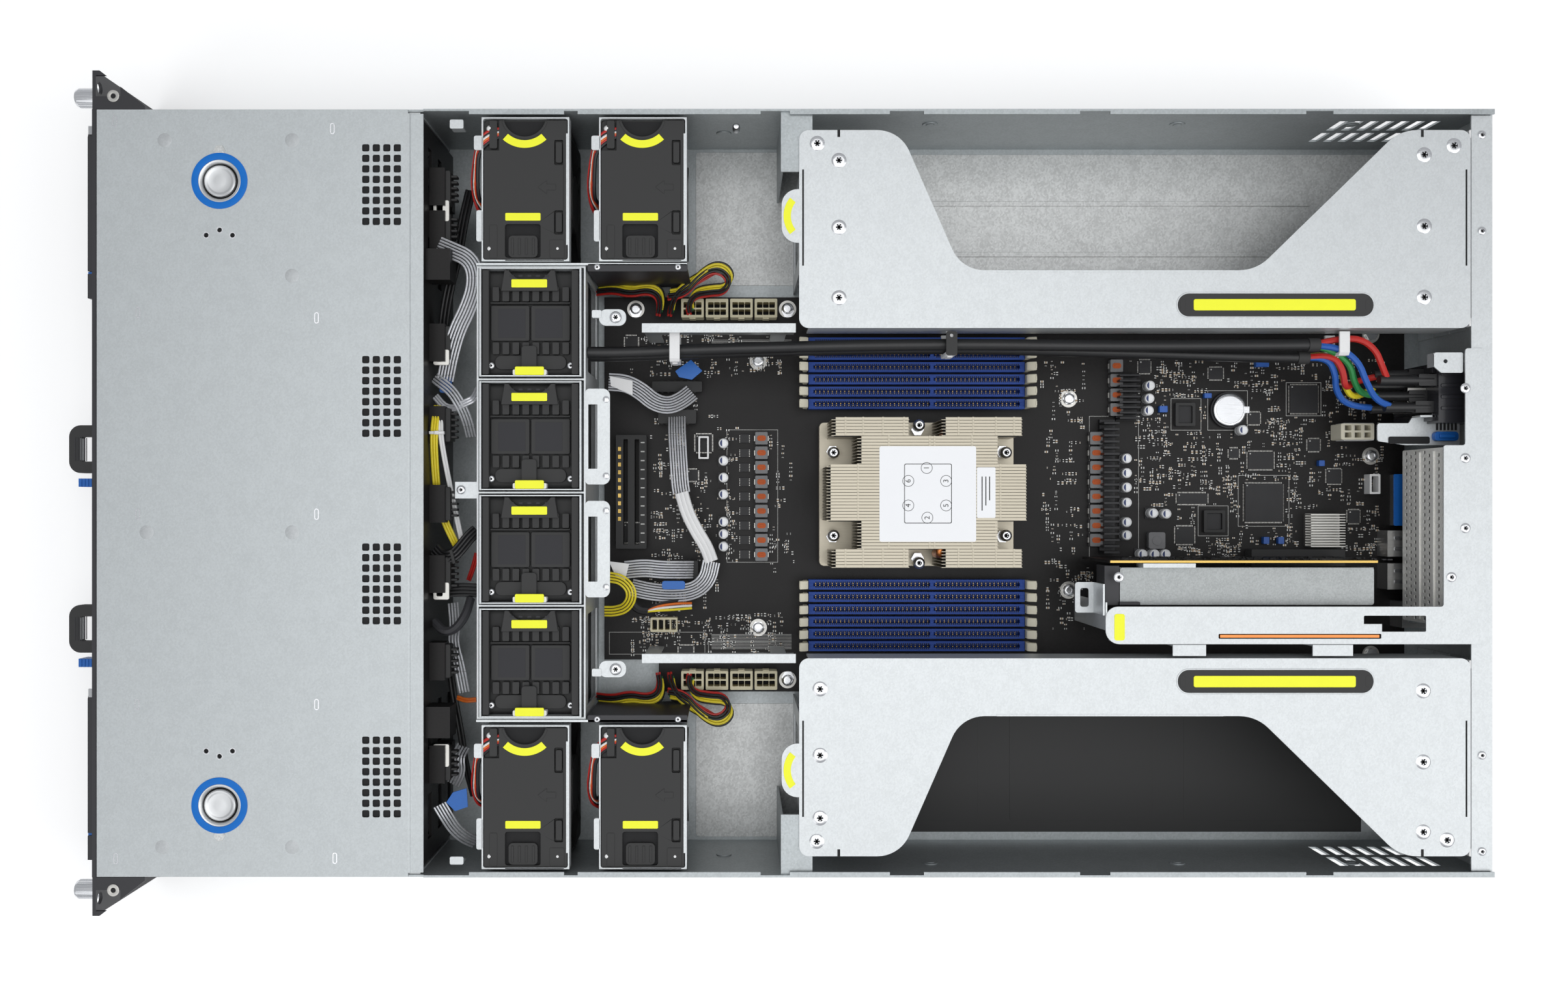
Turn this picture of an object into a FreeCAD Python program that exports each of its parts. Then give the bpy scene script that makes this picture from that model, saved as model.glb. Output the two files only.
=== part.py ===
"""A 2U rack server with its main lid off: one STEP file per separate piece, in millimetres.

Frame: +X runs from the front (drive bays) to the rear (ports), +Y is the left side seen
from the front, +Z is up. The origin is the middle of the underside of the chassis.
"""
import FreeCAD
import Part
import math
import os
from FreeCAD import Vector

# Overall sizes of the chassis; its width leaves room for the rack's posts on both sides
chassis_length = 800.0
rack_hole_span = 465.1
chassis_width = rack_hole_span - 26.7
chassis_height = 87.5
sheet = 1.2
rim_width = 3.0
bend_radius = 1.5
running_gap = 0.1
seat_gap = 0.3
front_x = -chassis_length / 2
rear_x = chassis_length / 2
half_width = chassis_width / 2
wall_in = half_width - sheet

# Front frame, ears and rack holes
frame_depth = 2.3
bay_count = 4
bay_pitch = (chassis_width - 6.4) / bay_count
bay_opening = bay_pitch - 2.4
bay_floor = 1.7
bay_top = chassis_height - 2.2
body_front = front_x + frame_depth
ear_tip = rack_hole_span / 2 + 8.75
ear_depth = 30.0
ear_plate = 2.0
rack_hole_rise = chassis_height - 11.3
rack_hole_radius = 3.4
knob_radius = 5.5
knob_length = 21.0
knob_z = chassis_height - 25.5

# Front cover and its two release buttons
cover_sheet = 1.0
cover_rear_x = front_x + 180.9
lip_rear_x = front_x + 188.9
vent_hole = 4.1
vent_pitch = 6.0
vent_columns = 4
vent_rows = 8
vent_x = front_x + 165.0
vent_groups_y = (176.1, 55.2, -51.8, -162.0)
button_x = front_x + 72.6
button_y = half_width - 41.0
button_radius = 9.0
button_flange = 10.7
button_travel = 1.2
cup_radius = 12.0
cup_depth = 3.4
cup_floor = 0.3
ring_radius = 15.6
ring_height = 0.4
cover_top = chassis_height - ring_height
cover_under = cover_top - cover_sheet
front_wall_top = cover_under - running_gap

# Drive bays: three trays high in the two outer columns
tray_levels = 3
tray_pitch = (chassis_height - 5.9) / tray_levels
ledge_sheet = 0.6
ledge_width = 3.0
first_ledge = sheet + ledge_sheet + 0.2
tray_sheet = 0.5
tray_width = bay_pitch - 4.8
tray_length = 172.0
tray_face_width = bay_pitch - 3.4
tray_face_height = tray_pitch - 0.6
drive_width = tray_width - 1.6
drive_height = tray_pitch - 1.8
drive_length = 147.0
lever_width = bay_pitch - 9.0
lever_depth = 5.7
lever_base = 4.6
lever_top = tray_face_height - lever_base
lever_pin_radius = 1.2
lever_pin_x = front_x - 3.6

# Power supplies in the two middle columns
supply_width = bay_pitch - 4.8
supply_height = chassis_height - 7.5
supply_length = 181.0
grip_width = 28.5
grip_reach = 33.0
grip_thickness = 6.0
grip_offset = -27.1
latch_offset = -47.3
latch_reach = 26.0
latch_width = 5.0

# Backplane behind the bays
backplane_x = front_x + 187.0
backplane_sheet = 1.6

# Fans; their wheels are as large as the height allows
fan_base = 2.6
fan_top = chassis_height - 3.5
wheel_z = (fan_top - 1.8) / 2
side_fan_fronts = (front_x + 221.5, front_x + 288.8)
side_fan_depth = 50.3
side_fan_width = 82.6
side_fan_centre_y = wall_in - side_fan_width / 2 - 2.5
side_fan_bore = wheel_z - 2.6
lid_base = sheet + seat_gap + 2 * side_fan_bore + 2.2
centre_fan_front = front_x + 219.4
centre_fan_depth = 60.0
centre_fan_count = 4
cage_mid_y = 0.4
centre_fan_pitch = 2 * (side_fan_centre_y - side_fan_width / 2 - 2.5) / centre_fan_count
centre_fan_width = centre_fan_pitch - 2.6
centre_fan_bore = centre_fan_width / 2 - 2.7
side_blades = 7
centre_blades = 5
blade_sheet = 1.4
blade_pitch = 38.0
cage_sheet = 1.0
strip_front = front_x + 313.4
centre_fan_y = [cage_mid_y + centre_fan_pitch * (i - (centre_fan_count - 1) / 2)
                for i in range(centre_fan_count)]
cable_end_x = centre_fan_front + centre_fan_depth + seat_gap + cage_sheet + 0.2

# Card cages over the two rear side bays
cage_front = front_x + 403.4
cage_rear = rear_x - 13.0
cage_outer_y = half_width - 11.7
cage_wall_y = cage_outer_y - 81.5
cage_inner_y = cage_wall_y - 31.6
cage_top = chassis_height - 1.5
plate_under = cage_top - cage_sheet
plate_corner = 5.5
window_floor_y = cage_wall_y + 1.4
window_front = cage_front + 57.6
window_rear = cage_rear - 40.2
window_front_slope = 35.1
window_rear_slope = 82.3
window_front_corner = 20.0
window_rear_corner = 24.0
handle_front = rear_x - 181.0
handle_rear = rear_x - 67.9
handle_inner_y = cage_inner_y + 6.0
handle_outer_y = cage_inner_y + 20.3
handle_travel = 20.0
post_depth = 18.0

# Main board and what stands on it
board_front = front_x + 285.0
board_rear = rear_x - 15.0
board_half_width = cage_wall_y - 2.8
board_sheet = 1.6
board_base = 9.0
board_top = board_base + board_sheet
dimm_first_y = 55.9
dimm_pitch = 7.62
dimm_per_side = 6
dimm_front = front_x + 406.0
dimm_rear = dimm_front + 146.1
dimm_width = 6.2
dimm_height = 9.0
latch_length = 6.0
latch_height = 17.0
latch_thickness = 5.4
sink_x = (dimm_front + dimm_rear) / 2 - 0.55
sink_length = 120.0
sink_width = 88.6
sink_top = 64.0
sink_core = 17.0
sink_waist = 33.5
sink_waist_reach = 44.0
screw_room = 9.5
fin_pitch = 3.2
fin_sheet = 0.8
choke_pitch = 9.05
choke_width = 8.2
field_front = dimm_rear + 52.9
field_rear = rear_x - 24.0

# Low cage over the short slots and the rear wall
riser_front = dimm_rear + 26.4
riser_rear = rear_x - 4.0
riser_inner_y = -41.5
riser_outer_y = 7.9 - cage_inner_y
riser_arm_x = rear_x - 28.0
riser_arm_y = 83.0
rear_sheet = 1.2
rear_flange = 12.0
slot_width = 108.0
slot_opening = 12.7
slot_rows = 4
first_slot_z = 10.5
slot_pitch = (chassis_height - 26.54) / (slot_rows - 1)
inlet_width = 35.0
inlet_height = chassis_height - 31.5
inlet_depth = 24.0
inlet_y = 58.5
inlet_z = 18.0 + inlet_height / 2
cable_radius = 3.5

nodes = {}


def add(name, *solids):
    """Put solids into a named node."""
    nodes.setdefault(name, []).extend(solids)


def slab(x0, x1, y0, y1, z0, z1):
    """A box between two corners, whichever way round each pair is given."""
    low = Vector(min(x0, x1), min(y0, y1), min(z0, z1))
    return Part.makeBox(abs(x1 - x0), abs(y1 - y0), abs(z1 - z0), low)


def rod(radius, centre, axis, length):
    """A cylinder from centre along axis."""
    return Part.makeCylinder(radius, length, Vector(*centre), Vector(*axis))


def plate(points, z0, z1):
    """A flat plate with the outline given by points in X and Y."""
    corners = [Vector(x, y, z0) for x, y in points]
    wire = Part.makePolygon(corners + corners[:1])
    return Part.Face(wire).extrude(Vector(0, 0, z1 - z0))


def soft_plate(corners, z0, z1):
    """A flat plate whose corners, given as x, y and radius, are rounded by arcs."""
    count = len(corners)
    points = [Vector(x, y, z0) for x, y, radius in corners]
    bends = []
    for i in range(count):
        before = (points[i - 1] - points[i]).normalize()
        after = (points[(i + 1) % count] - points[i]).normalize()
        half = before.getAngle(after) / 2
        radius = corners[i][2]
        setback = radius / math.tan(half)
        inward = (before + after).normalize()
        bends.append((points[i] + before * setback,
                      points[i] + inward * (radius / math.sin(half) - radius),
                      points[i] + after * setback))
    edges = []
    for i in range(count):
        start, middle, end = bends[i]
        if corners[i][2]:
            edges.append(Part.Arc(start, middle, end).toShape())
        edges.append(Part.LineSegment(end, bends[(i + 1) % count][0]).toShape())
    return Part.Face(Part.Wire(edges)).extrude(Vector(0, 0, z1 - z0))


def peg(radius, sides, centre, axis, length):
    """A straight peg with flat sides; radius is measured to the middle of a side."""
    reach = radius / math.cos(math.pi / sides)
    angles = [2 * math.pi * i / sides for i in range(sides)]
    ring = [(reach * math.cos(angle), reach * math.sin(angle)) for angle in angles]
    if axis[0]:
        points = [Vector(0, u, v) for u, v in ring]
    else:
        points = [Vector(u, v, 0) for u, v in ring]
    corners = [point + Vector(*centre) for point in points]
    wire = Part.makePolygon(corners + corners[:1])
    return Part.Face(wire).extrude(Vector(*axis) * length)


def racetrack(x0, x1, y0, y1, z0, z1):
    """A long upright block with half-round ends along X."""
    low, high = min(y0, y1), max(y0, y1)
    radius = (high - low) / 2
    middle = (high + low) / 2
    body = slab(x0 + radius, x1 - radius, low, high, z0, z1)
    for end in (x0 + radius, x1 - radius):
        body = body.fuse(rod(radius, (end, middle, z0), (0, 0, 1), z1 - z0))
    return body.removeSplitter()


def joined(shapes):
    """One solid from shapes that touch or overlap."""
    return shapes[0].multiFuse(shapes[1:]).removeSplitter()


def minus(shape, tools):
    """The shape with every tool taken away."""
    return shape.cut(Part.makeCompound(tools))


def flipped(shape):
    """The mirror image on the other side of the chassis."""
    return shape.mirror(Vector(0, 0, 0), Vector(0, 1, 0))


def placed(shape, x, y, z):
    """A copy moved by x, y and z."""
    copy = shape.copy()
    copy.translate(Vector(x, y, z))
    return copy


def bay_centre(index):
    """Middle of a front column, counted from the left."""
    return bay_pitch * ((bay_count - 1) / 2 - index)


def make_chassis_tray():
    """Floor and side walls bent from one sheet, with the top rims, standoffs and cage posts."""
    block = slab(body_front, rear_x, -half_width, half_width, 0, chassis_height)
    bends = [e for e in block.Edges
             if abs(e.BoundBox.ZMax) < 0.01 and e.BoundBox.XLength > 100]
    block = block.makeFillet(bend_radius, bends)
    tools = [slab(body_front - 1, rear_x + 1, -wall_in, wall_in, sheet, chassis_height + 1)]
    tools.append(slab(body_front - 1, lip_rear_x, -half_width - 1, half_width + 1,
                      front_wall_top, chassis_height + 1))
    tray = minus(block, tools)
    rim_in = half_width - rim_width
    rims = [slab(lip_rear_x, rear_x, side * rim_in, side * (wall_in + 0.5),
                 chassis_height - sheet, chassis_height) for side in (1, -1)]
    rim_gaps = ((188.9, 215.0), (269.2, 277.0), (381.3, 398.0), (455.0, 474.5),
                (563.5, 580.8), (692.5, 708.0))
    notches = [slab(front_x + start, front_x + end, side * (rim_in - 1), side * wall_in,
                    chassis_height - 2 * sheet, chassis_height + 1)
               for start, end in rim_gaps for side in (1, -1)]
    vent_x0 = rear_x - 79.0
    vents = [slab(vent_x0 + 9 * i, vent_x0 + 9 * i + 5, side * (wall_in - 1),
                  side * (half_width + 1), 20 + 26 * k, 40 + 26 * k)
             for i in range(7) for k in range(2) for side in (1, -1)]
    tray = joined([tray] + [minus(rim, notches) for rim in rims])
    tray = minus(tray, vents)
    standoffs = [peg(3.0, 6, (x, y, sheet / 2), (0, 0, 1), board_base - sheet / 2)
                 for x, y in standoff_places()]
    posts = []
    for side in (1, -1):
        outer = slab(cage_front - 10.4, cage_front - 10.4 + post_depth,
                     side * (wall_in - 34), side * (wall_in + 0.2), sheet / 2,
                     plate_under - running_gap)
        inner = slab(cage_front - 9.2, cage_front - 11.6 + post_depth,
                     side * (wall_in - 35), side * (wall_in - 1.2), sheet, plate_under - 2)
        posts.append(minus(outer, [inner]))
    add("chassis_tray", joined([tray] + standoffs + posts))


def standoff_places():
    """Where the main board is screwed down."""
    edge_y = board_half_width - 9.2
    paired = ((cage_front - 3.7, edge_y), (cage_front - 22.3, 82.9),
              (dimm_rear + 23.0, 59.8), (rear_x - 36, 100.0))
    places = [(x, side * y) for x, y in paired for side in (1, -1)]
    return places + [(board_front + 19.7, edge_y), (rear_x - 36, 24.0)]


def make_front_frame():
    """The black frame across the front with one opening for each column."""
    body = slab(front_x, body_front, -half_width, half_width, 0, chassis_height)
    openings = []
    for index in range(bay_count):
        middle = bay_centre(index)
        openings.append(slab(front_x - 1, body_front + 1, middle - bay_opening / 2,
                             middle + bay_opening / 2, bay_floor, bay_top))
    add("front_frame", minus(body, openings))


def make_bay_dividers():
    """Upright sheets between the columns, with ledges that carry the trays."""
    rear = backplane_x - seat_gap
    for index in range(1, bay_count):
        middle = bay_pitch * (bay_count / 2 - index)
        pieces = [slab(body_front + running_gap, rear, middle - sheet / 2, middle + sheet / 2,
                       sheet, cover_under - 1.2)]
        if middle:
            side = math.copysign(1, middle)
            pieces += tray_ledges(middle + side * sheet / 2, side)
        add("bay_dividers", joined(pieces))
    for side in (1, -1):
        liner = slab(body_front + running_gap, rear, side * (wall_in - 0.2),
                     side * (wall_in - 1.4), sheet, cover_under - 1.2)
        pieces = [liner] + tray_ledges(side * (wall_in - 1.4), -side)
        add("bay_dividers", joined(pieces))


def tray_ledges(face_y, direction):
    """Ledges that stand out from a divider's face, one under each tray."""
    width = ledge_width
    if abs(face_y) > half_width - 10:
        width = abs(face_y) - (bay_centre(0) + tray_width / 2) + 1.2
    return [slab(body_front + 4, backplane_x - 12, face_y - direction * 0.3,
                 face_y + direction * width,
                 first_ledge - ledge_sheet + tray_pitch * level, first_ledge + tray_pitch * level)
            for level in range(tray_levels)]


def make_ears():
    """Rack ears with a gusset on top, and their captive thumbscrews."""
    top = chassis_height - 0.5
    face = slab(front_x, front_x + ear_plate, half_width, ear_tip, 0.5, top)
    flange = slab(front_x, front_x + ear_depth, half_width, half_width + ear_plate, 0.5, top)
    outline = ((front_x, half_width), (front_x, ear_tip), (front_x + 4, ear_tip),
               (front_x + ear_depth, half_width + ear_plate), (front_x + ear_depth, half_width))
    gussets = [plate(outline, top - ear_plate, top), plate(outline, 0.5, 0.5 + ear_plate)]
    hole_y = rack_hole_span / 2
    holes = []
    for rise in (-rack_hole_rise / 2, rack_hole_rise / 2):
        holes.append(rod(rack_hole_radius, (front_x - 1, hole_y, chassis_height / 2 + rise),
                         (1, 0, 0), ear_plate + 2))
        holes.append(slab(front_x + ear_plate, front_x + 16, hole_y - 6, hole_y + 6,
                          chassis_height / 2 + rise - 6, chassis_height / 2 + rise + 6))
    screw_seat = peg(2.5 + running_gap, 12, (front_x - 1, hole_y, knob_z), (1, 0, 0),
                     ear_plate + 2)
    ear = minus(joined([face, flange] + gussets), holes + [screw_seat])
    knob = rod(knob_radius, (front_x - running_gap, hole_y, knob_z), (-1, 0, 0), knob_length)
    neck = peg(2.5, 12, (front_x - 1, hole_y, knob_z), (1, 0, 0), 12)
    slot = slab(front_x - knob_length - 1, front_x - knob_length + 1.4, hole_y - 4.5,
                hole_y + 4.5, knob_z - 0.8, knob_z + 0.8)
    screw = minus(joined([knob, neck]), [slot])
    gusset_screw = peg(3.4, 6, (front_x + 12, half_width + 7.4, top), (0, 0, 1), 0.5)
    add("rack_ears", ear, flipped(ear))
    add("ear_screws", screw, flipped(screw), gusset_screw, flipped(gusset_screw))


def make_front_cover():
    """The lid over the drive bays, with vents, a stepped rear lip and the button cups."""
    reach = half_width - running_gap
    under = cover_under
    top = cover_top
    sheet_top = slab(body_front + running_gap, cover_rear_x, -reach, reach, under, top)
    lip_reach = wall_in - 0.6
    step = slab(cover_rear_x - cover_sheet, cover_rear_x, -lip_reach, lip_reach,
                under - cover_sheet, top)
    lip = slab(cover_rear_x - cover_sheet, lip_rear_x, -lip_reach, lip_reach,
               under - cover_sheet, under)
    holes = []
    for group_y in vent_groups_y:
        for column in range(vent_columns):
            for row in range(vent_rows):
                x = vent_x + vent_pitch * (column - (vent_columns - 1) / 2)
                y = group_y + vent_pitch * (row - (vent_rows - 1) / 2)
                holes.append(slab(x - vent_hole / 2, x + vent_hole / 2, y - vent_hole / 2,
                                  y + vent_hole / 2, under - 1, top + 1))
    cups = []
    for side in (1, -1):
        y = side * button_y
        holes.append(rod(cup_radius, (button_x, y, under - 1), (0, 0, 1), 3))
        cups.append(button_cup(y))
    add("front_cover", minus(joined([sheet_top, step, lip]), holes), *cups)


def button_cup(y):
    """A black cup with a blue ring round its mouth, in which a release button travels."""
    top = chassis_height
    floor = front_wall_top - cup_depth
    ring = rod(ring_radius, (button_x, y, cover_top), (0, 0, 1), ring_height)
    tube = rod(cup_radius, (button_x, y, floor), (0, 0, 1), top - floor)
    hollow = peg(button_flange + running_gap, 36, (button_x, y, floor + cup_floor),
                 (0, 0, 1), 6)
    return minus(joined([ring, tube]), [hollow])


def make_cover_buttons():
    """Round push buttons, guided by a flange at the foot."""
    foot = front_wall_top - cup_depth + cup_floor + button_travel + running_gap
    for side, name in ((1, "cover_button_left"), (-1, "cover_button_right")):
        y = side * button_y
        cap = peg(button_radius, 36, (button_x, y, foot), (0, 0, 1), chassis_height - 0.2 - foot)
        flange = peg(button_flange, 36, (button_x, y, foot), (0, 0, 1), 0.8)
        add(name, joined([cap, flange]))


def make_drive_trays():
    """Six sliding trays, each with its drive, and the lever on each tray's face."""
    number = 0
    for index in (0, bay_count - 1):
        middle = bay_centre(index)
        for level in range(tray_levels):
            number += 1
            base = first_ledge + tray_pitch * level + running_gap
            tray, drive = tray_with_drive()
            add(f"drive_tray_{number}", placed(tray, 0, middle, base),
                placed(drive, 0, middle, base))
            add(f"tray_lever_{number}", placed(tray_lever(), 0, middle, base))


def tray_with_drive():
    """A tray with its face and side rails, and the drive that it carries, at the origin."""
    half = tray_width / 2
    face_x = front_x - 0.6
    rear = body_front + tray_length
    floor = slab(body_front - 1, rear, -half, half, 0, tray_sheet)
    rails = [slab(body_front - 1, rear, side * half, side * (half - 0.6), 0, 12)
             for side in (1, -1)]
    face = slab(face_x, body_front, -tray_face_width / 2, tray_face_width / 2,
                0, tray_face_height)
    slots = [slab(face_x - 1, body_front + 1, -47 + 45 * i, -8 + 45 * i, z, z + 2.4)
             for i in range(2) for z in (2.6, tray_face_height - 5.2)]
    lugs = hinge_lugs(face_x)
    body = joined([floor] + rails + [face] + lugs)
    drive = slab(rear - drive_length - 4, rear - 4, -drive_width / 2 + 0.2,
                 drive_width / 2 - 0.2, tray_sheet, tray_sheet + drive_height)
    return minus(body, slots), drive


def hinge_lugs(face_x):
    """Two lugs on the tray's face that hold the lever's pin."""
    y = lever_width / 2 - 2.5
    lugs = []
    for z0, z1 in ((lever_base - 1.6, lever_base - 0.2), (lever_top + 0.2, lever_top + 1.6)):
        lug = slab(face_x + 0.2, face_x - 4.9, y - 2.4, y + 2.4, z0, z1)
        lugs.append(lug)
    pin_base = lever_base - 0.6
    lugs.append(peg(lever_pin_radius, 12, (lever_pin_x, y, pin_base), (0, 0, 1),
                    lever_top + 0.8 - pin_base))
    return lugs


def tray_lever():
    """The lever across a tray's face, with a bevel at its hinge and a thumb notch."""
    face_x = front_x - 0.6
    near = face_x - seat_gap
    far = near - lever_depth
    half = lever_width / 2
    hinge_y = half - 2.5
    z0 = lever_base
    z1 = lever_top
    outline = ((near, -half), (near, hinge_y), (near - 2.2, half), (far + 1.0, half - 0.6),
               (far, half - 6), (far, -half))
    body = plate(outline, z0, z1)
    bore = peg(lever_pin_radius + 0.12, 12, (lever_pin_x, hinge_y, z0 - 1), (0, 0, 1),
               z1 - z0 + 2)
    notch = slab(far - 1, far + 2.4, -half + 14.0, -half + 15.6, z0 - 1, z1 + 1)
    return minus(body, [bore, notch])


def make_power_supplies():
    """Two sliding power supplies with a loop grip and a squeeze latch on the face."""
    for index, name in ((1, "left"), (2, "right")):
        middle = bay_centre(index)
        half = supply_width / 2
        z0 = bay_floor + 0.2
        z1 = z0 + supply_height
        face_x = front_x - 0.6
        box = slab(face_x, body_front + supply_length, middle - half, middle + half, z0, z1)
        rise = (supply_height - 17) / 3
        grille = [slab(face_x - 1, face_x + 4, middle + 14 + 9 * i, middle + 20 + 9 * i,
                       z0 + 10 + rise * k, z0 + 7 + rise * (k + 1))
                  for i in range(4) for k in range(3)]
        waist = z0 + supply_height / 2 - 0.9
        latch_y = middle + latch_offset
        pocket = slab(face_x - 1, face_x + 6, latch_y - 3.2, latch_y + 6,
                      waist - 8, waist + 8)
        grip_y = middle + grip_offset
        grip = slab(face_x + 1, face_x - grip_reach, grip_y - grip_width / 2,
                    grip_y + grip_width / 2, waist - grip_thickness / 2,
                    waist + grip_thickness / 2)
        corners = [e for e in grip.Edges if e.BoundBox.ZLength > 5
                   and e.BoundBox.XMin < face_x - 5]
        grip = grip.makeFillet(7.0, corners)
        hole = slab(face_x - 3, face_x - grip_reach + 6.5, grip_y - 7.5, grip_y + 7.5,
                    waist - 11, waist + 11)
        body = minus(joined([minus(box, grille + [pocket]), grip]), [hole])
        add(f"power_supply_{name}", body)
        arm = slab(face_x + 5.4, face_x - latch_reach, latch_y - latch_width / 2,
                   latch_y + latch_width / 2 - 2.5, waist - 6, waist + 6)
        pad = slab(face_x - latch_reach + 9, face_x - latch_reach, latch_y - latch_width / 2,
                   latch_y + latch_width / 2, waist - 6, waist + 6)
        add(f"supply_latch_{name}", joined([arm, pad]))


def make_backplane():
    """The upright board behind the bays, with its plugs to the front and sockets behind."""
    x1 = backplane_x + backplane_sheet
    top = cover_under - cover_sheet - 0.4
    reach = wall_in - 5
    board = slab(backplane_x, x1, -reach, reach, sheet + running_gap, top)
    holes = []
    for index in (0, bay_count - 1):
        for level in range(tray_levels):
            z = first_ledge + tray_pitch * level + 12
            for offset in (-26, 26):
                y = bay_centre(index) + offset
                holes.append(slab(backplane_x - 1, x1 + 1, y - 13, y + 13, z - 5, z + 5))
    add("backplane_board", minus(board, holes))
    for y in (179, 154, 88, 40, -6, -47, -98, -158):
        add("backplane_board", slab(x1, x1 + 9, y - 11, y + 11, top - 26.7, top - 14.7))
        add("backplane_board", slab(x1, x1 + 7, y - 8, y + 8, 30, 39))
    for y in (132, -132):
        add("backplane_board", slab(x1, x1 + 14, y - 9, y + 9, top - 22.7, top - 4.7))


def rotor(bore, length, hub_radius, blade_count):
    """A fan wheel round the X axis, front of the hub at the origin."""
    hub = peg(hub_radius, 2 * blade_count, (0, 0, 0), (1, 0, 0), length)
    tip = bore - 1.0
    chord = length * 0.85
    half_sweep = chord / 2 * math.sin(math.radians(blade_pitch))
    parts = [hub]
    for blade in range(blade_count):
        vane = slab(-chord / 2, chord / 2, -blade_sheet / 2, blade_sheet / 2,
                    hub_radius - 2, math.sqrt(tip ** 2 - half_sweep ** 2) - blade_sheet)
        vane.rotate(Vector(0, 0, 0), Vector(0, 0, 1), blade_pitch)
        vane.rotate(Vector(0, 0, 0), Vector(1, 0, 0), 360 / blade_count * blade)
        parts.append(placed(vane, length / 2, 0, 0))
    return joined(parts)


def fan_frame(depth, width, height, bore, hub_radius, wheel_height, motor):
    """A fan's frame with its bore, motor and struts, standing on the origin."""
    guard = 1.5
    body = slab(0, depth - guard, -width / 2, width / 2, 0, height)
    body = body.cut(peg(bore, 36, (-1, 0, wheel_height), (1, 0, 0), depth + 2))
    parts = [peg(hub_radius, 14, (depth - motor, 0, wheel_height), (1, 0, 0), motor)]
    for angle in (45, 135):
        strut = slab(depth - guard, depth, -1.6, 1.6, -bore - 2, bore + 2)
        strut.rotate(Vector(0, 0, 0), Vector(1, 0, 0), angle)
        parts.append(placed(strut, 0, 0, wheel_height))
    return joined([body] + parts)


def make_side_fans():
    """Four large fan modules beside the middle row, each with its wheel."""
    number = 0
    hub = 17.0
    motor = 10.0
    wheel_length = 30.0
    base = sheet + seat_gap
    depth = side_fan_depth - 2 * cage_sheet - 0.2
    width = side_fan_width - 2 * cage_sheet - 0.2
    for side in (1, -1):
        for front in side_fan_fronts:
            number += 1
            y = side * side_fan_centre_y
            frame = fan_frame(depth, width, lid_base - base, side_fan_bore, hub,
                              wheel_z - base, motor)
            frame_x = front + cage_sheet + 0.1
            add(f"side_fan_{number}", placed(frame, frame_x, y, base),
                side_fan_band(front, y), side_fan_lid(front, y))
            wheel_x = frame_x + depth - motor - wheel_length - seat_gap
            wheel = placed(rotor(side_fan_bore, wheel_length, hub, side_blades),
                           wheel_x, y, wheel_z)
            add(f"side_rotor_{number}", wheel)


def side_fan_band(front, y):
    """The band of thin sheet round the top of a side fan module, with its two front tabs."""
    rear = front + side_fan_depth
    half = side_fan_width / 2
    low = fan_top - 9
    outer = slab(front, rear, y - half, y + half, low, fan_top)
    inner = slab(front + cage_sheet, rear - cage_sheet, y - half + cage_sheet,
                 y + half - cage_sheet, low - 1, fan_top + 1)
    tabs = [slab(front - 3.0, front + 0.5, y + start, y + end, fan_top - 1.2, fan_top)
            for start, end in ((22.4, 30.7), (-30.0, -12.0))]
    return joined([outer.cut(inner)] + tabs)


def side_fan_lid(front, y):
    """The black lid of a side fan module, stepped at one corner, with a round thumb notch."""
    clear = cage_sheet + 0.1
    rear = front + side_fan_depth - clear
    low = y - side_fan_width / 2 + clear
    high = y + side_fan_width / 2 - clear
    corners = ((front + clear, low, 2), (rear, low, 2), (rear, high, 2),
               (front + 9.9, high, 2), (front + 9.9, y + 22.4, 2), (front + clear, y + 22.4, 2))
    lid = soft_plate(corners, lid_base, fan_top)
    notch = rod(12.2, (front + 24.7, high + 2.5, lid_base + 0.8), (0, 0, 1), 10)
    pocket = slab(front + 13.4, front + 33.7, y - 38.9, y - 19.9, lid_base + 0.8, fan_top + 1)
    slots = [slab(front + 41.7, front + 46.7, y + start, y + end, lid_base + 0.8, fan_top + 1)
             for start, end in ((14.0, 28.3), (-25.8, -12.1))]
    return minus(lid, [notch, pocket] + slots)


def make_centre_fans():
    """Four deep fan modules in a row across the middle, each with its wheel."""
    body_height = fan_top - 10.0
    hub = 13.0
    motor = 16.0
    wheel_length = 28.0
    for index, y in enumerate(reversed(centre_fan_y)):
        frame = fan_frame(centre_fan_depth - 4, centre_fan_width - 2, body_height,
                          centre_fan_bore, hub, wheel_z - fan_base, motor)
        ribs = [slab(6 + 8 * i, 9 + 8 * i, -centre_fan_width / 2 + 12,
                     centre_fan_width / 2 - 12, body_height - 1.5, body_height + 1)
                for i in range(6)]
        frame = placed(minus(frame, ribs), centre_fan_front + 2, y, fan_base)
        add(f"centre_fan_{index + 1}", frame, centre_fan_carrier(y, fan_base + body_height))
        wheel = placed(rotor(centre_fan_bore, wheel_length, hub, centre_blades),
                       centre_fan_front + centre_fan_depth - 2 - motor - wheel_length - seat_gap,
                       y, wheel_z)
        add(f"centre_rotor_{index + 1}", wheel)


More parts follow.
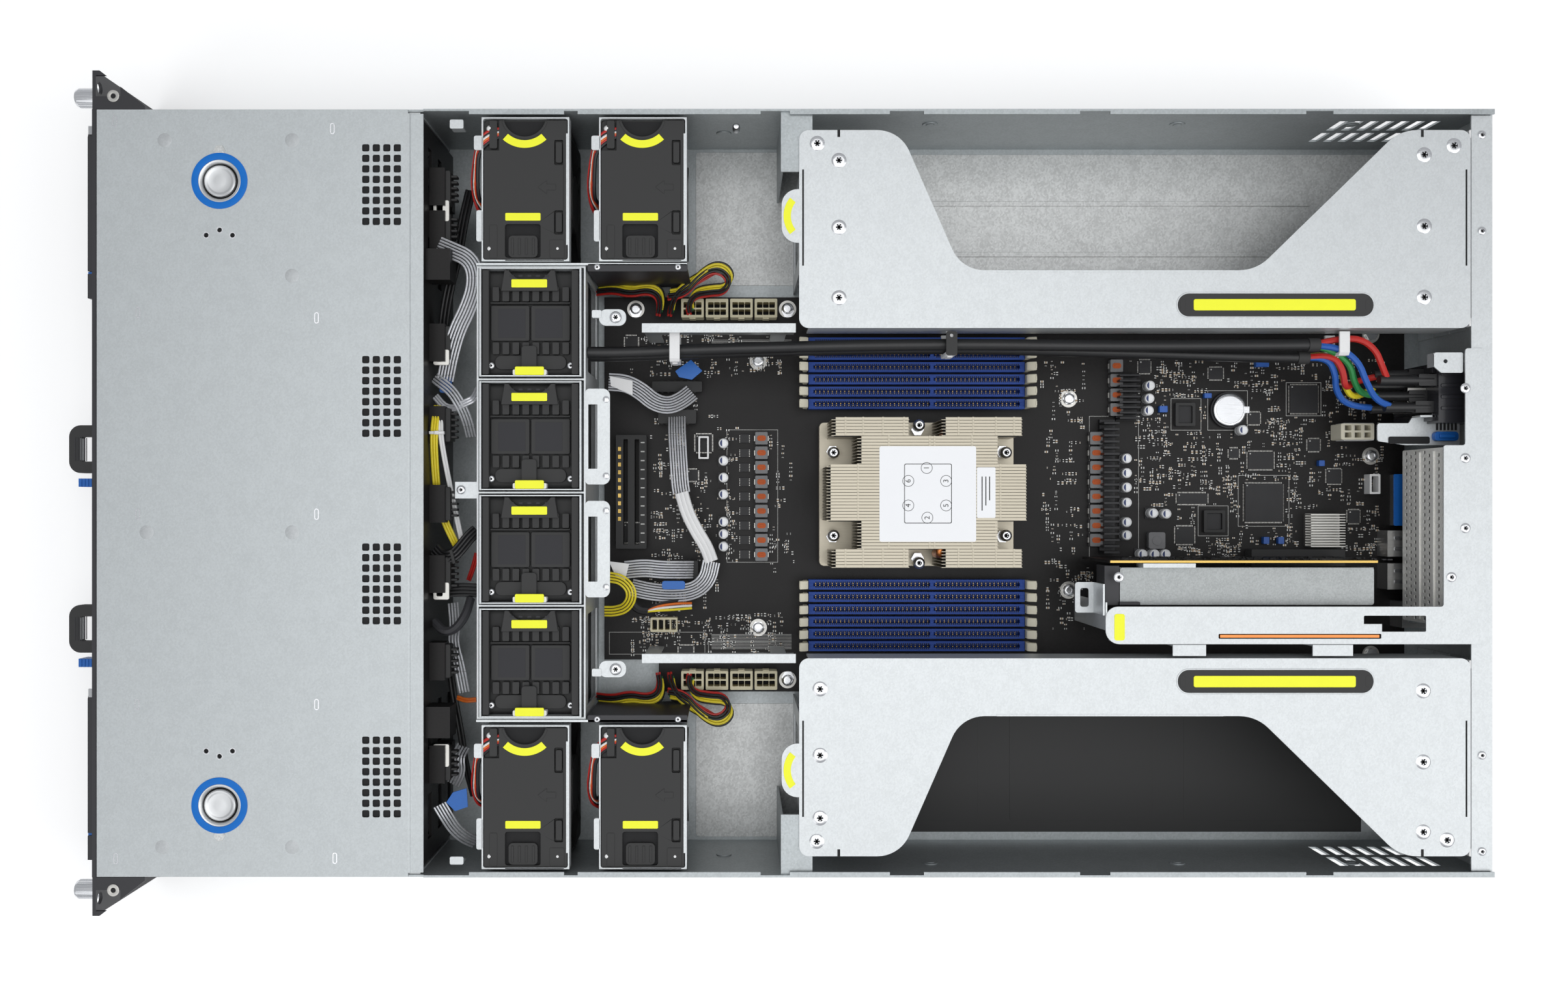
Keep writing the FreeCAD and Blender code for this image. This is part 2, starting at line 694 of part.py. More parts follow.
def centre_fan_carrier(y, base):
    """The carrier on a deep fan: two rims, two rails, a wing grip and a pull tab."""
    front = centre_fan_front
    rear = front + centre_fan_depth
    half = centre_fan_width / 2
    rims = [slab(x, x + 1.2, y - half, y + half, base - 30, fan_top)
            for x in (front + 0.8, rear - 2.0)]
    rails = [slab(front + start, front + end, y - half + 1, y + half - 1, base, fan_top - 1)
             for start, end in ((1.5, 6.0), (53.5, 58.5))]
    wing = slab(front + 5, front + 55, y + 18, y + half - 1.3, base, fan_top - 0.5)
    scoop = rod(15.0, (front + 29.4, y + half + 8.0, base + 2.5), (0, 0, 1), 10)
    tongue = slab(front + 24.6, front + 33.3, y - 27, y - 13.4, base, base + 3)
    tab = slab(front + 5, front + 55, y - half + 0.3, y - 26, base, base + 3.5)
    return joined(rims + rails + [wing.cut(scoop), tongue, tab])


def make_fan_cage():
    """The riveted sheets round the middle fans, the wings beside them and two L strips."""
    span = centre_fan_pitch * centre_fan_count / 2
    y0 = cage_mid_y - span
    y1 = cage_mid_y + span
    x0 = centre_fan_front - 0.3
    x1 = centre_fan_front + centre_fan_depth + 0.3
    top = fan_top - 4
    add("fan_cage", slab(x0 - cage_sheet, x1 + cage_sheet, y0, y1, sheet,
                         fan_base - running_gap))
    foot = fan_base - running_gap
    for index in range(centre_fan_count + 1):
        y = y0 + centre_fan_pitch * index
        inside = cage_sheet / 2 if index in (0, centre_fan_count) else 0.0
        shift = inside if index == 0 else -inside
        add("fan_cage", slab(x0, x1, y + shift - cage_sheet / 2, y + shift + cage_sheet / 2,
                             foot, top))
    windows = [slab(x0 - 2, x1 + 2, y - 27, y + 27, 14, top - 10) for y in centre_fan_y]
    add("fan_cage", minus(slab(x0 - cage_sheet, x0, y0, y1, foot, top), windows))
    rear = minus(slab(x1, x1 + cage_sheet, y0, y1, foot, top), windows)
    add("fan_cage", rear)
    for y_low, y_high in ((5.1, 60.2), (-59.9, -4.4)):
        add("fan_cage", rear_shelf(x1 + cage_sheet, y_low, y_high, top))
    wing_x = side_fan_fronts[1] + side_fan_depth
    for side in (1, -1):
        inner = cage_mid_y + side * (span + 0.2)
        add("fan_cage", slab(x0 - cage_sheet, wing_x, inner, inner + side * 1.2, sheet,
                             fan_top - 2))
    for side in (1, -1):
        add("fan_cage", board_strip(side))


def rear_shelf(x0, y_low, y_high, top):
    """A C-shaped plate behind two middle fans, open in the middle, on a short upright web."""
    corners = ((x0, y_low, 2), (x0 + 14, y_low, 4), (x0 + 14, y_high, 4), (x0, y_high, 2))
    shelf = soft_plate(corners, top - 1.2, top)
    shelf = shelf.cut(slab(x0 + 1.5, x0 + 6.8, y_low + 9, y_high - 9, top - 2, top + 1))
    web = slab(x0, x0 + cage_sheet, y_low + 2, y_high - 2, top - 8, top)
    return joined([shelf, web])


def board_strip(side):
    """An L strip on two legs between the fan cage and a card cage."""
    rear = cage_front - 1.9
    y = side * (cage_inner_y + 0.3)
    level = slab(strip_front, rear, side * (cage_inner_y - 2.3), side * (cage_inner_y + 2.9),
                 fan_top - cage_sheet, fan_top)
    web = slab(strip_front, rear, y, y + side * cage_sheet, fan_top - 32, fan_top)
    legs = [slab(x, x + 9, y, y + side * cage_sheet, board_top, fan_top - 31)
            for x in (strip_front, rear - 13.5)]
    return joined([level, web] + legs)


def make_main_board():
    """The main board with its screw holes."""
    board = slab(board_front, board_rear, -board_half_width, board_half_width,
                 board_base, board_top)
    corner = slab(board_front - 1, board_front + 34, -board_half_width - 1,
                  -board_half_width + 20, 0, board_top + 5)
    add("main_board", minus(board, [corner]))
    for x, y in standoff_places():
        add("board_screws", peg(3.4, 6, (x, y, board_top), (0, 0, 1), 2.0))


def make_heatsink():
    """The processor heatsink: base plate, fin stack, end blocks, heat pipes and screws."""
    half_x = sink_length / 2
    half_y = sink_width / 2
    base_z = board_top + 5.0
    base = slab(sink_x - half_x, sink_x + half_x, -half_y, half_y, base_z, base_z + 7)
    foot = slab(sink_x - 38, sink_x + 38, -28, 28, board_top, base_z)
    count = int(sink_width / fin_pitch)
    fins = []
    for i in range(count):
        y = fin_pitch * (i - (count - 1) / 2)
        for x0, x1 in fin_spans(abs(y)):
            fins.append(slab(sink_x + x0, sink_x + x1, y - fin_sheet / 2, y + fin_sheet / 2,
                             base_z + 6.5, sink_top))
    add("heatsink", joined([base, foot] + fins))
    for x, y in ((-52, 26), (52, 26), (-52, -26), (52, -26), (0, 39.5), (0, -39.5)):
        add("board_screws", peg(3.4, 6, (sink_x + x, y, base_z + 7), (0, 0, 1), 6))


def fin_spans(off_centre):
    """Where a fin starts and ends along X, so that the stack leaves room for the screws."""
    if off_centre < sink_core:
        return ((-sink_length / 2, sink_length / 2),)
    if off_centre < sink_waist:
        return ((-sink_waist_reach, sink_waist_reach),)
    return ((-sink_length / 2 + 2, -screw_room), (screw_room, sink_length / 2 - 2))


def dimm_rows():
    """Middle of every memory socket."""
    rows = [dimm_first_y + dimm_pitch * i for i in range(dimm_per_side)]
    return rows + [-y for y in rows]


def make_memory_sockets():
    """Memory sockets with a long slot, and the latches at both ends."""
    x0 = dimm_front + latch_length
    x1 = dimm_rear - latch_length
    for y in dimm_rows():
        body = slab(x0, x1, y - dimm_width / 2, y + dimm_width / 2, board_top,
                    board_top + dimm_height)
        slot = slab(x0 + 2, x1 - 2, y - 0.8, y + 0.8, board_top + 2.5, board_top + 20)
        add("memory_sockets", body.cut(slot))
        foot = board_top + running_gap
        add("memory_latches_front", memory_latch(y, x0 - seat_gap, -1, foot))
        add("memory_latches_rear", memory_latch(y, x1 + seat_gap, 1, foot))


def memory_latch(y, x, direction, foot):
    """A memory latch: a bent lever seen from the side, as wide as its socket."""
    reach = latch_length - seat_gap
    points = ((x, foot), (x, foot + 14), (x + direction * reach, foot + latch_height),
              (x + direction * reach, foot + latch_height - 3), (x + direction * 3, foot + 10),
              (x + direction * 3, foot + 2))
    corners = [Vector(px, y - latch_thickness / 2, pz) for px, pz in points]
    wire = Part.makePolygon(corners + corners[:1])
    return Part.Face(wire).extrude(Vector(0, latch_thickness, 0))


def field_x(share):
    """A place between the memory and the ports, as a share of the way to the rear."""
    return field_front + share * (field_rear - field_front)


def make_headers():
    """Two rows of fan headers, the card slot and the plug for the rear supply."""
    z = board_top
    for side in (1, -1):
        for i in range(4):
            x = board_front + 48.5 + 15.1 * i
            shell = slab(x, x + 13.9, side * 109.0, side * 120.6, z, z + 12)
            well = slab(x + 1.2, x + 12.7, side * 110.2, side * 119.4, z + 4, z + 13)
            add("board_connectors", shell.cut(well))
    slot_x = field_x(0.64)
    slot = slab(slot_x - 28.9, slot_x + 28.9, -44.6, -34.0, z, z + 11)
    add("board_connectors", slot.cut(slab(slot_x - 27, slot_x + 27, -40.1, -38.5, z + 3, z + 12)))
    plug_x = field_x(0.856)
    add("board_connectors", slab(plug_x - 9.6, plug_x + 9.6, 33.2, 44.0, z, z + 11))


def make_power_stages():
    """Rows of chokes before and behind the memory, with round capacitors beside them."""
    z = board_top
    middle = -1.3
    choke_x = cage_front - 20.3
    for i in range(9):
        y = middle + choke_pitch * (i - 4)
        add("board_components", slab(choke_x - 4.3, choke_x + 4.3, y - choke_width / 2,
                                     y + choke_width / 2, z, z + 6))
    for y in (31.7, 20.9, 10.4, 0.0, -17.0, -24.6, -32.4):
        add("board_components", peg(3.2, 12, (choke_x - 23.6, y, z), (0, 0, 1), 8.0))
    rear_x0 = dimm_rear + 38.4
    for i in range(8):
        y = 2.9 + choke_pitch * (i - 3.5)
        add("board_components", slab(rear_x0 - 3.8, rear_x0 + 2.6, y - choke_width / 2,
                                     y + choke_width / 2, z, z + 6))
    for y in (22.3, 13.2, 4.3, -5.1, -17.3, -25.4):
        add("board_components", peg(3.2, 12, (field_x(0.027), y, z), (0, 0, 1), 8.0))
    for share, y in ((0.111, 67.5), (0.109, 59.5), (0.106, 52.0), (0.449, 39.9)):
        add("board_components", peg(3.2, 12, (field_x(share), y, z), (0, 0, 1), 8.0))


def make_board_sinks():
    """A tall comb heatsink behind the memory and a small one near the ports."""
    z = board_top
    comb_x = dimm_rear + 41.6
    base = slab(comb_x, comb_x + 9.6, -36.5, 46.7, z, z + 3)
    teeth = [slab(comb_x, comb_x + 9.6, y, y + 3.2, z + 2, z + 14)
             for y in [-36.5 + 7.58 * i for i in range(11)]]
    add("board_components", joined([base] + teeth))
    small_x = field_x(0.748) - 10.7
    plate_low = slab(small_x, small_x + 21.4, -32.6, -12.0, z, z + 2.5)
    fins = [slab(small_x, small_x + 21.4, y, y + 0.9, z + 2, z + 11)
            for y in [-32.6 + 3.28 * i for i in range(7)]]
    add("board_components", joined([plate_low] + fins))


def make_chips():
    """The coin cell and the larger packages on the open board."""
    z = board_top
    add("board_components", peg(10.0, 24, (field_x(0.406), 52.6, z), (0, 0, 1), 4.8))
    packages = ((0.683, 59.5, 17.4, 17.4, 1.6), (0.536, -5.2, 23.9, 23.9, 2.2),
                (0.526, 21.2, 16.0, 10.9, 1.4), (0.249, -25.5, 11.6, 10.9, 1.4),
                (0.14, -28.7, 10.4, 10.4, 5.0), (0.247, 49.8, 12.3, 14.5, 3.4),
                (0.353, -16.8, 13.1, 13.8, 3.4))
    for share, y, length, width, high in packages:
        x = field_x(share)
        add("board_components", slab(x - length / 2, x + length / 2, y - width / 2,
                                     y + width / 2, z, z + high))


def make_ports():
    """The display, network and data ports at the rear edge of the board."""
    z = board_top
    port_rear = rear_x - rear_sheet - 0.4
    add("rear_ports", slab(port_rear - 22.4, port_rear, -19.3, 12.3, z, z + 12))
    for length, y0, y1, high in ((30.4, -38.4, -22.4, 14), (30.4, -58.6, -42.6, 14),
                                 (22.4, -82, -66, 16)):
        shell = slab(port_rear - length, port_rear, y0, y1, z, z + high)
        mouth = slab(port_rear - 12, port_rear + 1, y0 + 2, y1 - 2, z + 2, z + high - 2)
        add("rear_ports", shell.cut(mouth))


def make_card_cages():
    """The two removable card cages with their pull-up handles."""
    cage = card_cage()
    handle = cage_handle()
    for name, shape in (("card_cage", cage), ("cage_handle", handle)):
        add(name + "_left", *shape)
        add(name + "_right", *[flipped(solid) for solid in shape])


def card_cage():
    """A card cage: slotted top plate, skirts, front and rear walls, and the handle's guide."""
    outline = ((cage_front, cage_inner_y, plate_corner), (cage_rear, cage_inner_y, plate_corner),
               (cage_rear, cage_outer_y, plate_corner),
               (window_rear, cage_outer_y, window_rear_corner),
               (window_rear - window_rear_slope, window_floor_y, window_rear_corner),
               (window_front + window_front_slope, window_floor_y, window_front_corner),
               (window_front, cage_outer_y, window_front_corner),
               (cage_front, cage_outer_y, plate_corner))
    top = soft_plate(outline, plate_under, cage_top)
    skirt = slab(cage_front + plate_corner, cage_rear - plate_corner, cage_inner_y,
                 cage_inner_y + cage_sheet, cage_top - 26, cage_top)
    edge = slab(window_front + window_front_slope + 12, window_rear - window_rear_slope - 12,
                window_floor_y - cage_sheet, window_floor_y, cage_top - 12, cage_top)
    front_wall = slab(cage_front, cage_front + cage_sheet, cage_wall_y, cage_wall_y + 56,
                      sheet + seat_gap, cage_top)
    front_wall = front_wall.cut(slab(cage_front - 1, cage_front + 2, cage_wall_y + 10,
                                     cage_wall_y + 46, 14, cage_top - 14))
    rear_wall = slab(cage_rear - cage_sheet, cage_rear, cage_wall_y, cage_outer_y - plate_corner,
                     sheet + seat_gap, cage_top)
    rear_wall = rear_wall.cut(slab(cage_rear - 2, cage_rear + 1, cage_wall_y + 8,
                                   cage_outer_y - 14, 10, cage_top - 8))
    nose = soft_plate(((cage_front - 10, 143.1, 9), (cage_front + 1, 143.1, 0),
                       (cage_front + 1, 173.7, 0), (cage_front - 10, 173.7, 9)),
                      plate_under, cage_top)
    hole = racetrack(handle_front, handle_rear, handle_inner_y, handle_outer_y,
                     plate_under - 1, cage_top + 1)
    body = minus(joined([top, skirt, edge, front_wall, rear_wall, nose]), [hole])
    cup = slab(handle_front - 2, handle_rear + 2, handle_inner_y - 2, handle_outer_y + 2,
               cage_top - 14, plate_under)
    hollow = racetrack(handle_front, handle_rear, handle_inner_y, handle_outer_y,
                       cage_top - 12.5, cage_top + 1)
    leg_y = (handle_inner_y + handle_outer_y) / 2
    leg_holes = [slab(x - 2.6, x + 2.6, leg_y - 2.6, leg_y + 2.6, cage_top - 16, cage_top - 8)
                 for x in handle_legs()]
    return [body, minus(cup, [hollow] + leg_holes)]


def handle_legs():
    """Where the two legs of a cage handle stand."""
    return (handle_front + 16, handle_rear - 16)


def cage_handle():
    """A bar with two legs that slide up through the guide, with stops at their feet."""
    bar = racetrack(handle_front + 0.8, handle_rear - 0.8, handle_inner_y + 0.8,
                    handle_outer_y - 0.8, cage_top - 8, cage_top)
    leg_y = (handle_inner_y + handle_outer_y) / 2
    foot = cage_top - 14 - handle_travel - 2.5
    parts = [bar]
    for x in handle_legs():
        parts.append(slab(x - 2.5, x + 2.5, leg_y - 2.5, leg_y + 2.5, foot, cage_top - 6))
        parts.append(slab(x - 4, x + 4, leg_y - 2.5, leg_y + 2.5, foot, foot + 1.5))
    return [joined(parts)]


def make_riser_cage():
    """The low L-shaped cage over the short slots and the ports, with its riser board."""
    outline = ((riser_front, riser_inner_y, 4), (riser_arm_x, riser_inner_y, 6),
               (riser_arm_x, riser_arm_y, 2), (riser_rear, riser_arm_y, 2),
               (riser_rear, riser_outer_y, 2), (riser_front, riser_outer_y, 8))
    top = soft_plate(outline, plate_under, cage_top)
    side = slab(riser_front + 8, riser_rear - 10, riser_outer_y, riser_outer_y + cage_sheet,
                30, cage_top)
    side = side.cut(slab(riser_front + 12, riser_rear - 24, riser_outer_y - 1,
                         riser_outer_y + 2, 30 - 1, cage_top - 24))
    stair = riser_front + 120.5
    windows = [slab(stair, stair + 34, -84, -78, plate_under - 1, cage_top + 1),
               slab(riser_front + 26.5, stair - 14, -83.4, -80.4, plate_under - 1,
                    cage_top + 1)]
    board = slab(riser_front + 13.5, riser_rear - 51, riser_inner_y + 3.1, riser_inner_y + 1.5,
                 board_top + 11 + seat_gap, cage_top - 2)
    hanger = slab(riser_front + 21.5, riser_front + 51.5, riser_inner_y + 1.4,
                  riser_inner_y - 1, cage_top - 14, cage_top)
    leg = slab(riser_front, riser_front + cage_sheet, riser_outer_y + 8, riser_outer_y + 24,
               board_top + seat_gap, cage_top)
    add("riser_cage", minus(joined([top, side, leg, hanger]), windows))
    add("riser_cage", board)


def make_rear_panel():
    """The rear wall with card slots, ports' openings and vents, its covers and top strip."""
    x0 = rear_x - rear_sheet
    reach = wall_in - running_gap
    wall = slab(x0, rear_x, -reach, reach, sheet, plate_under - running_gap)
    rim_in = half_width - rim_width - running_gap
    strip_top = plate_under - running_gap
    add("rear_panel", slab(rear_x - rear_flange, x0, -rim_in, rim_in, strip_top - rear_sheet,
                           strip_top))
    openings = []
    for side in (1, -1):
        for row in range(slot_rows):
            z = first_slot_z + slot_pitch * row
            openings.append(slab(x0 - 1, rear_x + 1, side * 98, side * (98 + slot_width),
                                 z - slot_opening / 2, z + slot_opening / 2))
    openings.append(slab(x0 - 1, rear_x + 1, inlet_y - inlet_width / 2 + 2,
                         inlet_y + inlet_width / 2 - 2, inlet_z - inlet_height / 2 + 2,
                         inlet_z + inlet_height / 2 - 2))
    z = board_top
    for y0, y1, high in ((-18.3, 11.3, 11), (-37.4, -23.4, 13), (-57.6, -43.6, 13),
                         (-81, -67, 15)):
        openings.append(slab(x0 - 1, rear_x + 1, y0, y1, z + 1, z + high))
    for k in range(3):
        openings.append(slab(x0 - 1, rear_x + 1, -76 + 34 * k, -48 + 34 * k, 34,
                             chassis_height - 21.5))
    add("rear_panel", minus(wall, openings))
    inside = x0 - 0.2
    for side in (1, -1):
        for row in range(slot_rows):
            z = first_slot_z + slot_pitch * row
            cover = slab(inside - 0.8, inside, side * 96.5, side * (99.5 + slot_width),
                         z - 9.2, min(z + 9.2, strip_top - rear_sheet - 0.1))
            add("rear_panel", cover)
    for k in range(3):
        add("rear_panel", slab(inside - 0.8, inside, -77 + 34 * k, -47 + 34 * k, 32,
                               chassis_height - 19.5))


def make_power_inlet():
    """The black mains inlet block on the inner face of the rear wall."""
    x1 = rear_x - rear_sheet - 0.1
    body = slab(x1 - inlet_depth, x1, inlet_y - inlet_width / 2, inlet_y + inlet_width / 2,
                inlet_z - inlet_height / 2, inlet_z + inlet_height / 2)
    offset = inlet_height / 4 - 0.5
    half = inlet_height / 4 - 4
    wells = [slab(x1 - 18, x1 + 1, inlet_y - 13, inlet_y + 13, z - half, z + half)
             for z in (inlet_z - offset, inlet_z + offset)]
    add("power_inlet", minus(body, wells))


def cable_route(shift_y, shift_z):
    """The points of one mains lead, from the inlet to the gland on the fan cage."""
    inlet_x = rear_x - rear_sheet - 0.1 - inlet_depth
    gland_y = cage_wall_y - 44.0
    points = ((inlet_x, 62.0, fan_top - 15), (rear_x - 55, 62.0, fan_top - 15),
              (rear_x - 100, gland_y + 1.5, fan_top - 12),
              (rear_x - 210, gland_y + 3, fan_top - 11.5),
              (dimm_front + 74, gland_y + 5, fan_top - 12.5),
              (dimm_front - 56, gland_y + 2, fan_top - 13),
              (dimm_front - 91, gland_y, fan_top - 13), (cable_end_x, gland_y, fan_top - 13))
    return [Vector(x, y + shift_y, z + shift_z) for x, y, z in points]


def cable_section(centre, axis):
    """A ten-sided ring square to the axis, which keeps the lead's mesh light."""
    sides = 10
    across = axis.cross(Vector(0, 0, 1)).normalize()
    upward = across.cross(axis).normalize()
    corners = []
    for i in range(sides):
        angle = 2 * math.pi * i / sides
        corners.append(centre + across * (cable_radius * math.cos(angle))
                       + upward * (cable_radius * math.sin(angle)))
    return Part.makePolygon(corners + corners[:1])


def make_mains_cables():
    """Two mains leads as tubes of straight runs and tangent arcs."""
    for shift_y, shift_z in ((0.0, 0.0), (-1.0, -8.5)):
        points = cable_route(shift_y, shift_z)
        edges = []
        start = points[0]
        radii = []
        for i in range(1, len(points) - 1):
            before = points[i] - points[i - 1]
            after = points[i + 1] - points[i]
            half_turn = before.getAngle(after) / 2
            shorter = min(before.Length, after.Length)
            setback = 0.45 * shorter
            radii.append(round(setback / math.tan(half_turn), 1))
            leave = points[i] - before.normalize() * setback
            meet = points[i] + after.normalize() * setback
            bulge = setback / math.tan(half_turn) * (1 / math.cos(half_turn) - 1)
            inward = (leave + meet) * 0.5 - points[i]
            middle = points[i] + inward.normalize() * bulge
            edges.append(Part.LineSegment(start, leave).toShape())
            edges.append(Part.Arc(leave, middle, meet).toShape())
            start = meet
        edges.append(Part.LineSegment(start, points[-1]).toShape())
        path = Part.Wire(edges)
        axis = points[1] - points[0]
        ring = cable_section(points[0], axis)
        tube = path.makePipeShell([ring], True, False)
        area = Part.Face(ring).Area
        print("cable radii", radii, "length", round(path.Length, 1), "volume ratio",
              round(tube.Volume / (area * path.Length), 4))
        add("mains_cables", tube)
    gland_y = cage_wall_y - 44.0
    clips = ((dimm_front - 74.2, gland_y + 1.0), (dimm_front + 85.6, gland_y + 4.8),
             (rear_x - 108, gland_y + 0.4))
    for x, y in clips:
        reach = cable_radius + 0.9
        outer = slab(x - 3, x + 3, y - reach - 2.2, cage_inner_y - seat_gap, fan_top - 28,
                     fan_top - 6)
        inner = slab(x - 4, x + 4, y - reach - 0.6, y + reach + 0.2, fan_top - 26,
                     fan_top - 7.4)
        add("mains_cables", minus(outer, [inner]))


def make_insulating_film():
    """The black film on the floor of the right-hand card bay."""
    film = slab(cage_front + post_depth, rear_x - 38, -wall_in + 5, -cage_wall_y, sheet,
                sheet + 0.25)
    add("insulating_film", film)


def build():
    """Make every sub-part."""
    make_chassis_tray()
    make_front_frame()
    make_bay_dividers()
    make_ears()
    make_front_cover()
    make_cover_buttons()
    make_drive_trays()
    make_power_supplies()
    make_backplane()
    make_side_fans()
    make_centre_fans()
    make_fan_cage()
    make_main_board()
    make_heatsink()
    make_memory_sockets()
    make_headers()
    make_power_stages()
    make_board_sinks()
    make_chips()
    make_ports()
    make_card_cages()
    make_riser_cage()
    make_rear_panel()
    make_power_inlet()
    make_mains_cables()
    make_insulating_film()


def export():
    """Write one STEP file for each node."""
    os.makedirs("parts", exist_ok=True)
    for name, solids in nodes.items():
        shape = solids[0] if len(solids) == 1 else Part.makeCompound(solids)
        print(f"{name}: {len(shape.Solids)} solids, volume {shape.Volume:.0f}")
        shape.exportStep(f"parts/{name}.step")
    print(len(nodes), "nodes")


build()
export()
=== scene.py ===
"""Looks of an open 2U rack server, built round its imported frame.

Every length in the classes is in millimetres and in the frame's own axes: +X runs to the
rear, +Y to the left side and +Z up. Meshes are scaled to metres when a piece is made.
"""

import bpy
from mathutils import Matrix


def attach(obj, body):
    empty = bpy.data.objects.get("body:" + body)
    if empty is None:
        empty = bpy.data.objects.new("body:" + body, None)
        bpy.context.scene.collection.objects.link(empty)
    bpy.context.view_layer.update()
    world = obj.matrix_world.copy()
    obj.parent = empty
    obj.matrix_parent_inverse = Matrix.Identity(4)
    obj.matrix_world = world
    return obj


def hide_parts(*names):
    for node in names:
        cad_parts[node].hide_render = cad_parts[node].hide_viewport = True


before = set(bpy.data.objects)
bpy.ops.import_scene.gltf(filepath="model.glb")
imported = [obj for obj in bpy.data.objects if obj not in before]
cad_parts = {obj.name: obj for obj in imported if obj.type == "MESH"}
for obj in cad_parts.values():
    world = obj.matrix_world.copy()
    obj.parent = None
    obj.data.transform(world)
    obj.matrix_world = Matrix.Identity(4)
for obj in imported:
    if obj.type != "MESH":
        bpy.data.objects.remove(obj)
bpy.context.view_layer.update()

import logging
import math
import random
from dataclasses import dataclass, field
from enum import Enum
from typing import ClassVar

import bmesh
import bpy
from mathutils import Matrix, Vector
from mathutils.geometry import delaunay_2d_cdt

log = logging.getLogger("server")
Colour = tuple[float, float, float]
Point = tuple[float, float, float]
Flat = tuple[float, float]
Inputs = dict[str | int, object]
MILLIMETRE = 0.001
BEVEL_FROM = math.radians(40)
SHARP_FROM = math.radians(35)
INK = 0.015
BOARD_TOP = 10.6
CAGE_TOP = 86.0


class Surface(Enum):
    """How a finish breaks up its colour and its gloss."""

    ZINC = "zinc"
    MOULDED = "moulded"
    BRUSHED = "brushed"
    BOARD = "board"
    WOVEN = "woven"
    SMOOTH = "smooth"


def add_node(
        tree: bpy.types.NodeTree, kind: str, values: Inputs | None = None,
        links: Inputs | None = None) -> bpy.types.Node:
    """Add a shader node.

    Args:
        tree: the material's nodes and links.
        kind: the node's type, without the word that all types start with.
        values: the fixed value of each input that is set.
        links: the output that feeds each input that is linked.

    Returns:
        The new node.
    """
    made = tree.nodes.new(f"ShaderNode{kind}")
    for key, value in (values or {}).items():
        made.inputs[key].default_value = value
    for key, source in (links or {}).items():
        tree.links.new(source, made.inputs[key])
    return made


@dataclass(frozen=True)
class Finish:
    """One material: its colour, its gloss and how both vary over the surface."""

    name: str
    colour: Colour
    slot: str
    metallic: float = 0.0
    roughness: float = 0.5
    surface: Surface = Surface.MOULDED
    scale: float = 900.0
    variation: float = 0.12
    bump: float = 0.12
    specular: float = 0.5

    def material(self) -> bpy.types.Material:
        """Make the material once, and hand out the same one after that.

        Returns:
            The material with its nodes.
        """
        made = bpy.data.materials.get(self.name)
        if made:
            return made
        made = bpy.data.materials.new(self.name)
        made.use_nodes = True
        tree = made.node_tree
        shader = tree.nodes["Principled BSDF"]
        shader.inputs["Metallic"].default_value = self.metallic
        shader.inputs["Specular IOR Level"].default_value = self.specular
        place = add_node(tree, "TexCoord")
        stretch = add_node(tree, "Mapping", links={"Vector": place.outputs["Object"]})
        if self.surface is Surface.BRUSHED:
            stretch.inputs["Scale"].default_value = (0.06, 1.0, 1.0)
        spot = {"Vector": stretch.outputs["Vector"]}
        grain = add_node(tree, "TexNoise", {"Scale": self.scale, "Detail": 3.0}, spot)
        clouds = add_node(tree, "TexNoise", {"Scale": self.scale / 22, "Detail": 2.0}, spot)
        height = grain.outputs["Fac"]
        if self.surface is Surface.WOVEN:
            weave = add_node(tree, "TexWave", {"Scale": self.scale, "Distortion": 1.5}, spot)
            height = weave.outputs["Fac"]
        if self.surface is Surface.ZINC:
            crystals = add_node(tree, "TexVoronoi", {"Scale": self.scale * 0.45}, spot)
            height = crystals.outputs["Color"]
        mixed = add_node(tree, "Mix", {"Factor": 0.45}, {"A": height, "B": clouds.outputs["Fac"]})
        tint = add_node(tree, "ValToRGB", links={"Fac": mixed.outputs["Result"]})
        dark, pale = tint.color_ramp.elements
        dark.position, pale.position = 0.3, 0.7
        dark.color = (*[c * (1 - self.variation) for c in self.colour], 1.0)
        pale.color = (*[min(1.0, c * (1 + self.variation)) for c in self.colour], 1.0)
        tree.links.new(tint.outputs["Color"], shader.inputs["Base Color"])
        ends = {"To Min": max(0.04, self.roughness - 0.08), "To Max": min(1.0, self.roughness + 0.08)}
        gloss = add_node(tree, "MapRange", ends, {"Value": grain.outputs["Fac"]})
        tree.links.new(gloss.outputs["Result"], shader.inputs["Roughness"])
        depth = {"Strength": self.bump, "Distance": 0.0002}
        relief = add_node(tree, "Bump", depth, {"Height": height})
        tree.links.new(relief.outputs["Normal"], shader.inputs["Normal"])
        made.diffuse_color = (*self.colour, 1.0)
        return made


def cord(name: str, colour: Colour) -> Finish:
    """The smooth rubber finish of a coloured wire."""
    return Finish(name, colour, "lead_rubber", 0.0, 0.4, Surface.SMOOTH, 900, 0.1, 0.05)


